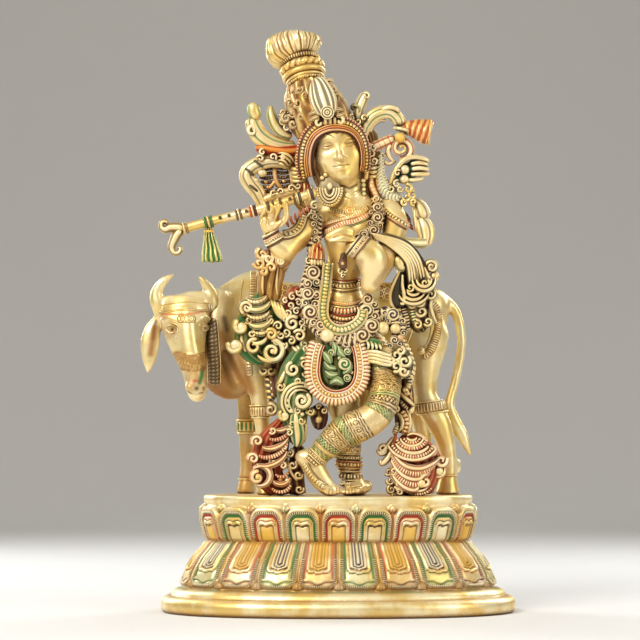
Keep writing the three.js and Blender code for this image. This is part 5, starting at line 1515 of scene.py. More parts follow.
def crown():
    parts = Parts()
    gold = plain("amber", 0.12)
    # cone of hair with its strands
    relief = lambda S, T: 0.9 * np.cos(17 * T + 0.16 * S + 0.8 * np.sin(0.22 * S)) + 0.7 * np.cos(9 * T - 0.30 * S) + 0.4 * np.cos(31 * T - 0.1 * S)
    colour = lambda S, T, h: over(over(bare(S.shape), "amber", 0.30 + 0.55 * smooth(0.8, -0.2, h)), "brown", 0.6 * smooth(-0.6, -1.4, h))
    sweep(parts, [(327, 134, 22, 28, 22), (320.5, 119, 23, 30, 22), (313.5, 104, 21.5, 28, 21.5), (308.5, 92, 19, 24.5, 19.5), (305.6, 83, 17, 19, 17.5)], (relief, colour), step=0.9, sides=150, ends=(0.3, 0.1))
    for x, y, r, s, h in ((293, 93, 4.6, 150, 1), (290.5, 103, 4.4, 170, -1), (293, 113, 4.8, 190, 1), (299, 90, 4.0, 60, -1), (298, 103, 4.6, 200, 1), (301, 116, 4.6, 120, -1), (286, 118, 4.6, 100, 1), (293, 124, 4.4, 30, -1), (329, 84, 4.2, 20, 1), (334, 90, 4.6, 330, -1), (337, 98, 4.2, 0, 1), (323, 83, 3.6, 90, 1), (305, 96, 3.6, 40, 1)):
        scroll(parts, x, y, 36 if x > 296 else 30, r, 1.3, s, h, 2.0, 2.2, grooved("amber", 0.8, 5, 0.5), step=0.7, sides=12)
    # turned rings
    hoop(parts, 306.4, 83.4, 17, 17.4, 1.6, 2.2, (lambda S, T: 0.5 * np.cos(TAU * S / 2.2) * (np.cos(T) > -0.2), lambda S, T, h: over(bare(S.shape), "brown", 0.75 * (h < -0.1) * (np.cos(T) > -0.2))), step=0.6, tip=18)
    hoop(parts, 305.4, 80.0, 16.5, 17.8, 1.7, 2.0, plain("cream", 0.15), tip=18)
    hoop(parts, 304.0, 75.6, 15.5, 19.0, 2.9, 3.4, gold, tip=18)
    hoop(parts, 303.4, 72.4, 15, 18.2, 1.0, 2.0, plain("brown", 0.5), sides=8, tip=18)
    hoop(parts, 302.4, 69.0, 14, 18.0, 3.2, 3.8, (lambda S, T: 1.3 * np.abs(np.sin(TAU * (S / 11.0) + 0.9 * np.sin(T))) * (np.cos(T) > -0.6), lambda S, T, h: over(bare(S.shape), "amber", 0.8 * (h < 0.45))), step=0.6, sides=14, tip=19)
    hoop(parts, 301.2, 65.2, 13, 15.2, 2.0, 2.4, plain("amber", 0.5), sides=10, tip=20)
    hoop(parts, 300.2, 62.2, 12, 16.2, 2.6, 3.4, (lambda S, T: 0.8 * smooth(-0.4, 0.5, np.cos(TAU * S / 2.0)) * (np.cos(T) > -0.3), lambda S, T, h: over(bare(S.shape), "brown", 0.85 * (h < 0.35) * (np.cos(T) > -0.3))), step=0.5, sides=12, tip=20)
    # core behind the rings
    sweep(parts, [(307, 86, 17, 17, 16), (304.4, 77, 16, 17.6, 17), (301.8, 67, 13.6, 14.4, 14), (299.4, 59, 11.4, 15.4, 15)], gold, sides=40, ends=(0.2, 0.2))
    # pleated tuft that flares to the top
    pleat = lambda S, T: (1.5 + 0.5 * np.sin(5 * T + 1)) * np.abs(np.cos(13.0 * T + 0.5 * np.sin(2 * T) + 0.02 * S * np.sin(9 * T))) ** 0.8 + 0.6 * np.cos(43 * T + 0.10 * S)
    shade = lambda S, T, h: over(over(bare(S.shape), "amber", 0.9 * smooth(1.0, 0.1, h)), "brown", 0.6 * smooth(0.3, -0.3, h))
    sweep(parts, [(299.6, 62.2, 12, 14.4, 14), (298.2, 59.6, 11, 18, 17), (296.6, 56.4, 9.8, 23, 21), (294.8, 52.4, 8.4, 26.3, 24), (293.2, 47.6, 6.8, 26.8, 24.6), (292, 43.4, 5.4, 24.8, 23), (291.6, 40, 4.2, 20.6, 19.4), (291.6, 37.6, 3.4, 14, 13), (291.7, 36.6, 3.0, 8, 7.6)], (pleat, shade), step=0.6, sides=240, ends=(0.3, 0.5))
    parts.piece("crown", "figure_brass", "flute_player")


def plume():
    parts = Parts()
    # feather laid up the front of the crown
    line_ = lambda S, T: 0.75 * smooth(-0.25, 0.35, np.cos(13 * T)) * (np.cos(T) > -0.1)
    dark = lambda S, T, h: over(over(bare(S.shape), "cream", 0.45), "black", 0.72 * (h < 0.2) * (np.cos(T) > 0.0))
    sweep(parts, [(314.5, 78, 42, 4.0, 2.5), (318, 84, 44, 8.5, 3.6), (321, 93, 46, 11.8, 4.6), (323.8, 102, 48, 12.6, 5.2), (326, 109, 49, 11.0, 5.4), (327.6, 116, 49, 7.5, 4.6)], (line_, dark), step=0.7, sides=96, ends=(1.4, 0.6), power=2.6)
    white = grooved("black", 0.6, 5, 0.5)
    # barbs and petals about the medallion
    for rows in (
        [(320, 112, 48, 2.2), (314, 112.5, 47, 1.9), (308.5, 115, 45, 0.9)],
        [(320, 116, 48, 2.2), (313.5, 118.5, 47, 1.9), (309, 122, 45, 0.9)],
        [(334, 111, 48, 2.4), (339, 109.5, 47, 2.0), (343, 111, 45, 1.0)],
        [(335, 115, 48, 2.6), (340, 115.5, 47, 2.2), (345, 113, 45, 1.0)],
    ):
        sweep(parts, rows, white, step=0.6, sides=12)
    for x, y, r, s, h in ((319.5, 123, 4.2, 80, 1), (340, 121, 4.2, 100, -1)):
        scroll(parts, x, y, 46, r, 1.0, s, h, 2.3, 2.4, (None, lambda S, T, q: over(over(bare(S.shape), "cream", 0.5), "black", 0.35 * (np.cos(T) < 0.1))), step=0.7, sides=12)
    for x in (325.2, 329.8, 334.4):
        sweep(parts, [(x - 0.2, 116.5, 49, 1.7), (x + 0.5, 122, 48, 1.9), (x + 1.0, 128.5, 44, 1.5)], plain("cream", 0.35), step=0.7, sides=10)
    sweep(parts, [(323, 120, 45.5, 7.5, 2), (330, 122, 46, 7.5, 2.2), (337, 119, 45.5, 7, 2)], plain("black", 0.6), step=1.0, sides=10)
    place = np.array(at(327.4, 112.6, 53.5))
    h = lambda R, T: 1.5 * np.sqrt(np.clip(1 - R**2 * 0.8, 0, 1)) + 0.8 * smooth(-0.2, 0.4, np.cos(TAU * (R * 2.6 + 0.5)))
    c = lambda R, T, q: over(over(bare(R.shape), "cream", 0.4), "black", 0.8 * (np.cos(TAU * (R * 2.6 + 0.5)) < -0.35))
    disc(parts, place, (0, -1, 0), 6.0, 6.0, h, c, rings=26)
    parts.piece("crown_plume", "figure_brass", "flute_player")


def hair_band():
    parts = Parts()
    wide_path = [(306.5, 178), (304.5, 168), (304.2, 157), (306, 146), (310.5, 136), (318, 129.0), (328, 125.0), (339, 124.4), (349, 126.6), (357, 132), (362.4, 141), (364.8, 152), (365, 163), (363.4, 172)]
    depth = lambda i, n, off=0.0: 29 + 14.0 * abs(math.sin(math.pi * i / (n - 1))) ** 0.7 - 0.75 * off  # nearer the brow on its inner side
    n = len(wide_path)
    # painted ground
    spread = 1 - 0.35 * smooth(0.5, 0.85, np.arange(n) / (n - 1))  # narrower on the turned side
    sweep(parts, [(x, y, depth(i, n), 7.4 * spread[i], 5.0) for i, (x, y) in enumerate(wide_path)], (None, lambda S, T, h: over(bare(S.shape), "maroon", 0.9 * (np.cos(T) > -0.2))), sides=18, power=2.4)

    def shifted(path, off):
        p = np.array(path)
        along = unit(np.gradient(p, axis=0))
        return p + np.stack([along[:, 1], -along[:, 0]], -1) * (off * spread)[:, None]

    for off, half, thick, style in ((6.5, 2.2, 2.6, ticked("red", 2.6, 0.9, 0.9, "orange", 0.9)), (2.2, 2.6, 2.6, pearled("red", 3.0, 0.95, 1.3, 1.9, 1.1))):
        path = shifted(wide_path, off)
        sweep(parts, [(x, y, depth(i, n, off) + 3.4, half * spread[i], thick) for i, (x, y) in enumerate(path)], style, step=0.45, sides=20)
    for off, r, paint, amount in ((-0.8, 1.2, "orange", 0.4), (-3.0, 1.3, "vermilion", 0.6), (-5.5, 1.4, "pink", 0.5)):
        path = shifted(wide_path, off)
        sweep(parts, [(x, y, depth(i, n, off) + 4.2, r * spread[i], r * 1.3) for i, (x, y) in enumerate(path)], plain(paint, amount), step=0.8, sides=10)
    for off in (4.4, 0.3, -1.9, -4.2, -6.9):
        path = shifted(wide_path, off)
        sweep(parts, [(x, y, depth(i, n, off) + 3.2, 0.9 * spread[i], 1.4) for i, (x, y) in enumerate(path)], plain("maroon", 0.95), step=1.0, sides=8)
    # dark fillet that closes the band against the temples
    path = shifted(wide_path, -8.2)
    sweep(parts, [(x, y, depth(i, n, -8.2) - 2.4, 1.9 * spread[i], 3.2) for i, (x, y) in enumerate(path)], plain("maroon", 0.9), step=1.0, sides=12)
    # curls at its ends
    scroll(parts, 300.5, 163, 30, 5.2, 1.35, 60, 1, 2.2, 2.4, grooved("maroon", 0.8, 3, 0.5), step=0.6, sides=12)
    scroll(parts, 303, 172, 31, 4.2, 1.2, 80, -1, 2.0, 2.2, grooved("red", 0.8, 3, 0.5), step=0.6, sides=12)
    # hook shaped ornament by the far ear, and small ones above it
    sweep(parts, [(366, 180, 30, 2.4), (366.2, 170, 30, 2.6), (364.5, 163, 30, 2.6), (361, 161.5, 30, 2.4), (360, 165, 30, 1.8)], (None, lambda S, T, h: over(bare(S.shape), "orange", 0.25 + 0.5 * (np.cos(T) < 0.2))), sides=12)
    for x, y, r, s, h in ((368, 146, 4.0, 200, 1), (371, 154, 4.2, 150, -1), (366, 153, 3.0, 40, 1), (373.5, 148, 3.6, 90, 1), (369, 160, 3.6, 0, -1), (374, 161, 3.4, 270, 1)):
        scroll(parts, x, y, 26, r, 1.25, s, h, 1.7, 2.0, grooved("red", 0.85, 3, 0.5), step=0.6, sides=12)
    # mass of hair behind the face
    relief = lambda S, T: 0.8 * np.cos(26 * T + 0.1 * S)
    sweep(parts, [(334, 118, 10, 24, 15), (336, 134, 8, 29, 18), (338, 152, 8, 30, 19), (341, 170, 8, 29, 17), (344, 188, 7, 25, 13), (347, 206, 6, 23, 10), (350, 226, 4, 21, 8), (351, 244, 4, 15, 6), (351, 256, 5, 6, 3)], (relief, lambda S, T, h: over(bare(S.shape), "amber", 0.3 + 0.6 * (h < 0.0))), step=2.0, sides=110, even=True)
    parts.piece("hair_band", "figure_brass", "flute_player")


def left_of_head():
    parts = Parts()
    green = grooved("green", 0.92, 5, 1.0, ticks=0)
    # large upright leaf with a round tip
    sweep(parts, [(296, 145.5, 18, 3.5, 3.5), (284, 146.5, 20, 6.5, 5), (271, 143.5, 21, 8.2, 5.5), (260, 136, 21, 8.6, 5.5), (254, 126, 21, 7.8, 5.5), (252, 117, 21, 6.2, 5)], grooved("green", 0.92, 6, 1.1), step=0.7, sides=30)
    sweep(parts, [(258, 120, 22, 5.0, 4.4), (254.5, 113, 23, 6.8, 5.4), (253, 106.5, 23, 6.2, 5.2), (253, 103, 22, 4.0, 4)], grooved("leaf", 0.55, 3, 0.6), step=0.7, sides=20)
    scroll(parts, 252.5, 131, 24, 5.5, 1.1, 60, 1, 2.6, 2.6, grooved("black", 0.55, 3, 0.6), step=0.6, sides=14)
    # inner leaf with a pointed tip
    sweep(parts, [(292, 137, 20, 3.5, 3.5), (281, 132.5, 22, 5.2, 4.4), (274.5, 124, 22, 5.4, 4.4), (271, 114, 22, 4.2, 3.6), (270.8, 105.5, 21, 1.2, 1.2)], grooved("green", 0.9, 4, 0.8), step=0.7, sides=22)
    for x, y, r, s, h in ((283, 121, 4.6, 40, -1), (289, 114, 4.4, 120, 1), (282.5, 112.5, 3.8, 200, 1), (287, 128, 4.2, 0, 1)):
        scroll(parts, x, y, 24, r, 1.3, s, h, 1.9, 2.2, grooved("amber", 0.85, 3, 0.5), step=0.6, sides=12)
    # orange and red band with small curls on it
    sweep(parts, [(301, 150, 22, 5.2, 5), (289, 151.4, 23, 5.8, 5.4), (276, 150.5, 23, 5.8, 5.4), (264, 148.4, 22, 5.4, 5), (255.5, 148, 20, 3.4, 3.6)], (lambda S, T: 0.7 * np.cos(4 * T), lambda S, T, h: over(over(bare(S.shape), "orange", 0.85), "red", 0.9 * (h < 0.1))), step=0.8, sides=24)
    for x, y, r, s, h, p in ((262.5, 152, 3.4, 60, 1, "red"), (273, 157, 3.8, 300, 1, "red"), (260.5, 158.5, 3.4, 180, -1, "pink"), (283.5, 157.5, 3.0, 30, 1, "vermilion"), (297, 157, 3.2, 100, -1, "orange")):
        scroll(parts, x, y, 26, r, 1.2, s, h, 1.7, 2.0, grooved(p, 0.9, 3, 0.5), step=0.6, sides=12)
    # white petal that curls over the ring
    for k in range(4):
        crescent(parts, 281 - 0.4 * k, 167 + 0.5 * k, 25.5, 14 - 3.0 * k, 108, 18, 1.7, 2.2, (None, lambda S, T, h: over(over(bare(S.shape), "cream", 0.35), "black", 0.35 * (np.cos(T) < 0.0))), step=0.8, sides=10)
    # the ring itself
    ring = [(291, 166, 18, 5.0, 4.5), (283, 162.5, 20, 5.6, 5), (271, 161.5, 21, 6.0, 5.2), (260.5, 163.5, 21, 6.8, 5.4), (251, 168.5, 21, 7.4, 5.6), (246.8, 176, 21, 7.6, 5.6), (251, 184.5, 21, 7.6, 5.6), (257.5, 192.5, 21, 7.2, 5.4), (261.5, 201, 21, 6.0, 5), (264.5, 209, 22, 4.6, 4.4)]
    sweep(parts, ring, grooved("black", 0.75, 6, 0.9), step=0.7, sides=30)
    for x, y, a in ((258.5, 163.5, 2.2), (249.5, 171.5, 2.2), (253.5, 188, 2.0)):
        sweep(parts, [(x - 5, y - 3.5, 25.5, 1.2, 1.4), (x, y, 27, 1.5, 1.6), (x + 5, y + 4.2, 25.5, 1.2, 1.4)], plain("black", 0.85), step=0.8, sides=8)
    for x, y, r in ((262, 173, 5.0), (253, 166.5, 4.2), (256, 180.5, 3.4)):
        ball(parts, at(x, y, 22), (wide(r, 22), 4.0, wide(r * 0.8, 22)), tint("cream", 0.3), 16, 10)
    # pierced brown lattice inside it
    lat = (lambda S, T: 0.6 * np.cos(TAU * S / 2.4) * (np.cos(T) > 0), lambda S, T, h: over(bare(S.shape), "maroon", 0.55 + 0.35 * (h < 0)))
    for k in range(7):
        y = 167.5 + k * 4.5
        sweep(parts, [(257 + 1.1 * k, y + 0.6, 12, 1.6, 1.9), (266, y + 1.6, 14, 1.9, 2.1), (274, y + 0.6, 15, 1.9, 2.1)], lat, step=0.7, sides=10)
        sweep(parts, [(275, y - 0.6, 15, 1.9, 2.1), (283, y + 1.2, 14, 1.9, 2.1), (291.5, y - 0.6, 12, 1.6, 1.9)], lat, step=0.7, sides=10)
    sweep(parts, [(275, 164, 17, 2.4, 2.6), (274.6, 172, 17.5, 2.6, 2.8), (276.4, 181, 17.5, 2.4, 2.6), (280, 187, 17, 2.2, 2.4), (283.5, 190, 16, 1.6, 2)], plain("orange", 0.4), step=0.8, sides=14)
    sweep(parts, [(276, 180, 17.5, 2.2, 2.4), (272, 185, 17, 2.0, 2.2), (267.5, 190, 16, 1.6, 2)], plain("orange", 0.4), step=0.8, sides=12)
    for x, y in ((266, 182), (284, 181.5), (268, 187.5)):
        ball(parts, at(x, y, 16), (2.2, 2.0, 1.9), tint("orange", 0.3), 10, 7)
    sweep(parts, [(288, 165, 14, 3, 3), (291.5, 174, 15, 3.2, 3), (293.5, 184, 15, 3.4, 3), (297, 192, 15, 3.2, 3)], grooved("amber", 0.85, 3, 0.6), step=0.8, sides=14)
    # tresses that join ring, lattice and hair
    tress = (lambda S, T: 0.8 * np.cos(13 * T + 0.18 * S), lambda S, T, h: over(over(bare(S.shape), "amber", 0.5), "brown", 0.6 * smooth(0.1, -0.6, h)))
    sweep(parts, [(300, 152, 6, 8, 3.5), (298, 166, 6, 8, 3.5), (299, 182, 6, 9, 3.5), (303, 198, 6, 10, 4), (312, 210, 8, 9, 4)], tress, step=1.0, sides=80)
    sweep(parts, [(296, 157, 5, 6, 3), (276, 156, 6, 5, 3), (258, 160, 8, 4, 3)], tress, step=1.0, sides=60)
    for k in range(4):
        sweep(parts, [(304.5 + 2.6 * k, 188 - 1.0 * k, 24, 1.2), (304.0 + 2.4 * k, 195, 26, 1.7), (306 + 2.0 * k, 203, 26, 1.7), (310 + 1.6 * k, 210, 25, 1.0)], grooved("amber", 0.8, 3, 0.5), step=0.7, sides=12)
    # strip under it with dark hooks
    sweep(parts, [(262, 201.5, 22, 4.0, 3.6), (272, 196.5, 23, 4.6, 4), (284, 193, 23, 4.8, 4), (296, 189.5, 22, 4.6, 4), (303, 186, 20, 3.5, 3.5)], grooved("orange", 0.6, 3, 0.6), step=0.8, sides=16)
    for x, y, r, s, h in ((273, 193.5, 2.9, 40, 1), (281, 191.5, 3.1, 200, -1), (291.5, 188.5, 3.6, 20, 1), (298, 186, 3.4, 160, 1)):
        scroll(parts, x, y, 27, r, 1.2, s, h, 1.5, 1.8, grooved("maroon", 0.9, 3, 0.45), step=0.6, sides=12)
    # striped tresses between ring and hair band
    for k, p in enumerate(("amber", "green", "yellow", "green")):
        sweep(parts, [(291.5, 168.5 + 4.2 * k, 22, 2.4, 2.6), (298, 169.5 + 4.0 * k, 25, 2.5, 2.8), (305.5, 168.5 + 3.6 * k, 25, 2.2, 2.4)], grooved(p, 0.85, 3, 0.5), step=0.7, sides=12)
    for k in range(4):
        sweep(parts, [(298.5 + 3.0 * k, 181.5, 24, 1.5, 2), (298.0 + 3.3 * k, 188, 26, 1.8, 2.2), (299 + 3.0 * k, 194, 25, 1.4, 2)], plain("red" if k % 2 else "cream", 0.85 if k % 2 else 0.3), step=0.8, sides=10)
    parts.piece("left_ring", "figure_brass", "flute_player")


def right_of_head():
    parts = Parts()
    cream = grooved("green", 0.85, 4, 0.8)
    # upright striped leaf beside the crown
    sweep(parts, [(359, 124, 20, 4.4, 4), (358.5, 113, 21, 5.4, 4.6), (361.5, 103, 21, 5.8, 4.6), (364.5, 96.5, 21, 4.8, 4), (366.5, 93, 21, 2.6, 2.6)], grooved("black", 0.7, 5, 0.8), step=0.7, sides=24)
    crescent(parts, 355, 110, 25, 4.6, 130, -40, 1.6, 2.0, plain("green", 0.5), sides=10)
    ball(parts, at(353.5, 107, 22), (3.0, 2.6, 3.6), tint("black", 0.7), 12, 8)
    scroll(parts, 366.5, 96, 23, 3.6, 1.0, 150, -1, 1.8, 2.0, grooved("black", 0.7, 3, 0.5), step=0.6, sides=12)
    for x, y, r, s in ((352, 118, 3.6, 60), (358, 121.5, 3.6, 150), (364, 118, 3.2, 0)):
        scroll(parts, x, y, 26, r, 1.2, s, 1, 1.7, 2.0, grooved("teal", 0.6, 3, 0.5), step=0.6, sides=12)
    # arch
    sweep(parts, [(362.5, 137, 18, 4.2, 4), (365.5, 126, 20, 5.6, 4.6), (372.5, 117, 21, 6.2, 5), (382, 112.5, 21, 6.4, 5), (391, 113, 21, 6.2, 5), (397.5, 119, 21, 6.0, 5), (400.5, 126.5, 21, 5.6, 4.6)], grooved("green", 0.92, 6, 1.0), step=0.7, sides=30)
    sweep(parts, [(369, 133, 17, 2.4, 3), (373.5, 124.5, 18, 2.8, 3), (380.5, 120, 18, 2.8, 3), (386.5, 121.5, 18, 1.6, 2.4)], grooved("black", 0.8, 3, 0.6), step=0.7, sides=14)
    sweep(parts, [(381, 110, 24, 2.4, 2.8), (389, 107.5, 25, 3.0, 3), (396, 109, 25, 2.6, 2.8), (399.5, 113, 24, 1.2, 1.6)], grooved("black", 0.75, 3, 0.6), step=0.7, sides=14)
    # round stone and the flared drum beyond it
    hoop(parts, 401.5, 129.5, 24, 5.2, 2.0, 2.4, grooved("green", 0.8, 3, 0.5), sides=12, axis=np.array([0.2, 0, 1.0]), side=unit(np.array([1.0, 0, -0.2])))
    ball(parts, at(400, 137.5, 26), (4.7, 4.4, 4.7), tint("yellow", 0.7), 20, 14)
    sweep(parts, [(402, 131, 20, 5.0, 4.6), (409, 128.5, 20, 7.4, 6), (417, 129.5, 20, 10.2, 7.5), (425, 131.5, 20, 12.2, 8.5), (429.5, 132.5, 20, 12.6, 8.6), (431, 133, 20, 11, 7.6)],
          (lambda S, T: 0.7 * smooth(-0.2, 0.4, np.cos(TAU * S / 5.2 + 1.5 * np.sin(T))) * (np.cos(T) > -0.3),
           lambda S, T, h: over(over(bare(S.shape), "orange", 0.35), "red", 0.8 * (h < 0.25) * (np.cos(T) > -0.2))), step=0.7, sides=40, ends=(0.6, 0.15))
    hoop(parts, 429.5, 132.5, 20, 11.8, 1.4, 1.6, plain("orange", 0.35), axis=np.array([1.0, 0, -0.1]), side=unit(np.array([0.1, 0, 1.0])), deep=0.72, sides=10)
    # red arm from the hair band, twisted, and the open curl under it
    sweep(parts, [(364, 152, 18, 4.0, 4), (374, 147.5, 20, 5.2, 4.6), (385, 142.5, 20, 5.4, 4.6), (396, 138, 20, 5.0, 4.4)], grooved("red", 0.92, 5, 0.9, ticks=5.0), step=0.6, sides=24)
    scroll(parts, 401, 149, 20, 11.5, 1.05, 262, 1, 4.2, 3.8, grooved("red", 0.92, 5, 0.8), step=0.7, sides=24, core=0.35)
    scroll(parts, 401.5, 148, 23, 5.4, 1.0, 200, 1, 1.8, 2.0, grooved("orange", 0.6, 3, 0.4), step=0.6, sides=12)
    sweep(parts, [(392, 144, 20, 2.6, 3), (388, 150, 20, 2.8, 3), (389.5, 157, 20, 2.2, 2.4), (394.5, 162.5, 20, 1.0, 1.2)], grooved("red", 0.9, 3, 0.6), step=0.7, sides=14)
    sweep(parts, [(396, 160, 19, 2.0, 2.2), (389, 164, 18, 2.2, 2.4), (383, 160, 17, 2.4, 2.6)], grooved("vermilion", 0.7, 3, 0.5), step=0.8, sides=12)
    # green and red tresses beside the neck
    for k in range(4):
        y = 163 + 4.3 * k
        sweep(parts, [(367.5, y, 22, 2.2, 2.4), (372, y + 1.0, 24, 2.5, 2.8), (377, y, 20, 2.0, 2.2)], grooved("green" if k < 3 else "amber", 0.8, 3, 0.5), step=0.7, sides=12)
    sweep(parts, [(371, 178, 22, 3.0, 3), (371.5, 186, 24, 3.6, 3.4), (375, 194, 25, 3.4, 3.2), (378, 201, 26, 3.0, 3)], grooved("vermilion", 0.75, 4, 0.7, ticks=3.4), step=0.6, sides=18)
    # tresses behind it
    sweep(parts, [(366, 128, 8, 8, 3.5), (370, 145, 7, 9, 3.5), (371, 165, 6, 9, 3.5), (372, 185, 6, 10, 3.5), (374, 206, 7, 10, 4)],
          (lambda S, T: 0.8 * np.cos(13 * T + 0.18 * S), lambda S, T, h: over(over(bare(S.shape), "amber", 0.5), "brown", 0.6 * smooth(0.1, -0.6, h))), step=1.0, sides=80)
    parts.piece("right_scrolls", "figure_brass", "flute_player")


def bird():
    parts = Parts()
    down = (lambda S, T: 0.55 * np.cos(TAU * S / 3.0 + 2.4 * np.cos(4 * T)) * (np.cos(T) > -0.2), lambda S, T, h: over(over(bare(S.shape), "cream", 0.7), "teal", 0.6 * (h < -0.3)))
    # head, long neck and breast
    sweep(parts, [(386, 157.5, 20, 1.2, 1.6), (383.5, 155.2, 20, 2.6, 2.8), (381, 156, 20, 3.4, 3.4), (380.6, 160, 20, 3.4, 3.4), (380.6, 166, 20, 3.9, 4), (380.4, 173, 20, 4.6, 4.8), (381.4, 181, 20, 6.4, 6.2), (384.6, 189, 20, 9.2, 7.6), (390.5, 195.5, 20, 10.2, 8), (397.5, 198, 20, 7.6, 6.6), (402.5, 196, 20, 3.6, 4)], down, step=0.6, sides=40)
    sweep(parts, [(377.4, 172, 22, 1.4, 1.6), (376.8, 182, 22, 1.9, 2), (380, 193, 22, 2.2, 2.4), (388, 201, 22, 2.6, 2.8), (397, 202.5, 22, 2.4, 2.6), (401.5, 199, 22, 1.4, 1.6)], plain("orange", 0.35), step=0.9, sides=12)
    ball(parts, at(382.8, 154.8, 23.4), (0.7, 0.5, 0.7), tint("black", 0.9), 8, 6)
    # wing: a thick leading edge, fingers and teal hollows
    sweep(parts, [(391, 186, 20, 4.0, 4), (393, 177, 22, 3.2, 3.6), (397.5, 167.5, 23, 3.0, 3.4), (405, 159.5, 23, 2.9, 3.2), (414, 157, 22, 2.9, 3.2), (423.5, 158.8, 21, 2.6, 3), (429.5, 161.5, 20, 1.8, 2)], grooved("teal", 0.5, 3, 0.5), step=0.7, sides=16)
    sweep(parts, [(397, 182, 14, 7, 4), (404, 174, 15, 9.5, 4.4), (413, 168.5, 15, 9.5, 4.4), (422, 167.5, 15, 8.5, 4), (427.5, 168, 15, 6, 3.4)], (lambda S, T: 0.5 * np.cos(5 * T), lambda S, T, h: over(bare(S.shape), "teal", 0.92)), step=1.2, sides=24)
    for k, rows in enumerate((
        [(410, 164.5, 20, 2.4, 2.6), (419, 162.8, 21, 2.6, 2.8), (428.5, 164.8, 20, 2.0, 2.2)],
        [(411, 169.5, 20, 2.5, 2.8), (420, 168.2, 21, 2.8, 2.8), (429.5, 170, 20, 2.1, 2.2)],
        [(410, 174.8, 20, 2.5, 2.8), (420, 174.2, 21, 2.6, 2.8), (430, 174.2, 20, 1.8, 2)],
        [(406, 180.5, 20, 2.4, 2.6), (414, 180.2, 21, 2.6, 2.8), (424, 178.4, 20, 1.6, 1.8)],
    )):
        sweep(parts, rows, grooved("black" if k % 2 else "yellow", 0.55, 3, 0.5), step=0.7, sides=14)
    ball(parts, at(404.5, 169.6, 23), (4.3, 3.6, 4.3), tint("cream", 0.3), 16, 11)
    ball(parts, at(404.0, 179.6, 23), (4.5, 3.8, 4.3), tint("cream", 0.3), 16, 11)
    for x, y, r, s, h in ((397.5, 173, 3.4, 30, 1), (397, 184, 4.0, 60, 1), (391, 189, 3.6, 200, 1), (400, 189, 3.4, 20, -1)):
        scroll(parts, x, y, 26, r, 1.2, s, h, 1.5, 1.8, grooved("black", 0.6, 3, 0.4), step=0.6, sides=12)
    # chain of plumes that falls from the tail
    for x, y, r, s, h in ((408, 189, 4.6, 120, -1), (412.5, 195.5, 4.8, 60, 1), (407, 197.5, 4.0, 180, 1), (413.5, 202, 3.6, 300, -1), (404.5, 203, 3.4, 100, 1)):
        scroll(parts, x, y, 25, r, 1.2, s, h, 2.2, 2.4, grooved("teal", 0.7, 3, 0.6), step=0.6, sides=14)
    sweep(parts, [(414, 200, 20, 3.4, 3.6), (420, 207.5, 21, 6.6, 5), (423.2, 216, 22, 7.0, 5), (423.5, 219.5, 22, 3.0, 4)], grooved("black", 0.7, 5, 0.8), step=0.7, sides=26)
    sweep(parts, [(419.5, 217, 21, 3.4, 3.6), (424, 226, 22, 8.4, 5.4), (426, 235, 23, 8.6, 5.4), (425.5, 242.5, 24, 6.0, 4.6), (424.5, 246, 24, 2, 3)], grooved("black", 0.75, 6, 0.9), step=0.7, sides=30)
    sweep(parts, [(414.6, 206, 20, 2.4, 3), (415.5, 219, 21, 2.8, 3.2), (417.5, 233, 22, 2.6, 3)], plain("cream", 0.25), step=0.9, sides=12)
    sweep(parts, [(428, 243, 27, 4.0, 4), (420, 243.5, 30, 4.6, 4.2), (411, 243, 34, 4.4, 4), (404, 241.5, 38, 3.6, 3.6)], grooved("green", 0.6, 4, 0.7), step=0.7, sides=20)
    parts.piece("bird", "figure_brass", "flute_player")


crown()
plume()
hair_band()
left_of_head()
right_of_head()
bird()


# ------------------------------------------------------------------ flute, necklaces, armlets, garlands
FLUTE = [(317.5, 192.4, 60), (300, 197.4, 60), (277, 204.6, 60), (255, 210.6, 59), (230, 216.8, 57), (205, 222.8, 56), (181, 229.4, 55)]


def flute_at(px):
    rows = sorted(FLUTE)
    x = [r[0] for r in rows]
    return float(np.interp(px, x, [r[1] for r in rows])), float(np.interp(px, x, [r[2] for r in rows]))


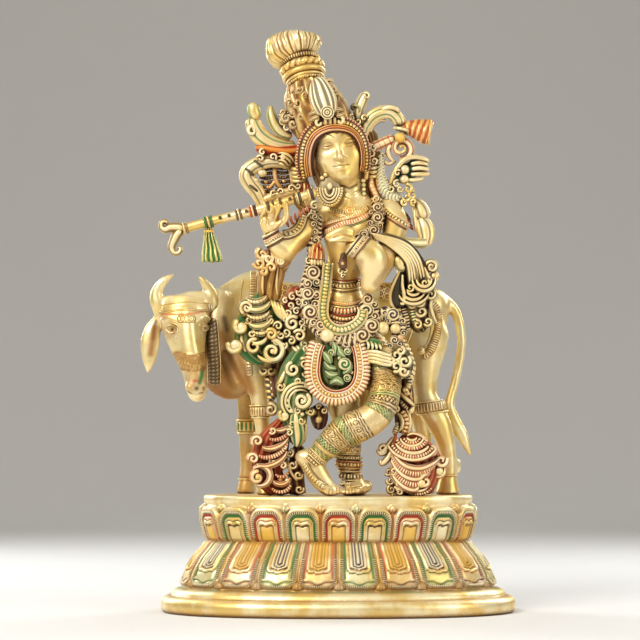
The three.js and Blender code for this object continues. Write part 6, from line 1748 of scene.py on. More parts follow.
def flute():
    parts = Parts()
    sweep(parts, [(x, y, d, 4.7) for x, y, d in FLUTE], plain("amber", 0.08), step=1.2, sides=32, ends=(0.4, 0.4))
    side = unit(np.array([0.26, 0.0, -0.965]))
    tilt = unit(np.array([-0.965, 0.0, -0.26]))
    for px, half, thick, paint, amount in (
        (312, 1.6, 1.5, "purple", 0.9), (309.3, 1.2, 1.9, "cream", 0.2), (300, 1.4, 1.5, "black", 0.85), (297.6, 1.1, 1.9, "cream", 0.2), (294.4, 1.3, 1.4, "brown", 0.85),
        (281, 1.3, 1.5, "black", 0.8), (278.8, 1.0, 1.8, "cream", 0.2), (273.4, 1.3, 1.4, "brown", 0.85), (268.6, 1.5, 1.6, "black", 0.85), (265.8, 1.1, 1.9, "cream", 0.2),
        (255.2, 1.6, 1.5, "maroon", 0.95), (252.6, 1.2, 1.9, "cream", 0.2), (250.4, 1.3, 1.4, "vermilion", 0.9), (241, 1.1, 1.3, "brown", 0.8), (238.8, 1.1, 1.7, "cream", 0.2), (236.6, 1.1, 1.3, "brown", 0.8),
        (211.5, 1.4, 1.9, "green", 0.9), (208.5, 1.4, 2.1, "cream", 0.2), (205.5, 1.4, 1.9, "green", 0.9), (187, 1.2, 1.6, "brown", 0.6), (184.2, 1.2, 1.9, "cream", 0.15)):
        y, d = flute_at(px)
        hoop(parts, px, y, d, 4.6, half, thick, plain(paint, amount), deep=1.0, sides=10, axis=tilt, side=side)
    for px in (246.5, 229, 220, 290):
        y, d = flute_at(px)
        ball(parts, at(px, y - 1.6, d + 5.0), (1.6, 1.0, 1.6), tint("brown", 0.9), 12, 8)
    # forked, curled mouth
    curl = grooved("black", 0.5, 4, 0.5)
    sweep(parts, [(185, 228.5, 55, 4.6), (178, 227.5, 55, 5.0), (171, 227.5, 55, 4.8), (165.2, 229.5, 55, 3.8), (161.4, 227, 55, 3.0), (162, 222.4, 55, 2.6), (166, 221.6, 55, 2.2), (167.8, 224.4, 55, 1.6)], curl, step=0.7, sides=24)
    sweep(parts, [(182, 229.5, 55, 4.6), (177.5, 234, 55, 4.8), (174, 240.5, 55, 4.6), (171.6, 247, 55, 3.8), (173.6, 252.2, 55, 3.0), (178.4, 252.6, 55, 2.6), (180.4, 248.6, 55, 2.2), (177.6, 247, 55, 1.6)], curl, step=0.7, sides=24)
    parts.piece("flute", "figure_brass", "flute_player")
    parts = Parts()
    # green tassel that hangs from it
    pleat = lambda S, T: 1.0 * np.cos(11 * T + 0.35 * np.sin(0.4 * S))
    # mint on the pleats' crests is painted highlight
    sweep(parts, [(208.5, 226, 56, 2.8), (209, 232, 55, 3.6), (209.4, 238, 54.5, 5.6), (210.6, 248, 54, 7.6), (211.4, 256, 54, 9.4), (212, 261, 54, 9.8), (212, 262.5, 54, 8)],
          (pleat, lambda S, T, h: over(over(bare(S.shape), "green", 0.95 * smooth(0.5, -0.2, h)), "mint", 0.35 * smooth(0.1, 0.6, h))), step=0.7, sides=120, ends=(1, 0.15))
    hoop(parts, 209, 231.5, 55, 3.6, 1.5, 1.7, plain("yellow", 0.5), axis=np.array([0, 0, 1.0]), side=np.array([1.0, 0, 0]), sides=10)
    hoop(parts, 209.1, 234.4, 55, 3.9, 0.9, 1.2, plain("green", 0.95), axis=np.array([0, 0, 1.0]), side=np.array([1.0, 0, 0]), sides=8)
    parts.piece("flute_tassel", "figure_brass", "flute_player")


def flower(parts, px, py, d, r, paint, turns=1.7, hand=1, start=0.0, tip=0.0, side=0.0, ridge=0.85, amount=0.95):
    rosette(parts, at(px, py, d), unit(np.array([side, -1.0, tip])), wide(r, d), paint, turns=turns, hand=hand, start=start, ridge=ridge, amount=amount, rings=13, spokes=40)


def strand(parts, path, style, step=0.7, sides=14, ends=(1, 1), power=2.0):
    sweep(parts, path, style, step=step, sides=sides, ends=ends, power=power)


def necklaces():
    parts = Parts()
    cord = lambda path, half, thick, style, lift=0.2: strap(parts, body_solid, path, half, thick, step=0.5, sides=14, relief=style[0], colour=style[1], lift=lift, near=95, far=0)
    # bead collar at the root of the neck
    strap(parts, head_solid, [(339.5, 203), (346, 206.5), (353, 206.8), (360, 204.5), (364, 202)], 1.2, 1.1, step=0.4, sides=14, relief=pearled("brown", 2.2, 0.8, 0.9, 1.4, 2)[0], colour=pearled("brown", 2.2, 0.8, 0.9, 1.4, 2)[1], near=80, far=5)
    cord([(330, 208.5), (338, 211.2), (346, 212.5), (354, 212.5), (362, 210), (368, 206)], 1.1, 0.9, ticked("brown", 2.2, 0.7, 0.6))
    cord([(328, 211.5), (336, 215.5), (343, 217.4)], 0.7, 0.8, plain("orange", 0.35))
    cord([(357, 217), (363, 214.4), (369.5, 210.5)], 0.7, 0.8, plain("orange", 0.35))
    # heart-shaped pendant
    q, out = onto(body_solid, [350.0], [210.6], near=95, far=0)
    R_ = lambda R, T: 1.2 * np.sqrt(np.clip(1 - 0.8 * R**2, 0, 1)) + 0.55 * smooth(-0.2, 0.4, np.cos(TAU * (R * 2.0)))
    C_ = lambda R, T, h: over(bare(R.shape), "orange", 0.75 * (np.cos(TAU * (R * 2.0)) < -0.25))
    disc(parts, q[0], out[0], 4.6, 4.2, R_, C_, rings=18, outline=lambda T: 1 + 0.22 * np.clip(-np.sin(T), 0, 1) ** 3 - 0.20 * np.exp(-(((T - math.pi / 2) / 0.35) ** 2)))
    for k, (x, y) in enumerate(((356.5, 212.4), (359.5, 211.6), (362.4, 210.4), (365, 208.6), (343.4, 212.4), (340.4, 212.0), (337.4, 211.2))):
        p, o = onto(body_solid, [x], [y + 1.4], near=95, far=0)
        ball(parts, p[0], (1.15, 0.9, 1.5), tint("cream", 0.3), 10, 7)
    # upper necklace, hatched, with a pointed middle
    cord([(319, 227.5), (326, 224.6), (334, 221.4), (341.5, 219.4), (350, 217), (359, 213.6), (368.5, 208.6)], 1.9, 0.95, ticked("orange", 1.9, 0.65, 0.7, None, 0.7))
    cord([(319, 230.3), (326.5, 227.2), (334.4, 224), (342.3, 221.9), (351.4, 219.3), (360.6, 215.8), (370, 211)], 0.6, 0.8, plain("vermilion", 0.75), 0.1)
    # lower one, red and white ribs
    cord([(319.5, 234.4), (325, 232.4), (331, 230), (337.5, 226.6), (344.6, 223.2), (352, 222.4), (360, 219.6), (368, 215.8), (374, 211.6)], 2.4, 1.0, ticked("vermilion", 2.3, 0.8, 0.8, None, 0.75))
    cord([(320, 237.6), (326, 235.8), (333, 232.6), (340, 228.4)], 0.7, 0.8, plain("red", 0.85), 0.1)
    cord([(345, 226.2), (353, 225.6), (361, 222.8), (369, 218.6)], 0.6, 0.8, plain("green", 0.6), 0.1)
    for x, y in ((330, 233.8), (334, 231.8), (327, 235), (338, 229.6)):
        p, o = onto(body_solid, [x], [y + 1.2], near=95, far=0)
        ball(parts, p[0], (1.1, 0.9, 1.3), tint("orange", 0.4), 8, 6)
    # oval ornament below the jaw: nested loops with a beaded rim
    for k, (rx, ry) in enumerate(((12.2, 17.0), (9.6, 14.0), (7.0, 10.8), (4.4, 7.4))):
        t = np.linspace(math.pi * 0.97, math.pi * 2.03, 18)
        rows = [(329.5 + rx * math.cos(a), 188.5 - ry * math.sin(a), 45 + 1.4 * k, 1.25 if k else 1.5) for a in t]
        style = pearled("black", 2.3, 0.7, 0.9, 1.4, 2) if k == 0 else (None, lambda S, T, h: over(over(bare(S.shape), "cream", 0.45), "black", 0.35 * (np.cos(T) < 0.1)))
        sweep(parts, rows, style, step=0.5, sides=12)
    sweep(parts, [(329.5, 174, 38, 4), (329.5, 182, 40, 9.5, 3), (329.5, 190, 40, 11.2, 3.4), (329.5, 198, 40, 9.4, 3.4), (329.5, 204, 40, 5, 3)], (None, lambda S, T, h: over(over(bare(S.shape), "cream", 0.3), "black", 0.45)), step=1.0, sides=30)
    ball(parts, at(329.5, 186.5, 47), (2.6, 2.2, 3.4), tint("cream", 0.4), 16, 11)
    for x, y in ((322, 178), (325.5, 175), (334, 175.5)):
        ball(parts, at(x, y, 43), (2.0, 1.6, 2.0), tint("cream", 0.3), 12, 8)
    # bead drops under the far ear
    for k, y in enumerate((180.5, 185, 189.5, 194, 198.5)):
        ball(parts, at(363.2 + 0.3 * k, y, 30), (2.3 - 0.12 * k, 2.0, 2.1), tint("mint" if k % 2 else "cream", 0.4), 14, 9)
    parts.piece("necklaces", "figure_brass", "flute_player")


def arm_rings():
    parts = Parts()
    # right upper arm: a dark band with a row of white beads
    for off, half, thick, style in ((0, 2.2, 1.5, pearled("black", 3.5, 0.95, 1.2, 1.9, 0.9)), (-2.9, 0.9, 1.5, plain("cream", 0.35)), (2.9, 0.9, 1.5, plain("cream", 0.35)), (-4.3, 0.7, 1.2, plain("black", 0.8)), (4.3, 0.7, 1.2, plain("maroon", 0.8))):
        path = [(317.5, 207.5), (311, 209.2), (306, 213), (303, 219), (300.4, 226), (295.4, 231.6), (289, 234.6), (282.5, 235.4)]
        p = np.array(path)
        along = unit(np.gradient(p, axis=0))
        p = p + np.stack([along[:, 1], -along[:, 0]], -1) * off
        strap(parts, body_solid, [tuple(v) for v in p], half * 0.9, thick, step=0.5, sides=16, relief=style[0], colour=style[1], near=95, far=0)
    # red, ribbed flap above it
    for k in range(7):
        x, y = 286.5 + 4.2 * k, 221 - 2.7 * k
        sweep(parts, [(x, y - 2.6, 38 - k, 1.0), (x + 0.4, y + 1.6, 41 - k, 1.7), (x + 2.6, y + 6.4, 41 - k, 1.1)], plain("vermilion" if k % 2 else "red", 0.75), step=0.8, sides=10)
    for x, y, r, s, h in ((315, 205.5, 4.6, 40, 1), (312, 216.5, 4.0, 200, -1), (313.5, 212, 2.6, 100, 1), (286, 218, 3.4, 120, 1)):
        scroll(parts, x, y, 38, r, 1.3, s, h, 1.7, 1.9, (None, lambda S, T, q: over(over(bare(S.shape), "cream", 0.4), "black", 0.6 * (np.cos(T) < 0.25))), step=0.6, sides=12)
    # left upper arm
    for off, half, thick, style in ((0, 1.9, 1.5, pearled("black", 3.0, 0.95, 1.2, 1.9, 0.9)), (-2.7, 0.8, 1.5, plain("cream", 0.35)), (2.6, 0.9, 1.5, plain("pink", 0.5)), (4.0, 0.6, 1.2, plain("maroon", 0.8))):
        path = [(383, 208.6), (388, 213.4), (394, 217.8), (400.5, 222.4), (408, 226.4)]
        p = np.array(path, float)
        along = unit(np.gradient(p, axis=0))
        p = p + np.stack([along[:, 1], -along[:, 0]], -1) * -off
        strap(parts, body_solid, [tuple(v) for v in p], half * 0.9, thick, step=0.5, sides=16, relief=style[0], colour=style[1], near=95, far=-10)
    for k in range(7):
        a = math.radians(58 - 15 * k)
        x0, y0 = 394 + 1.9 * k, 218.0 + 1.0 * k
        sweep(parts, [(x0, y0, 24, 1.3), (x0 + 5.4 * math.cos(a), y0 - 6.4 * math.sin(a) - 1, 22, 1.7), (x0 + 9.5 * math.cos(a), y0 - 11.5 * math.sin(a), 18, 1.1)], plain("maroon" if k % 2 else "red", 0.92), step=0.8, sides=10)
    sweep(parts, [(392, 214, 14, 3, 2), (399, 215, 14, 7, 2.4), (406, 221, 14, 6, 2.4), (410, 226, 14, 2, 2)], plain("maroon", 0.95), step=1.0, sides=14)
    # right wrist
    c0, c1 = np.array(at(279, 247, 51)), np.array(at(270, 231, 53))
    axis = unit(c1 - c0)
    for t, half, thick, style in ((0.28, 0.9, 1.2, plain("maroon", 0.9)), (0.40, 1.0, 1.6, plain("cream", 0.3)), (0.53, 1.1, 1.3, ticked("maroon", 2.0, 0.9, 0.5)), (0.66, 1.0, 1.6, plain("pink", 0.45)), (0.78, 1.0, 1.4, plain("maroon", 0.9)), (0.89, 1.0, 1.6, plain("cream", 0.3))):
        cuff(parts, body_solid, c0 + (c1 - c0) * t, axis, half, thick, step=0.7, sides=12, relief=style[0], colour=style[1], reach=14)
    # left wrist
    c0, c1 = np.array(at(366, 258, 62)), np.array(at(349, 243.5, 67))
    axis = unit(np.array([-0.78, 0, 0.62]))
    for t, half, thick, style in ((0.40, 0.8, 1.3, plain("brown", 0.8)), (0.48, 1.0, 1.7, plain("pink", 0.4)), (0.58, 1.3, 1.4, ticked("purple", 1.9, 0.9, 0.6)), (0.68, 1.0, 1.7, plain("cream", 0.3)), (0.76, 1.0, 1.4, plain("purple", 0.9)), (0.84, 1.0, 1.7, plain("cream", 0.3))):
        cuff(parts, body_solid, c0 + (c1 - c0) * t, axis, half, thick, step=0.7, sides=12, relief=style[0], colour=style[1], reach=16)
    # dark flower that hangs below the hand
    q = at(342, 266, 62)
    for k in range(9):
        a = TAU * k / 9 + 0.3
        x, y = 342.5 + 4.6 * math.cos(a), 263.5 - 5.6 * math.sin(a)
        sweep(parts, [(342.5, 263.5, 60, 1.8), (0.5 * (342.5 + x), 0.5 * (263.5 + y), 62, 2.0), (x, y, 58, 0.8)], (None, lambda S, T, h: over(bare(S.shape), "maroon", 0.85)), step=0.7, sides=10)
    ball(parts, at(342.5, 263.5, 63), (1.6, 1.2, 1.6), tint("orange", 0.4), 12, 8)
    for x, y, r, s in ((341, 271.5, 3.2, 60), (345.5, 270, 2.8, 140), (343, 276, 2.4, 0)):
        scroll(parts, x, y, 57, r, 1.2, s, 1, 1.3, 1.5, grooved("brown", 0.9, 3, 0.4), step=0.6, sides=10)
    sweep(parts, [(344, 252, 52, 3), (343, 262, 51, 4.4, 3), (343, 272, 48, 3.4, 3), (343, 279, 45, 1.6)], plain("maroon", 0.8), step=1, sides=14)
    parts.piece("arm_rings", "figure_brass", "flute_player")


def waist_bands():
    parts = Parts()
    cord = lambda path, half, thick, style, lift=0.2: strap(parts, body_solid, path, half, thick, step=0.5, sides=16, relief=style[0], colour=style[1], lift=lift, near=95, far=0)
    bow = lambda y, dip, x0=325.5, x1=362.5: [(x0, y), (0.75 * x0 + 0.25 * x1, y + dip * 0.7), (0.5 * (x0 + x1), y + dip), (0.25 * x0 + 0.75 * x1, y + dip * 0.8), (x1, y + dip * 0.35)]
    # band under the chest
    cord(bow(277.6, 3.4, 327, 360), 0.6, 0.9, plain("red", 0.85))
    cord(bow(279.2, 3.6, 327, 360), 0.7, 1.1, plain("cream", 0.2))
    cord(bow(282.8, 4.0, 326.5, 360), 1.9, 1.0, pearled("black", 3.2, 0.95, 1.0, 1.8, 0.95))
    cord(bow(286.4, 4.2, 326.5, 360), 0.7, 1.1, plain("cream", 0.2))
    cord(bow(288.4, 4.2, 326.5, 360), 0.5, 0.8, plain("brown", 0.7))
    # belts over the hips
    cord(bow(300.6, 3.4), 1.3, 1.1, ticked("orange", 2.0, 0.8, 0.7))
    cord(bow(303.4, 4.0), 0.9, 1.3, plain("amber", 0.1))
    cord(bow(306.6, 4.8), 2.0, 1.4, ticked("vermilion", 3.0, 0.9, 1.1, None, 0.9))
    cord(bow(310.4, 5.6), 0.7, 1.2, plain("red", 0.9))
    cord(bow(313.4, 6.4), 1.6, 1.4, pearled("red", 2.9, 0.95, 1.1, 1.5, 0.9))
    cord(bow(317.0, 7.0), 1.1, 1.2, ticked("red", 2.6, 0.9, 0.8))
    cord(bow(319.8, 7.6), 0.7, 1.3, plain("maroon", 0.9))
    # pleated edge below
    for k in range(11):
        x = 328 + 3.0 * k
        y = 322 + 7.2 * (1 - ((k - 5) / 5.6) ** 2)
        sweep(parts, [(x, y - 2, 46, 1.6), (x + 0.2, y + 3, 48, 2.0), (x + 0.4, y + 9, 47, 1.5)], (None, lambda S, T, h: over(bare(S.shape), "vermilion", 0.45 + 0.4 * (np.cos(T) < 0.5))), step=0.8, sides=12)
    # wide ring of beads that hangs to the lap: green channel between two cords
    ring = [(328.5, 262, 50), (327.4, 272, 48), (326.2, 284, 47), (324.6, 296, 47), (323.2, 308, 48), (324, 318, 49), (329, 325.6, 51), (337, 329.6, 52), (346, 329.4, 52), (355, 325, 51.5), (361.6, 318, 50.5), (363.4, 309, 49)]
    sweep(parts, [(x, y, d, 4.6, 2.8) for x, y, d in ring], pearled("green", 3.3, 0.95, 1.2, 2.3, 0.98), step=0.5, sides=28, power=2.6)
    p = np.array(ring)
    along = unit(np.gradient(p[:, :2], axis=0))
    for off, paint, amount in ((-4.6, "cream", 0.3), (4.6, "cream", 0.3)):
        q = p[:, :2] + np.stack([along[:, 1], -along[:, 0]], -1) * off
        sweep(parts, [(q[i, 0], q[i, 1], p[i, 2] + 0.6, 1.1, 1.6) for i in range(len(p))], plain(paint, amount), step=0.8, sides=10)
    parts.piece("waist_bands", "figure_brass", "flute_player")


def garlands():
    parts = Parts()
    ground = lambda paint: (lambda S, T: 0.7 * np.cos(TAU * S / 4.2 + 2.4 * np.sin(2 * T)) * (np.cos(T) > -0.3), lambda S, T, h: over(over(bare(S.shape), "cream", 0.5), paint, 0.95 * (h < 0.2)))
    # strand that falls from the right shoulder to the lap and up again
    main = [(318, 214, 34, 4, 4), (315.4, 228, 38, 5, 4.6), (314.2, 244, 41, 5.4, 5), (314.6, 258, 42, 5.8, 5), (313.4, 271, 43, 7.0, 5.5), (310.4, 283, 43, 7.2, 5.5), (309.4, 296, 43, 7.2, 5.5), (311.4, 310, 44, 7.4, 5.8), (318, 323, 46, 7.6, 6), (328, 333.5, 48, 7.6, 6), (340, 338.6, 49, 7.4, 6), (353, 337.6, 49, 7.4, 6), (364.6, 331.4, 47, 7.6, 6), (370.6, 320, 46, 7.6, 6), (368.4, 308, 44, 7, 5.6), (366.4, 297, 42, 5, 4.6)]
    sweep(parts, [(x, y, d - 1.0, a * 1.30, b * 0.8) for x, y, d, a, b in main], ground("maroon"), step=0.7, sides=40, power=2.4)
    k = 0
    for x, y, r, h, t in ((313.2, 272.6, 6.6, 1, 0.4), (307.6, 283.6, 4.2, -1, 2.0), (316.6, 282.4, 3.8, 1, 1.0), (307.8, 293.6, 6.0, 1, 1.2), (316.4, 294.6, 3.8, -1, 3.0), (305.4, 303, 3.6, -1, 0.4), (315.6, 304, 4.0, 1, 2.2), (310.4, 312.2, 7.0, 1, 2.6), (318.8, 315.2, 3.6, -1, 0.2), (313.4, 323, 4.0, -1, 1.0), (320.8, 324.6, 5.6, 1, 0.0),
                          (319.6, 333.6, 3.6, -1, 2.0), (338.2, 338.6, 5.4, -1, 0.3), (345.6, 344.0, 4.8, 1, 3.4), (352.8, 336.6, 4.8, 1, 0.7), (333.6, 329.6, 3.0, 1, 1.0), (362.4, 335.4, 7.0, 1, 1.0), (356.6, 343.2, 3.4, -1, 2.0), (372, 325.8, 6.8, 1, 2.0), (364.2, 325.2, 3.6, -1, 0.4), (366.8, 310.8, 6.6, 1, 2.9), (374.4, 315.8, 4.0, -1, 1.4), (367.6, 299.2, 5.4, 1, 1.0), (374.6, 304.6, 3.8, 1, 0.0)):
        k += 1
        flower(parts, x, y, 49 if y > 320 else 47.5, r * 1.12, "maroon" if k % 3 else "black", hand=h, start=t, turns=1.8 if r > 5 else 1.3)
    ball(parts, at(327.4, 335.6, 51.5), (6.4, 4.6, 6.2), tint("cream", 0.45), 24, 16)
    ball(parts, at(382.6, 328.2, 46), (6.0, 4.6, 6.0), tint("cream", 0.4), 22, 15)
    ball(parts, at(378, 320.5, 44), (3.0, 2.6, 2.6), tint("cream", 0.3), 14, 10)
    # spiral column under the right shoulder, its red cone and tassel
    for x, y, r, h, t in ((315.4, 217, 3.6, 1, 0.4), (313.6, 224.6, 3.4, -1, 1.0), (315.2, 232.0, 3.6, 1, 2.2), (315.6, 240.4, 4.2, -1, 3.0)):
        flower(parts, x, y, 42, r, "brown", hand=h, start=t, turns=1.4)
    sweep(parts, [(318, 243, 48, 3.0), (317.4, 248, 49, 5.4, 4.6), (317, 253.6, 49, 7.2, 5.4), (316.6, 258, 48, 7.4, 5.4), (316.4, 260, 48, 6, 4.6)], (lambda S, T: 0.9 * np.cos(9 * T), lambda S, T, h: over(bare(S.shape), "vermilion", 0.85 * smooth(0.4, -0.1, h))), step=0.7, sides=72, ends=(1, 0.2))
    for dx in (-4, -1.5, 1.5, 4):
        sweep(parts, [(317 + dx, 258, 48, 1.7), (316.6 + dx * 1.15, 262, 49, 2.0), (316.4 + dx * 1.2, 266, 48, 1.2)], plain("cream", 0.3), step=0.8, sides=10)
    for x, y, r, s, h in ((309, 261, 3.4, 90, 1), (322.6, 262, 3.2, 60, -1), (311, 251, 2.6, 0, 1)):
        scroll(parts, x, y, 46, r, 1.2, s, h, 1.5, 1.7, grooved("maroon", 0.9, 3, 0.45), step=0.6, sides=10)
    for x, y in ((314.5, 249.5), (321, 249), (318, 246)):
        ball(parts, at(x, y, 54), (1.3, 1.0, 1.3), tint("red", 0.9), 10, 7)
    parts.piece("garland", "figure_brass", "flute_player")
    parts = Parts()
    # strand that comes over the left shoulder
    right = [(375, 196, 30, 4.6, 4), (377.4, 206, 34, 5.2, 4.6), (377.6, 218, 37, 5.6, 5), (374.4, 229, 42, 5.8, 5), (367, 235.4, 48, 5.4, 5), (359, 236, 52, 4.4, 4)]
    sweep(parts, [(x, y, d - 1, a * 1.15, b * 0.8) for x, y, d, a, b in right], ground("maroon"), step=0.7, sides=36)
    for x, y, r, h, t, d in ((376.6, 199.4, 4.0, 1, 0.6, 36), (377.6, 207.4, 5.0, 1, 2.0, 38), (371.6, 212.6, 3.0, -1, 1.0, 38), (377.6, 217.8, 5.6, 1, 1.0, 41), (382.8, 212.8, 3.0, -1, 0.3, 37), (373.8, 230.4, 5.8, 1, 0.4, 48), (379.8, 225.4, 3.2, -1, 2.2, 43), (370.2, 223.4, 3.2, 1, 1.8, 44), (363.6, 234.8, 4.8, -1, 2.6, 54), (366.6, 240.6, 3.4, 1, 0.6, 60), (357.8, 236.8, 3.4, 1, 0.6, 58)):
        flower(parts, x, y, d, r, "maroon", hand=h, start=t, turns=1.7 if r > 4 else 1.3)
    # coil of cord on the shoulder
    for k in range(2):
        sweep(parts, [(371.6, 200 + 2.6 * k, 33, 1.2), (376, 198.6 + 2.6 * k, 37, 1.5), (381, 201 + 2.6 * k, 33, 1.2)], plain("amber", 0.3), step=0.7, sides=10)
    # second strand on the left hip, with pearls and a twisted cord below
    low = [(377, 318, 42, 6.5, 5), (386, 314.6, 41, 7, 5.4), (394, 318.6, 41, 7.2, 5.6), (398, 328, 41, 7.2, 5.6), (400, 338, 40, 6, 5)]
    sweep(parts, [(x, y, d + 0.5, a * 1.2, b) for x, y, d, a, b in low], ground("purple"), step=0.7, sides=36)
    for x, y, r, h, t in ((392.8, 314.6, 6.6, 1, 0.4), (384.4, 313.6, 3.8, -1, 1.0), (402.4, 321.4, 3.8, 1, 2.0), (394.6, 340.2, 4.8, 1, 1.2), (403.4, 333.2, 3.6, -1, 0.6), (387.6, 321.6, 3.4, 1, 2.6), (400.0, 344.0, 3.6, -1, 0.2), (390.2, 346.4, 3.4, 1, 2.0)):
        flower(parts, x, y, 45, r, "purple", hand=h, start=t, turns=1.7 if r > 4 else 1.3)
    ball(parts, at(395.4, 328.6, 47), (4.6, 3.8, 4.6), tint("cream", 0.4), 20, 14)
    ball(parts, at(400.2, 337.6, 45), (3.2, 2.8, 3.2), tint("pink", 0.4), 16, 11)
    rope = [(400, 336, 42, 3.0), (404.6, 345.6, 41, 3.3), (409.2, 356.6, 40, 3.4), (411.8, 368, 38, 3.4), (409.4, 380, 37, 3.2), (406, 390, 36, 2.8), (405, 400, 35, 2.4)]
    sweep(parts, rope, (lambda S, T: 0.8 * np.abs(np.cos(T + 0.75 * S)), lambda S, T, h: over(bare(S.shape), "purple", 0.9 * (h < 0.35))), step=0.5, sides=28)
    parts.piece("side_garland", "figure_brass", "flute_player")


flute()
necklaces()
arm_rings()
waist_bands()
garlands()


# ------------------------------------------------------------------ trousers with engraved bands, anklets
def engraved(bands, radius, depth=0.60, waves=0.0):
    """Relief and colour from a list of (start, end, kind, paint) along a limb, in millimetres."""

    def cell(S, T, s0, s1, pitch):
        n = max(4, round(TAU * radius / pitch))
        u = (frac(T * n / TAU) - 0.5) * pitch
        v = S - 0.5 * (s0 + s1)
        return u, v

    def parts_(S, T):
        h = np.zeros(S.shape)
        c = bare(S.shape)
        W = S + waves * np.sin(T)
        for s0, s1, kind, paint in bands:
            on = (W >= s0) & (W < s1)
            if kind == "lines":
                g = smooth(0.25, 0.75, np.cos(TAU * (W - s0) / ((s1 - s0) / max(1, round((s1 - s0) / 1.9)))))
            elif kind == "curls":
                u, v = cell(W, T, s0, s1, 1.05 * (s1 - s0))
                r = np.hypot(u, v) / (0.5 * (s1 - s0))
                w = frac(1.6 * r - np.arctan2(v, u) / TAU)
                g = smooth(0.30, 0.42, 0.5 - np.abs(w - 0.5)) * (r < 0.95) * (r > 0.12)
            elif kind == "hatch":
                g = smooth(0.1, 0.6, np.cos(TAU * (radius * T * 0.55 + 0.8 * W) / 1.9))
            elif kind == "net":
                g = np.maximum(smooth(0.55, 0.9, np.cos(TAU * (radius * T + W) / 4.2)), smooth(0.55, 0.9, np.cos(TAU * (radius * T - W) / 4.2)))
            elif kind == "beads":
                n = max(6, round(TAU * radius / (s1 - s0)))
                f = 2 * frac(T * n / TAU) - 1
                v = (W - 0.5 * (s0 + s1)) / (0.5 * (s1 - s0))
                b = np.sqrt(np.clip(1 - f**2 - v**2, 0, 1))
                h = h + on * 0.9 * b
                g = (b < 0.2) * 1.0
            elif kind == "raised":
                h = h + on * 0.9
                g = 0 * W
            else:
                g = 0 * W
            h = h - on * depth * g
            c = over(c, "amber" if paint in ("brown", "black") else paint, 0.26 * on)
            c = over(c, "black" if paint == "brown" else paint, 0.97 * on * np.clip(1.25 * g, 0, 1))
        edge = np.zeros(S.shape)
        for s0, s1, kind, paint in bands:
            edge = np.maximum(edge, np.exp(-(((W - s0) / 0.42) ** 2)))
        return h - 0.35 * edge, over(c, "brown", 0.55 * edge)

    return (lambda S, T: parts_(S, T)[0]), (lambda S, T, h: parts_(S, T)[1])


def trousers():
    # seat and hips as one blended mass
    b = Blob((-46, -66, 196), (76, 8, 268), 1.5)
    b.limb(line((346, 316, 26, 25.5, 19), (347.5, 334, 26, 31, 21.5), (350, 352, 26, 33, 22.5), (352, 368, 27, 30, 21), (352, 380, 27, 22, 16)), 4, 3)
    b.ball(at(368, 356, 30), (22, 20, 22), 6)
    b.ball(at(334, 354, 24), (19, 18, 22), 6)
    b.ball(at(350, 350, 10), (25, 11, 20), 6)
    v, f, n = b.skin()
    px, py = seen(v)
    c = bare((len(v),), "amber", 0.0)
    wave = np.cos(TAU * (v[:, 2] + 0.10 * np.abs(v[:, 0] - 14)) / 3.2)
    v = v + n * (0.28 * wave)[:, None]
    c = over(c, "brown", 0.55 * smooth(-0.4, -0.9, wave))
    parts = Parts()
    parts.add(v, f, c)
    # standing leg
    sweep(parts, [(342, 352, 22, 19), (343, 380, 24, 17, 17), (345, 405, 26, 15.5, 15.5), (347, 425, 25, 14.6, 14.6), (348.2, 445, 24, 13.4, 13), (348.6, 458, 24, 12.2, 12), (349.4, 468, 24.5, 11.2, 11), (350.6, 475, 25, 10.2, 10)],
          engraved([(62, 66, "lines", "brown"), (66, 72, "curls", "black"), (72, 76, "lines", "brown"), (76, 82, "hatch", "green"), (82, 85, "lines", "black"), (85, 91, "curls", "brown"), (91, 94, "lines", "black"), (94, 99, "net", "green"), (99, 102, "lines", "brown"), (102, 107, "curls", "black"), (107, 111, "lines", "brown")], 11.5), step=0.6, sides=120, ends=(0.4, 0.3))
    # bent leg in front of it: hip, knee, shin, ankle
    path = [(378, 350, 34, 19, 17), (383, 364, 38, 18, 17.5), (385, 380, 42, 16.6, 17), (384.4, 394, 48, 16, 16.5), (380.6, 408, 53, 16, 16), (371, 419.6, 56, 16, 15.6), (358, 426, 56, 16.8, 15.6), (345, 431.5, 55, 16.6, 14.6), (334, 439.6, 53, 14.6, 13.4), (324.6, 449, 50.5, 12.2, 11.4), (317.5, 456.5, 49, 10.4, 10), (313, 461, 48, 9.2, 9)]
    sweep(parts, path,
          engraved([(12, 15, "lines", "brown"), (15, 22, "curls", "green"), (22, 29, "lines", "brown"), (29, 36, "hatch", "black"), (36, 39.5, "lines", "brown"), (39.5, 45, "curls", "black"), (45, 49.5, "lines", "green"), (49.5, 54, "net", "brown"), (54, 58.5, "lines", "maroon"), (58.5, 64, "hatch", "green"), (64, 76, "plain", "brown"), (76, 80.5, "lines", "maroon"), (80.5, 87, "curls", "brown"), (87, 91, "lines", "black"), (91, 97, "hatch", "green"), (97, 101, "lines", "brown"), (101, 107, "curls", "brown"), (107, 111, "lines", "black"), (111, 117, "net", "green"), (117, 121, "raised", "black"), (121, 126, "lines", "green"), (126, 131, "curls", "black"), (131, 138, "lines", "brown")], 14.5, waves=-1.5),
          step=0.70, sides=144, ends=(0.4, 0.3))
    parts.piece("trousers", "figure_brass", "flute_player")


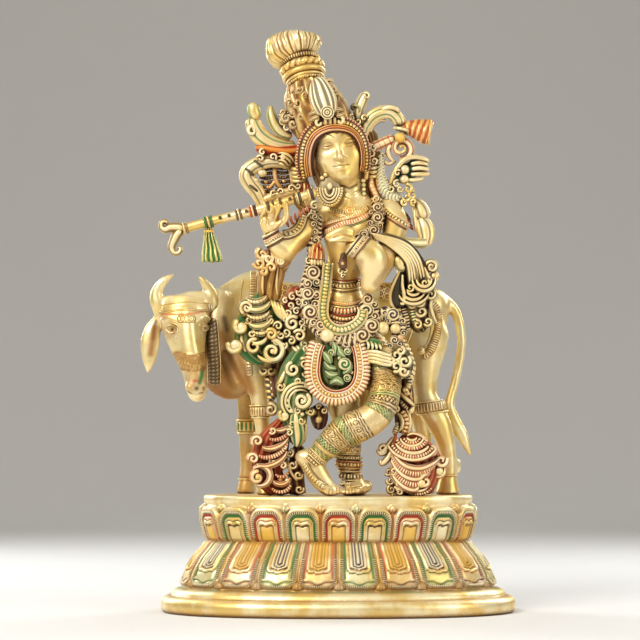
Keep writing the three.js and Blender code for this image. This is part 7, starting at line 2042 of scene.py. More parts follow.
def anklets():
    parts = Parts()

    def ring(px, py, d, r, deep, half, thick, style, ax):
        a = math.radians(ax)
        hoop(parts, px, py, d, r, half, thick, style, deep=deep, step=0.5, sides=14, axis=np.array([-math.sin(a), 0, math.cos(a)]), side=np.array([math.cos(a), 0, math.sin(a)]))

    # standing leg
    for x, y, r, half, thick, style in ((348.6, 457.6, 12.4, 1.2, 1.2, ticked("brown", 2.2, 0.85, 0.6)), (348.8, 461.4, 12.2, 0.9, 1.6, plain("vermilion", 0.6)), (349, 464.4, 11.8, 1.8, 1.4, pearled("maroon", 3.2, 0.9, 1.1, 1.7, 0.95)), (349.2, 467.8, 11.4, 0.9, 1.6, plain("orange", 0.4)), (349.8, 471.2, 10.8, 0.9, 1.3, plain("cream", 0.3)),
                                        (350.8, 476.4, 10.0, 2.1, 1.7, ticked("black", 3.0, 0.8, 0.9, None, 0.9)), (351.4, 480.4, 10.0, 1.0, 2.0, plain("cream", 0.25))):
        ring(x, y, 24.6, r, 1.0, half, thick, style, -3)
    for k in range(15):
        a = math.radians(-84 + 12 * k)
        x, dd = 351.8 + 10.6 * math.sin(a), 25 + 10.2 * math.cos(a)
        ball(parts, at(x, 484.2, dd), (1.55, 1.5, 2.1), tint("cream", 0.3), 12, 8)
    # crossed leg
    for x, y, r, half, thick, style in ((317.8, 455.2, 11.2, 1.0, 1.3, plain("cream", 0.3)), (316.2, 457.2, 11.0, 1.2, 1.1, ticked("maroon", 2.2, 0.9, 0.6)), (314.6, 459.2, 10.8, 1.0, 1.5, plain("cream", 0.25)), (312.6, 461.4, 10.6, 1.3, 1.2, pearled("maroon", 2.6, 0.9, 0.9, 1.7, 0.95)), (310.8, 463.6, 10.4, 1.0, 1.5, plain("amber", 0.3))):
        ring(x, y, 48, r, 0.95, half, thick, style, -43)
    # strap with a beaded fringe along the crossed foot
    strap(parts, foot_solid, [(303.6, 463), (308, 471), (313.6, 478.6), (319.6, 484.4), (325.4, 488)], 2.0, 1.0, step=0.5, sides=14, relief=pearled("black", 2.8, 0.7, 0.9, 1.8, 0.95)[0], colour=pearled("black", 2.8, 0.7, 0.9, 1.8, 0.95)[1], near=90, far=10)
    strap(parts, foot_solid, [(308, 462.4), (312, 470), (317.4, 476.8), (323, 481.8), (329, 485)], 0.7, 1.0, step=0.5, sides=10, colour=plain("brown", 0.7)[1], near=90, far=10)
    for k in range(9):
        t = k / 8
        x, y = 320 + 12.5 * t, 481.5 + 4.2 * t
        p, o = onto(foot_solid, [x], [y], near=90, far=10)
        ball(parts, p[0], (1.2, 1.0, 1.4), tint("cream", 0.3), 10, 7)
    # toe ring pieces
    strap(parts, foot_solid, [(340.5, 484), (347, 486.4), (354, 486.6), (362, 484.6)], 1.4, 1.0, step=0.5, sides=12, relief=ticked("brown", 2.0, 0.8, 0.6)[0], colour=ticked("brown", 2.0, 0.8, 0.6)[1], near=90, far=0)
    parts.piece("anklets", "figure_brass", "flute_player")


trousers()
anklets()


# ------------------------------------------------------------------ shawl, flounces, lap cloth, sashes
def mass(parts, rows, paint="black", amount=0.85, count=9, depth=0.9, step=1.0, sides=64, ends=(1, 1), twist=0.0):
    """Body of a gathered cloth: a swept limb with soft pleats, painted in the folds."""
    relief = lambda S, T: depth * np.cos(count * T + twist * S) + 0.4 * depth * np.cos((2 * count + 1) * T - 0.11 * S)
    relief.long = True
    colour = lambda S, T, h: over(over(bare(S.shape), "amber", 0.35), paint, amount * (0.5 + 0.5 * smooth(1.1 * depth, 0.2 * depth, h)))
    sweep(parts, rows, (relief, colour), step=step, sides=sides, ends=ends)


def curl(parts, x, y, d, r, start, hand, thick, paint, turns=1.35, amount=0.92, count=4, depth=0.7, rise=3.0, flat=1.0, lean=0.0, eye=None, sides=18):
    scroll(parts, x, y, d, r, turns, start, hand, thick, thick * 1.05, grooved(paint, amount, count, depth), step=0.6, sides=sides, rise=rise, squash=flat, lean=lean, eye=eye)


def arcs(parts, x, y, d, radii, a0, a1, thick, paint, flat=1.0, lean=0.0, amount=0.92, tick=0.0, rise=2.0, count=4, taper=0.3, drop=0.0, dd=0.0):
    """Nested crescents that share a middle."""
    for k, r in enumerate(radii):
        t = thick[k] if isinstance(thick, (list, tuple)) else thick
        style = ticked(paint, tick, amount, 0.7, None, 0.85) if tick and k % 2 else grooved(paint, amount, count, 0.7)
        crescent(parts, x, y + drop * k, d - dd * k, r, a0, a1, t, t * 1.15, style, step=0.6, sides=18, squash=flat, lean=lean, rise=rise, taper=taper)


def pearl(parts, x, y, d, r, paint="cream", amount=0.35):
    ball(parts, at(x, y, d), (wide(r, d), wide(r * 0.85, d), wide(r, d)), tint(paint, amount), 16, 11)


def shawl_right():
    parts = Parts()
    # stripes that leave the elbow and turn down
    for k in range(6):
        e = k / 5
        style = grooved("green" if k % 2 else "black", 0.8, 3, 0.6)
        sweep(parts, [(371 + 4 * e, 233.5 + 5.5 * e, 54, 0.9), (380 + 3 * e, 235.5 + 6.5 * e, 55, 1.3), (390 + 2.5 * e, 238 + 10 * e, 55, 1.6), (401 + 0.5 * e, 241.5 + 14 * e, 54, 1.8), (411 - 4 * e, 248 + 15 * e, 52, 1.8), (419 - 10 * e, 259 + 12 * e, 49, 1.7), (423 - 13.5 * e, 272 + 7 * e, 46, 1.4), (424 - 14 * e, 280 + 4 * e, 43, 0.8)], style, step=0.6, sides=16)
    sweep(parts, [(396, 256, 50, 3), (399, 262, 50, 5.4, 4.6), (401.5, 267, 49, 4.8, 4.4), (405, 266, 48, 2.4, 3)], grooved("green", 0.6, 4, 0.6), step=0.7, sides=20)
    mass(parts, [(378, 236, 48, 4, 4), (392, 243, 48, 8, 5), (405, 252, 47, 10, 6), (413, 265, 44, 12, 7), (417, 280, 40, 13, 7), (417, 296, 37, 13, 7), (416, 310, 34, 12, 6.5), (419, 322, 32, 10, 6), (424, 332, 31, 6, 5)], "black", 0.92, 9, 0.9)
    # dark drop-shaped fold with a bright edge
    sweep(parts, [(401, 272, 46, 2.5, 3), (398.5, 281, 45, 5.6, 4.4), (396.4, 291, 43, 7.6, 5), (397.4, 300, 41, 8.0, 5), (400.4, 308, 39, 5.0, 4.4)], (lambda S, T: 0.5 * np.cos(6 * T), lambda S, T, h: over(bare(S.shape), "black", 0.93)), step=0.8, sides=40)
    sweep(parts, [(400, 270.5, 49, 1.2), (395, 281, 48, 1.7), (390.6, 292, 46, 1.9), (390.6, 301.6, 44, 1.9), (395, 309.4, 42, 1.8), (401.8, 310, 41, 1.6)], plain("amber", 0.25), step=0.7, sides=14)
    sweep(parts, [(402.6, 274, 49, 1.2), (402.4, 285, 48, 1.8), (404.2, 295, 46, 2.2), (403.4, 303.6, 44, 2.2), (399.6, 302.4, 44, 1.4)], grooved("green", 0.85, 3, 0.5), step=0.7, sides=16)
    # scrolls below
    arcs(parts, 424, 279.4, 44, (7.4, 11.6), 165, 372, (2.4, 2.4), "black", rise=2.5)
    curl(parts, 425, 283, 45, 4.4, 60, -1, 1.9, "black")
    arcs(parts, 413.4, 287.5, 43, (7.8, 12.4, 16.6), 190, 340, (2.1, 2.4, 2.3), "black", rise=2.5)
    curl(parts, 410.5, 287.6, 45, 4.2, 200, 1, 1.8, "green")
    for x, y, r, s, h, t in ((420.6, 301.6, 5.4, 150, 1, 2.3), (421.4, 311.4, 5.6, 170, 1, 2.4), (430.4, 294.6, 5.2, 70, -1, 2.2), (411.4, 304.6, 4.2, 60, -1, 2.0), (428, 321.6, 4.6, 200, 1, 2.0), (417.4, 324.6, 4.4, 120, -1, 2.0)):
        curl(parts, x, y, 40 if y < 305 else 37, r, s, h, t, "black")
    sweep(parts, [(431, 286, 40, 1.8), (432.4, 295, 39, 2.2), (430.6, 305, 37, 2.3), (433, 315, 35, 2.0), (437, 324, 33, 1.0)], grooved("green", 0.85, 3, 0.6), step=0.7, sides=16)
    # outer knob with its spiral
    pearl(parts, 434.6, 276.6, 40, 5.0, "amber", 0.15)
    curl(parts, 431.6, 266.8, 41, 6.4, 200, -1, 2.5, "black", turns=1.6)
    sweep(parts, [(423, 266, 44, 2.4), (426, 273, 43, 3.0), (430.4, 280, 41, 3.2), (436.4, 279.4, 39, 2.6)], grooved("black", 0.85, 3, 0.6), step=0.7, sides=18)
    # ribbed dark ribbon under it
    sweep(parts, [(402.6, 306, 38, 3.6, 3), (404.6, 314, 37, 3.8, 3), (406.6, 322, 36, 3.6, 3), (407, 330, 35, 2.6, 2.6)], ticked("black", 2.6, 0.95, 1.0, None, 0.95), step=0.5, sides=20)
    sweep(parts, [(411.4, 308, 38, 2.8, 2.6), (413.4, 316, 37, 3.0, 2.8), (416, 324, 36, 2.4, 2.4)], ticked("green", 2.6, 0.9, 0.9, None, 0.95), step=0.5, sides=18)
    parts.piece("shawl_right", "figure_brass", "flute_player")


def shawl_left():
    parts = Parts()
    # pinkish flare under the elbow
    for k, (x, y, s, r, h) in enumerate(((262.4, 254, 100, 6.0, 1), (259.6, 263.4, 170, 5.4, 1), (268.6, 258.4, 60, 5.0, -1), (276.4, 253.6, 110, 4.8, 1), (271.4, 267.4, 220, 4.8, -1), (281.4, 261.4, 30, 4.6, 1), (263.6, 271.6, 150, 4.0, -1))):
        curl(parts, x, y, 50, r, s, h, 2.5, "maroon" if k % 3 == 2 else "pink", amount=0.75)
    mass(parts, [(291, 259, 42, 5, 4), (280, 259, 45, 8, 5), (270, 259, 46, 10, 5.6), (262, 260, 45, 9, 5), (257, 261, 44, 5, 4)], "pink", 0.7, 7, 0.9, sides=48)
    for k in range(5):
        sweep(parts, [(264 + 4.4 * k, 249.5 + 0.6 * k, 49, 1.3), (262.6 + 4.6 * k, 257 + 0.8 * k, 52, 2.0), (263.5 + 4.4 * k, 265.5 + 0.4 * k, 50, 1.5)], plain("pink" if k % 2 else "cream", 0.5), step=0.7, sides=12)
    # amber fall below
    mass(parts, [(274, 262, 42, 11, 7), (272, 272, 40, 12, 7), (270, 284, 37, 11.4, 7), (269, 296, 35, 10, 6.4), (268, 304, 34, 6, 5)], "amber", 0.70, 7, 1.3, sides=84)
    for k in range(3):
        x = 263 + 7.0 * k
        sweep(parts, [(x + 1, 265, 46, 0.8), (x, 275, 45.4, 1.3), (x - 0.6, 286, 42.6, 1.4), (x + 0.4, 296, 39.6, 0.8)], plain("cream", 0.30), step=0.8, sides=12)
    parts.piece("shawl_left", "figure_brass", "flute_player")
    parts = Parts()
    # green flounce on the cow's shoulder
    mass(parts, [(272, 292, 32, 7, 6), (266, 304, 33, 15, 8), (260, 318, 33, 20, 9), (257, 332, 33, 22, 9), (258, 346, 32, 20, 9), (264, 357, 31, 12, 7), (268, 362, 30, 6, 5)], "green", 0.97, 11, 1.0, sides=90)
    for k, (x, y, r, a0, a1, t, p) in enumerate(((256.6, 294.6, 10.4, 190, 335, 3.1, "black"), (257.4, 300.6, 12.6, 185, 340, 3.3, "green"), (258.0, 309.4, 12.0, 190, 335, 3.2, "black"), (259.4, 317.4, 12.4, 195, 335, 3.2, "green"), (261.4, 325.4, 11.0, 200, 330, 2.8, "black"))):
        crescent(parts, x, y, 42 - 0.5 * k, r, a0, a1, t, t * 1.2, grooved(p, 0.92, 5, 0.9, ticks=0.0 if k % 2 else 2.6), step=0.6, sides=22, squash=0.72, rise=3.0, lean=12)
    curl(parts, 247, 307.6, 43, 6.6, 250, -1, 3.0, "black", turns=1.5)
    pearl(parts, 244.6, 312.6, 40, 4.6, "amber", 0.2)
    curl(parts, 241.4, 326.6, 41, 7.0, 110, 1, 3.4, "leaf", turns=1.2, amount=0.5)
    pearl(parts, 241.6, 326.8, 43, 4.6, "cream", 0.5)
    curl(parts, 235.8, 345.4, 40, 7.4, 150, 1, 3.4, "leaf", turns=1.2, amount=0.4)
    pearl(parts, 235.6, 344.8, 42.5, 5.0, "cream", 0.5)
    sweep(parts, [(243, 333.6, 37, 2.0), (241.6, 339, 37, 2.2), (243.6, 345.6, 38, 2.4), (246, 352, 37, 1.6)], grooved("black", 0.9, 3, 0.6), step=0.7, sides=16)
    # curls of the lower half
    curl(parts, 254, 346.4, 41, 7.6, 60, 1, 3.0, "black", turns=1.3)
    arcs(parts, 258.6, 336.6, 41, (8.4,), 200, 345, (2.8,), "green", flat=0.8, lean=18)
    curl(parts, 271, 334.2, 43, 5.4, 150, -1, 2.5, "yellow", turns=1.5, amount=0.6)
    curl(parts, 272.4, 351.4, 41, 11.8, 100, -1, 3.6, "green", turns=1.5, eye=2.6)
    arcs(parts, 270.4, 346.6, 39, (15.6,), 205, 320, (3.0,), "brown", flat=0.9, lean=8)
    for k in range(4):
        sweep(parts, [(270.5 + 3.4 * k, 299.6 + 1.5 * k, 38, 1.6), (273.5 + 3.3 * k, 306.5 + 1.6 * k, 41, 2.4), (278 + 3.0 * k, 314.5 + 1.2 * k, 41, 2.5), (283.6 + 1.4 * k, 321 - 0.6 * k, 39, 1.2)], grooved("green" if k % 2 else "leaf", 0.85, 3, 0.7), step=0.6, sides=18)
    for x, y, r, s, h, p in ((270.6, 320.6, 4.4, 60, 1, "green"), (278, 326, 4.6, 200, -1, "green"), (281, 335.4, 4.2, 100, 1, "black"), (276.4, 341.4, 3.8, 0, -1, "green"), (262.4, 331.6, 3.8, 140, 1, "green"), (283.4, 345.6, 3.8, 60, -1, "green"), (251.6, 333.6, 4.0, 90, -1, "green"), (248.6, 320.4, 3.8, 200, 1, "green")):
        curl(parts, x, y, 41, r, s, h, 1.9, p)
    parts.piece("flounce_left", "figure_brass", "flute_player")


def lap():
    parts = Parts()
    # red patterned cloth and the dark flowered one below it, left of the lap
    mass(parts, [(297, 286, 32, 6, 5), (294, 298, 33, 8.6, 6), (293, 310, 34, 9, 6), (294, 318, 33, 6, 5)], "red", 0.9, 7, 0.9, sides=60)
    for x, y, r, s, h, p in ((292.4, 296.6, 3.8, 60, 1, "red"), (298.6, 302.4, 3.8, 160, -1, "red"), (290.6, 305.4, 3.6, 250, 1, "red"), (296.6, 311.2, 3.8, 20, 1, "maroon"), (299.6, 293, 3.2, 120, 1, "vermilion"), (288.6, 313.6, 3.6, 200, -1, "vermilion"), (285.4, 300.6, 3.0, 40, 1, "red")):
        curl(parts, x, y, 40, r, s, h, 1.7, p, count=3, depth=0.55)
    mass(parts, [(295, 314, 32, 8, 6), (294, 326, 33, 12, 7), (294, 338, 33, 12.5, 7), (298, 347, 34, 8, 6)], "black", 0.95, 8, 0.9, sides=64)
    curl(parts, 292.4, 323.4, 41, 7.2, 40, 1, 3.0, "black", turns=1.5)
    curl(parts, 299.4, 335.6, 41, 6.2, 160, -1, 2.6, "black", turns=1.4)
    for x, y, r, s, h, p in ((301.6, 322.6, 3.8, 100, -1, "black"), (286.4, 332.6, 4.4, 220, 1, "green"), (291.4, 340.6, 4.2, 120, -1, "green"), (303.4, 328.6, 3.4, 20, 1, "maroon"), (285.6, 318.6, 3.6, 60, -1, "black"), (304.6, 344.2, 4.0, 80, 1, "green")):
        curl(parts, x, y, 40, r, s, h, 1.9, p)
    for k in range(4):
        sweep(parts, [(292 + 4.2 * k, 346.5 - 0.8 * k, 38, 1.6), (296 + 3.8 * k, 350 - 0.5 * k, 41, 2.3), (301 + 3.2 * k, 354.4, 41, 2.0), (305.5 + 2.4 * k, 360, 40, 1.0)], grooved("green", 0.8, 3, 0.7), step=0.6, sides=16)
    # cloth inside the loop of the girdle: leaves and flowers on dark green
    mass(parts, [(338, 338, 42, 16, 6), (337, 350, 44, 20, 7), (337, 364, 45, 21, 7), (337, 378, 46, 19, 7), (337, 390, 46, 11, 6)], "green", 0.95, 9, 0.8, sides=72)
    for x, y, r, t in ((344.6, 364, 6.4, 0.3), (347.6, 351.4, 3.8, 1.0), (347.4, 378, 4.0, 2.0), (331.4, 352.8, 3.6, 2.6)):
        flower(parts, x, y, 54.5, r, "green", turns=1.5, start=t)
    for rows in ([(323.6, 352, 51, 1.2), (328, 357.6, 54, 2.8), (331, 364, 54, 1.0)], [(338, 346, 51, 1.2), (340.4, 352.6, 54, 2.4), (345.4, 357, 54, 1.0)], [(325, 371, 51, 1.2), (331, 375, 54, 2.6), (338, 374, 54, 1.0)], [(330, 384, 51, 1.4), (336.6, 380.4, 54, 3.0), (343.6, 384.6, 54, 1.2)], [(351, 362, 51, 1.0), (349, 369, 54, 2.0), (343, 374, 54, 1.0)], [(324, 361, 51, 1.0), (329.6, 367.6, 53, 2.2), (336.6, 368.4, 53, 1.0)], [(333, 342, 51, 1.0), (335.4, 348, 53, 2.0), (334.6, 356, 53, 0.9)]):
        rows = [(x, y, d + 1.0, 1.35 * a) for x, y, d, a in rows]
        # cream on the leaves' crests is painted highlight
        sweep(parts, rows, (lambda S, T: 0.5 * np.cos(4 * T), lambda S, T, h: over(over(bare(S.shape), "leaf", 0.75), "cream", 0.70 * smooth(0.0, 0.4, h) * (np.cos(T) > 0.1))), step=0.6, sides=20)
    pearl(parts, 339.4, 358, 54, 2.2, "mint", 0.5)
    pearl(parts, 352, 372.6, 53, 2.2, "cream", 0.4)
    # girdle loop
    loop = [(318.6, 342.4, 47), (315.6, 350, 49), (313.4, 362, 51), (312.8, 374, 52.5), (316.2, 386, 53.5), (324.6, 394.6, 54), (336.4, 397.4, 54.5), (348.6, 394.4, 54), (357.4, 386.6, 53.5), (361.4, 375, 52.5), (361.4, 362, 51), (359.6, 350.4, 49), (357.4, 343.4, 47)]
    sweep(parts, [(x, y, d, 7.2, 2.6) for x, y, d in loop], plain("red", 0.92), step=1.0, sides=24, power=2.8)
    p = np.array(loop)
    along = unit(np.gradient(p[:, :2], axis=0))

    def along_loop(off, half, thick, style, lift=0.0, sides=14, step=0.5):
        q = p[:, :2] + np.stack([along[:, 1], -along[:, 0]], -1) * off
        sweep(parts, [(q[i, 0], q[i, 1], p[i, 2] + lift, half, thick) for i in range(len(p))], style, step=step, sides=sides)

    out = -1  # towards the outside of the loop
    along_loop(out * 4.7, 3.1, 3.2, ruffled("red", 3.3, 0.97, 1.3, "white"), 1.0, sides=22)
    along_loop(out * 1.3, 1.15, 1.9, plain("white", 0.6), 2.6, 12, 0.8)
    along_loop(out * -1.5, 2.1, 1.6, pearled("red", 3.0, 0.97, 1.3, 1.9, 1.2), 2.6, 20)
    along_loop(out * -4.1, 1.0, 1.8, plain("white", 0.55), 2.6, 12, 0.8)
    along_loop(out * -5.5, 0.7, 1.3, plain("red", 0.95), 2.2, 10, 0.8)
    along_loop(out * -6.7, 0.9, 1.5, plain("pink", 0.55), 2.2, 10, 0.8)
    parts.piece("lap_cloth", "figure_brass", "flute_player")


def middle_flounce():
    parts = Parts()
    mass(parts, [(312, 344, 36, 8, 6), (304, 358, 39, 14, 8), (298, 372, 41, 17, 9), (295, 388, 42, 18, 9), (294, 404, 42, 16, 9), (295, 420, 41, 12, 8), (297, 434, 40, 9, 7), (298, 446, 39, 5, 5)], "green", 0.92, 10, 1.0, sides=90)
    curl(parts, 293, 369.4, 49, 7.0, 90, 1, 2.9, "green", turns=1.5)
    curl(parts, 304.4, 363.4, 49, 5.6, 140, -1, 2.4, "green", turns=1.4)
    sweep(parts, [(289.6, 361, 44, 1.4), (286, 370, 46, 2.2), (281.6, 379, 47, 2.8), (278.4, 386, 46, 2.6), (281, 391.6, 46, 1.4)], grooved("green", 0.75, 3, 0.7), step=0.6, sides=18)
    curl(parts, 280.6, 387, 48, 4.4, 60, -1, 2.0, "black")
    # great whorl: arcs round a bright spiral, with pearls
    curl(parts, 302, 400.4, 52, 8.0, 60, -1, 3.4, "green", turns=1.6, eye=1.6)
    arcs(parts, 300.6, 401.6, 48, (11.6, 15.2, 18.8), 38, 232, (1.9, 2.1, 2.3), "green", taper=0.45, rise=1.0)
    for k in range(6):
        a = math.radians(172 + 27 * k)
        pearl(parts, 300 + 12.4 * math.cos(a), 402 - 12.4 * math.sin(a), 49, 2.4 + 0.2 * (k % 2), "mint" if k % 2 else "cream", 0.45)
    curl(parts, 284.6, 415.6, 46, 5.4, 110, 1, 2.6, "leaf", turns=1.2, amount=0.5)
    pearl(parts, 285, 415.4, 48.4, 3.6, "cream", 0.45)
    # hanging leaf below with bright edges
    sweep(parts, [(296, 412, 46, 4, 4), (296, 422, 47, 6.6, 5), (297.4, 433, 46, 7.4, 5), (297.6, 441, 44, 5.4, 4.4), (296.4, 447, 42, 1.6, 2)], grooved("green", 0.9, 6, 1.0), step=0.6, sides=34)
    sweep(parts, [(303.4, 416, 44, 1.4), (305.4, 426, 45, 2.0), (304.6, 437, 44, 2.1), (299.6, 447, 42, 1.2)], plain("cream", 0.3), step=0.7, sides=14)
    for x, y, r, s, h in ((292, 424, 3.8, 200, 1), (301.4, 421, 3.6, 20, -1), (289.4, 432.6, 3.6, 150, -1), (298, 410.6, 3.4, 100, 1), (310.4, 412, 3.6, 60, -1), (308, 384.6, 4.0, 20, 1), (298.4, 381.4, 3.6, 240, -1), (306.4, 373.6, 3.8, 160, 1)):
        curl(parts, x, y, 48, r, s, h, 1.8, "green")
    # dark bell-shaped fold right of it
    mass(parts, [(318, 404, 36, 6, 5), (319, 414, 38, 9, 6), (319, 424, 38, 7, 5), (318, 430, 37, 3, 3)], "maroon", 0.95, 7, 0.8, sides=44)
    for x, y, r, s, h in ((313.6, 411.6, 3.4, 90, 1), (324, 410.6, 3.4, 90, -1), (318.6, 407, 2.8, 0, 1)):
        curl(parts, x, y, 44, r, s, h, 1.5, "maroon", count=3)
    pearl(parts, 318.6, 419.6, 44, 3.8, "amber", 0.3)
    # heart pair, banded ribbon and pale curl at the far left
    for s in (-1, 1):
        curl(parts, 267.6 + 3.4 * s, 370.6, 22, 4.2, 90 - 60 * s, -s, 2.3, "brown", turns=1.1, amount=0.5)
    sweep(parts, [(268, 362, 18, 3.0), (268, 369, 20, 4.6, 3.4), (268, 376, 19, 3.0)], plain("cream", 0.3), step=0.8, sides=16)
    sweep(parts, [(269, 374, 17, 4.0, 3), (270, 384, 18, 5.0, 3.4), (271, 394, 19, 4.8, 3.4), (272, 402, 20, 3.6, 3)], (lambda S, T: 0.7 * np.cos(TAU * S / 5.5 + 1.6 * T), lambda S, T, h: over(bare(S.shape), "purple", 0.9 * (h < 0.1) * (np.cos(T) > -0.2))), step=0.6, sides=28)
    curl(parts, 271, 409.6, 23, 6.2, 120, -1, 2.8, "maroon", turns=1.4, amount=0.7)
    mass(parts, [(284, 346, 20, 7, 5), (279, 362, 18, 8, 5), (277, 380, 18, 7, 5), (278, 398, 20, 6, 5)], "maroon", 0.9, 6, 0.8, sides=48)
    parts.piece("flounce_middle", "figure_brass", "flute_player")


def low_left():
    parts = Parts()
    mass(parts, [(288, 416, 33, 5, 5), (282, 428, 33, 10, 7), (275, 440, 33, 14.5, 9), (270, 452, 33, 16.5, 10), (268, 464, 33, 16, 10), (269, 475, 33, 14.5, 9.5), (275, 484, 33, 11.5, 9), (280.5, 491, 33, 9.6, 8.5), (281, 495.6, 33, 9.2, 8)], "red", 0.92, 13, 1.1, sides=110, ends=(1, 0.2))
    mass(parts, [(300, 444, 30, 4, 5), (297, 457, 30, 6.4, 6.4), (296, 471, 31, 7.6, 7), (297, 485, 31, 7.6, 8), (298, 495.4, 31, 7.4, 8)], "maroon", 0.92, 7, 1.0, sides=60, ends=(1, 0.2))
    for k, (x, y, r, a0, a1, t, tick) in enumerate(((283, 424, 9.5, 195, 330, 2.2, 0), (279, 431, 12.5, 195, 335, 2.3, 2.2), (274.6, 438.4, 15, 190, 335, 2.5, 0), (272, 446, 16.5, 190, 335, 2.6, 2.2), (270.4, 454, 17.5, 192, 338, 2.5, 0))):
        style = ticked("red", tick, 0.9, 0.8, None, 0.9) if tick else grooved("red", 0.92, 5, 0.8)
        crescent(parts, x, y, 43 + 0.4 * k, r, a0, a1, t, t * 1.2, style, step=0.55, sides=20, squash=0.62, rise=2.5, lean=26, taper=0.35)
    curl(parts, 257.4, 441, 43, 5.6, 230, -1, 2.5, "red", turns=1.4)
    curl(parts, 253.4, 458.6, 43, 5.4, 200, -1, 2.4, "vermilion", turns=1.4)
    # round whorl at the cow's second hoof: a ball and its rim, dark between them
    curl(parts, 257.4, 477.4, 45, 6.2, 70, 1, 3.0, "vermilion", turns=1.3, eye=2.4)
    mass(parts, [(261, 466.4, 40, 4, 3), (260.6, 471, 40, 8.6, 4.4), (260.4, 476, 40, 10, 5), (260.6, 481, 40, 8.6, 4.4), (261, 485, 40, 4, 3)], "maroon", 0.95, 5, 0.5, sides=48)
    crescent(parts, 260.6, 475.8, 43, 9.6, -118, 140, 2.8, 3.2, grooved("red", 0.9, 4, 0.8), step=0.55, sides=22, rise=2.5, taper=0.5)
    # small shell below it, on the plinth
    for k, (x, y, r, a0, a1, t, tick) in enumerate(((281.6, 471.6, 6.6, 190, 350, 1.9, 2.2), (281.2, 477.4, 8.6, 190, 350, 2.1, 0), (281, 484.6, 9.4, 190, 352, 2.3, 2.2))):
        style = ticked("red", tick, 0.9, 0.8, None, 0.9) if tick else grooved("red", 0.92, 5, 0.8)
        crescent(parts, x, y, 43.5, r, a0, a1, t, t * 1.2, style, step=0.55, sides=20, squash=0.82, rise=2.5, lean=10, taper=0.45)
    for x, y, r, p in ((280.4, 479.4, 2.6, "vermilion"), (287.4, 481.2, 3.4, "cream"), (276.6, 483.6, 2.2, "red")):
        pearl(parts, x, y, 44.5, r, p, 0.45)
    for x, y, r, s, h, p in ((273.4, 462.4, 4.2, 100, 1, "red"), (292.6, 465, 4.4, 60, -1, "red"), (299.4, 489.4, 4.4, 30, -1, "maroon"), (290, 453.4, 4.0, 90, -1, "maroon"), (284.4, 447, 3.8, 20, 1, "red"), (272.6, 430.6, 3.4, 200, 1, "red"), (298.4, 475, 4.2, 20, -1, "maroon"), (283, 465.6, 3.6, 150, -1, "red")):
        curl(parts, x, y, 44 if x < 290 else 39, r, s, h, 1.9, p)
    sweep(parts, [(287.4, 458, 38, 1.0), (288.6, 466, 40, 1.8), (292, 474, 40, 1.9), (297.6, 481, 39, 1.2)], grooved("maroon", 0.8, 3, 0.5), step=0.6, sides=16)
    parts.piece("flounce_low_left", "figure_brass", "flute_player")


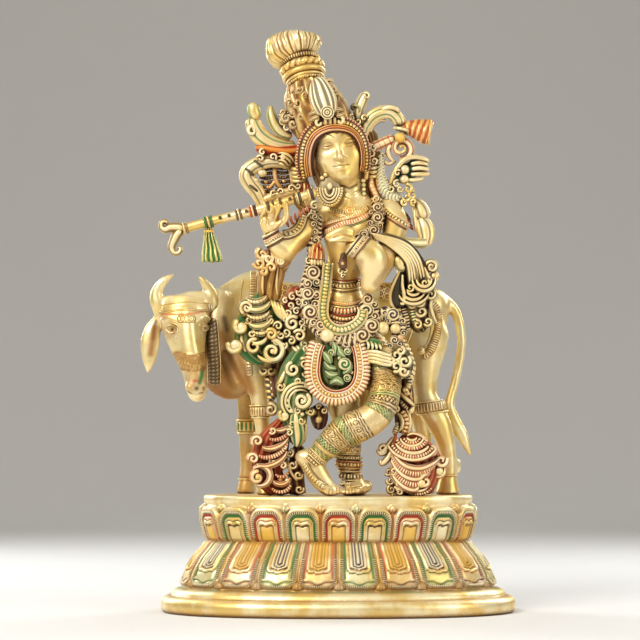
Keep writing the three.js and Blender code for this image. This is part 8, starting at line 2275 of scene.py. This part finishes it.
def right_side():
    parts = Parts()
    # sash over the hip with its knot
    for k in range(4):
        sweep(parts, [(365, 351.4 + 3.2 * k, 50, 1.8), (374, 351.6 + 3.4 * k, 55, 2.3), (383, 353.6 + 3.5 * k, 57.5, 2.4), (392, 356.4 + 3.0 * k, 55, 1.8)], grooved("green" if k % 2 else "black", 0.75, 3, 0.6), step=0.6, sides=16)
    mass(parts, [(366, 356, 46, 6.5, 5), (378, 358, 50, 8, 5), (391, 360, 50, 8, 5)], "green", 0.8, 6, 0.7, sides=40)
    mass(parts, [(366, 344, 48, 6, 5), (374, 345.6, 50, 7.4, 5), (382, 348.4, 50, 5, 4.4)], "green", 0.95, 6, 0.9, sides=48)
    for k in range(4):
        sweep(parts, [(366.6 + 4 * k, 340.6 + 1.2 * k, 51, 1.0), (368.6 + 4 * k, 345 + 0.8 * k, 55.4, 1.7), (368 + 4.2 * k, 349.6 + 0.4 * k, 54, 1.0)], grooved("green", 0.9, 3, 0.5), step=0.6, sides=14)
    mass(parts, [(391, 352, 47, 8, 6), (398, 358, 47, 12, 7), (402, 367, 45, 11, 7), (402, 377, 41, 5, 5)], "black", 0.9, 8, 0.9, sides=60)
    for x, y, r, s, h, p in ((396.4, 355.4, 6.0, 150, 1, "black"), (404.6, 361.4, 6.2, 60, -1, "green"), (396.4, 366.4, 5.6, 230, 1, "green"), (403.4, 371.4, 4.8, 20, -1, "black"), (390.6, 361, 4.0, 120, -1, "green"), (400.4, 351, 4.2, 90, -1, "black")):
        curl(parts, x, y, 54, r, s, h, 2.6, p)
    pearl(parts, 398.6, 362, 57, 2.4, "mint", 0.4)
    # beaded ribbon that falls beside the leg
    mass(parts, [(404, 378, 30, 6, 5), (405, 392, 30, 8, 5.6), (404, 406, 30, 9.4, 5.6), (403.4, 420, 31, 8, 6), (404, 434, 33, 8.4, 7)], "maroon", 0.95, 7, 0.8, sides=56)
    sweep(parts, [(406.4, 371, 37, 2.0), (409, 377, 38.5, 2.9), (409.2, 383, 38.5, 2.8), (405.8, 386.4, 37, 1.2)], ticked("black", 2.4, 0.9, 0.9, None, 0.95), step=0.5, sides=20)
    for x, y, r in ((404.1, 389.9, 2.5), (407.9, 393.6, 2.0), (400.2, 380.6, 1.4), (400.8, 386.4, 1.3), (397.2, 424.4, 2.3)):
        pearl(parts, x, y, 37.5, r, "cream", 0.5)
    # slanting leaf, ribbed strand under it and the hooks at their ends
    sweep(parts, [(399.2, 391.6, 36, 1.2), (403, 396.2, 38.5, 2.4), (408.6, 400.8, 38.5, 2.7), (413.8, 405.8, 37, 1.5)], grooved("maroon", 0.6, 3, 0.6), step=0.6, sides=20)
    sweep(parts, [(411.8, 391.2, 36, 0.9), (410.4, 395.8, 37, 1.6), (412.6, 400.2, 36, 0.9)], plain("pink", 0.4), step=0.6, sides=14)
    sweep(parts, [(399.2, 399.2, 36, 1.0), (402.8, 404.2, 38, 2.0), (407.8, 409.2, 37, 1.3)], ticked("maroon", 2.2, 0.95, 0.8, None, 0.95), step=0.5, sides=18)
    sweep(parts, [(408.2, 413.6, 37, 1.4), (411.4, 411, 38.5, 2.7), (413.4, 406.6, 37, 1.4)], plain("cream", 0.25), step=0.6, sides=16)
    curl(parts, 396.2, 408.4, 37, 3.8, 150, 1, 2.0, "black", count=3)
    # beaded channel between a thick and a thin cord, down to the flounce
    style = pearled("red", 3.7, 0.97, 1.4, 1.7, 0.98)
    sweep(parts, [(401.6, 410.6, 36.5, 2.4, 2), (405, 417, 38, 3.2, 2.2), (406.6, 423.6, 39, 3.3, 2.2), (405.2, 430.6, 40, 3.0, 2.2), (402.6, 435.4, 41, 2.2, 2)], style, step=0.4, sides=28)
    sweep(parts, [(406.2, 408.6, 37, 1.0), (409.4, 415, 38.5, 1.4), (410.6, 423, 39.5, 1.5), (409.2, 431, 40.5, 1.4), (407, 436, 41, 0.9)], plain("cream", 0.45), step=0.7, sides=14)
    sweep(parts, [(397.2, 412.6, 36, 1.0), (400.8, 416.2, 38.5, 1.9), (402.6, 422.4, 39.5, 2.3), (401.2, 428.6, 40, 2.2), (397.4, 432.2, 39, 1.2)], grooved("black", 0.5, 3, 0.5), step=0.6, sides=18)
    sweep(parts, [(397.4, 424.8, 39, 1.8), (395.6, 430, 41, 3.0), (394.2, 435.4, 42, 2.4)], ticked("brown", 2.2, 0.8, 0.8, None, 0.95), step=0.5, sides=20)
    parts.piece("hip_sash", "figure_brass", "flute_player")
    parts = Parts()
    # great red and white flounce at the foot
    mass(parts, [(406, 432, 34, 5, 6), (409, 440, 35, 12.5, 9), (413, 452, 36, 21, 11), (416.4, 464, 37, 25, 12.5), (415.6, 476, 37, 22, 13), (412, 487, 37, 19.5, 12), (411.6, 496, 37, 18.6, 11)], "red", 0.92, 17, 1.1, sides=150, ends=(1, 0.2))
    # cup of nested arcs at its top
    arcs(parts, 411.8, 436.6, 49, (5.0, 8.4, 11.8, 15.2), 188, 352, (1.9, 2.0, 2.1, 2.4), "red", flat=0.80, rise=1.5, taper=0.45, tick=2.2, dd=-0.8)
    arcs(parts, 412.6, 438.6, 52.0, (18.2, 22.4, 26.4), 205, 338, (2.6, 2.6, 2.4), "red", flat=0.80, rise=1.5, taper=0.5, tick=2.3, dd=0.4, lean=-6)
    sweep(parts, [(406.6, 436.0, 47, 1.0), (412.6, 433.6, 47, 1.7), (419.4, 435.4, 47, 1.9), (424.6, 440.4, 46, 1.9), (426.0, 446, 46, 1.4)], grooved("red", 0.9, 4, 0.7), step=0.6, sides=18)
    # wide sweeping bands below
    for k in range(5):
        x0, y0 = 391.4 - 0.2 * k, 449 + 5.4 * k
        style = ticked("red", 2.1, 0.9, 0.8, None, 0.9) if k % 2 else grooved("red", 0.92, 5, 0.9)
        sweep(parts, [(x0, y0, 47, 1.4), (x0 + 5.6, y0 + 9.6, 50, 2.5), (x0 + 15, y0 + 17.4, 52, 2.9), (x0 + 28 - k, y0 + 19.6, 51, 2.9), (x0 + 40 - 3.0 * k, y0 + 15.4, 48, 2.5), (x0 + 49 - 4.2 * k, y0 + 8.6, 43, 1.3)], style, step=0.55, sides=22)
    # hooks at the left edge
    curl(parts, 382.4, 448.6, 44, 5.6, 230, 1, 2.4, "red", turns=1.2, amount=0.6)
    sweep(parts, [(394, 437, 44, 1.6), (389.6, 443, 45, 2.5), (384.6, 450, 45, 2.9), (379.6, 452.4, 44, 2.6), (377.6, 449, 43, 1.4)], grooved("red", 0.7, 3, 0.7), step=0.6, sides=18)
    sweep(parts, [(393.6, 441, 45, 1.6), (391.6, 451, 46, 2.6), (386.6, 459.6, 46, 3.2), (381.8, 463.4, 45, 2.8), (380.4, 459, 44, 1.6)], grooved("maroon", 0.6, 3, 0.7), step=0.6, sides=18)
    sweep(parts, [(396, 433, 46, 1.4), (395, 442, 48, 2.1), (396.4, 452, 49, 2.1), (400, 460, 49, 1.2)], plain("red", 0.85), step=0.7, sides=14)
    # right edge and bulb
    curl(parts, 441.0, 460.6, 42, 6.4, 30, -1, 2.8, "red", turns=1.3)
    curl(parts, 430.6, 451.4, 45, 5.6, 100, -1, 2.6, "red", turns=1.3)
    pearl(parts, 439.0, 471.2, 42, 4.6, "cream", 0.45)
    arcs(parts, 438.2, 470.2, 40, (6.6,), -150, 40, (1.8,), "red", rise=1.0)
    curl(parts, 425.4, 481.4, 49, 6.6, 80, 1, 3.0, "red", turns=1.2)
    pearl(parts, 421.6, 483.6, 51, 4.4, "cream", 0.45)
    arcs(parts, 417.6, 480.4, 48.5, (12.6, 16.4), 196, 330, (2.2, 2.0), "red", rise=1.0, flat=0.86, tick=2.2)
    for x, y, r, s, h in ((406.6, 485, 4.2, 120, 1), (398.4, 484.4, 4.4, 200, 1), (408.4, 476.6, 3.4, 60, -1), (393.6, 471, 3.8, 220, 1), (399.4, 492.4, 3.6, 160, -1)):
        curl(parts, x, y, 49, r, s, h, 2.0, "red")
    # lower left edge: dark curls
    for x, y, r, s, h in ((391, 480.6, 4.2, 160, 1), (391.6, 489.6, 4.4, 100, 1), (388.6, 471.6, 3.6, 200, 1), (395, 496, 3.2, 60, 1)):
        curl(parts, x, y, 43, r, s, h, 1.9, "maroon")
    parts.piece("flounce_low_right", "figure_brass", "flute_player")


def back_of_dress():
    parts = Parts()
    # plain pleated cloth down the back, between the falls of the shawl
    pleat = lambda S, T: 1.2 * np.cos(13 * T + 0.5 * np.sin(0.06 * S)) * (0.6 + 0.4 * np.cos(T + math.pi))
    shade = lambda S, T, h: over(bare(S.shape), "brown", 0.6 * smooth(0.2, -0.8, h))
    sweep(parts, [(348, 310, 6, 20, 6), (349, 330, 2, 26, 8), (350, 352, 0, 30, 9), (351, 376, 0, 30, 9), (352, 398, 2, 26, 8), (352, 418, 5, 20, 7), (352, 434, 8, 13, 6)], (pleat, shade), step=2.2, sides=120, ends=(0.5, 0.6), even=True)
    # end of the shawl across the shoulders
    sweep(parts, [(372, 212, 8, 4, 3), (384, 222, 5, 6, 3.4), (396, 238, 4, 8, 4), (404, 256, 8, 9, 4.4), (408, 274, 16, 10, 5), (411, 292, 24, 9, 5)], (lambda S, T: 0.9 * np.cos(7 * T), lambda S, T, h: over(bare(S.shape), "green", 0.7 * (h < -0.2))), step=1.0, sides=60)
    sweep(parts, [(318, 214, 8, 4, 3), (306, 226, 7, 6, 3.4), (294, 242, 10, 8, 4), (284, 258, 18, 8, 4.4), (277, 272, 28, 8, 5)], (lambda S, T: 0.9 * np.cos(7 * T), lambda S, T, h: over(bare(S.shape), "brown", 0.6 * (h < -0.2))), step=1.0, sides=60)
    parts.piece("back_cloth", "figure_brass", "flute_player")


shawl_right()
shawl_left()
lap()
middle_flounce()
low_left()
right_side()
back_of_dress()


# ------------------------------------------------------------------ floor, light and camera
def setting():
    # a pale floor that sweeps up behind the object
    run = [(-6.0, 0.0), (1.9, 0.0)]
    run += [(1.9 + 1.0 * math.sin(a), 1.0 - 1.0 * math.cos(a)) for a in np.linspace(0, math.pi / 2, 24)[1:]]
    run += [(2.9, 4.6)]
    floor = bpy.data.meshes.new("studio_floor")
    floor.from_pydata(
        [(x, y, z) for y, z in run for x in (-7.0, 7.0)],
        [],
        [(2 * i, 2 * i + 1, 2 * i + 3, 2 * i + 2) for i in range(len(run) - 1)],
    )
    floor.polygons.foreach_set("use_smooth", [True] * len(floor.polygons))
    obj = bpy.data.objects.new("studio_floor", floor)
    bpy.context.scene.collection.objects.link(obj)
    m = bpy.data.materials.new("studio_floor")
    m.use_nodes = True
    b = m.node_tree.nodes["Principled BSDF"]
    b.inputs["Base Color"].default_value = (0.78, 0.77, 0.75, 1)
    b.inputs["Roughness"].default_value = 0.7
    floor.materials.append(m)

    world = bpy.data.worlds.new("studio")
    bpy.context.scene.world = world
    world.use_nodes = True
    tree = world.node_tree
    place = tree.nodes.new("ShaderNodeTexCoord")
    split = tree.nodes.new("ShaderNodeSeparateXYZ")
    fade = tree.nodes.new("ShaderNodeValToRGB")
    tree.links.new(place.outputs["Generated"], split.inputs[0])
    tree.links.new(split.outputs["Z"], fade.inputs[0])
    tree.links.new(fade.outputs[0], tree.nodes["Background"].inputs[0])
    ramp = fade.color_ramp
    ramp.elements[0].position, ramp.elements[0].color = 0.0, (0.13, 0.10, 0.075, 1)
    ramp.elements[1].position, ramp.elements[1].color = 0.80, (0.95, 0.95, 0.93, 1)
    mid = ramp.elements.new(0.30)
    mid.color = (0.24, 0.20, 0.16, 1)
    tree.nodes["Background"].inputs[1].default_value = 0.72
    bpy.context.scene.view_settings.view_transform = "Standard"
    bpy.context.scene.view_settings.gamma = 0.86
    bpy.context.scene.view_settings.exposure = -0.06

    def lamp(name, place, size, power, colour):
        light = bpy.data.lights.new(name, "AREA")
        light.shape = "RECTANGLE"
        light.size, light.size_y = size
        light.energy = power
        light.color = colour
        o = bpy.data.objects.new(name, light)
        o.location = place
        o.rotation_euler = (Vector((0, 0, 0.26)) - Vector(place)).to_track_quat("-Z", "Y").to_euler()
        bpy.context.scene.collection.objects.link(o)

    lamp("key", (-0.9, -1.3, 1.25), (0.9, 0.7), 27, (1.0, 0.97, 0.92))
    lamp("fill", (1.3, -0.9, 0.7), (0.7, 0.9), 9, (1.0, 0.96, 0.90))
    lamp("rear_left", (-1.0, 0.9, 0.8), (0.5, 0.9), 11, (0.96, 0.98, 1.0))
    lamp("rear_right", (0.9, 0.9, 0.9), (0.5, 0.9), 9, (0.96, 0.98, 1.0))

    cam = bpy.data.cameras.new("camera")
    cam.lens = 146.25
    cam.sensor_width = 36
    cam.clip_end = 50
    o = bpy.data.objects.new("camera", cam)
    o.location = (VIEW_X * MM, -VIEW_FAR * MM, VIEW_Z * MM)
    o.rotation_euler = (math.pi / 2 + VIEW_TILT, 0, 0)
    bpy.context.scene.collection.objects.link(o)
    bpy.context.scene.camera = o


setting()
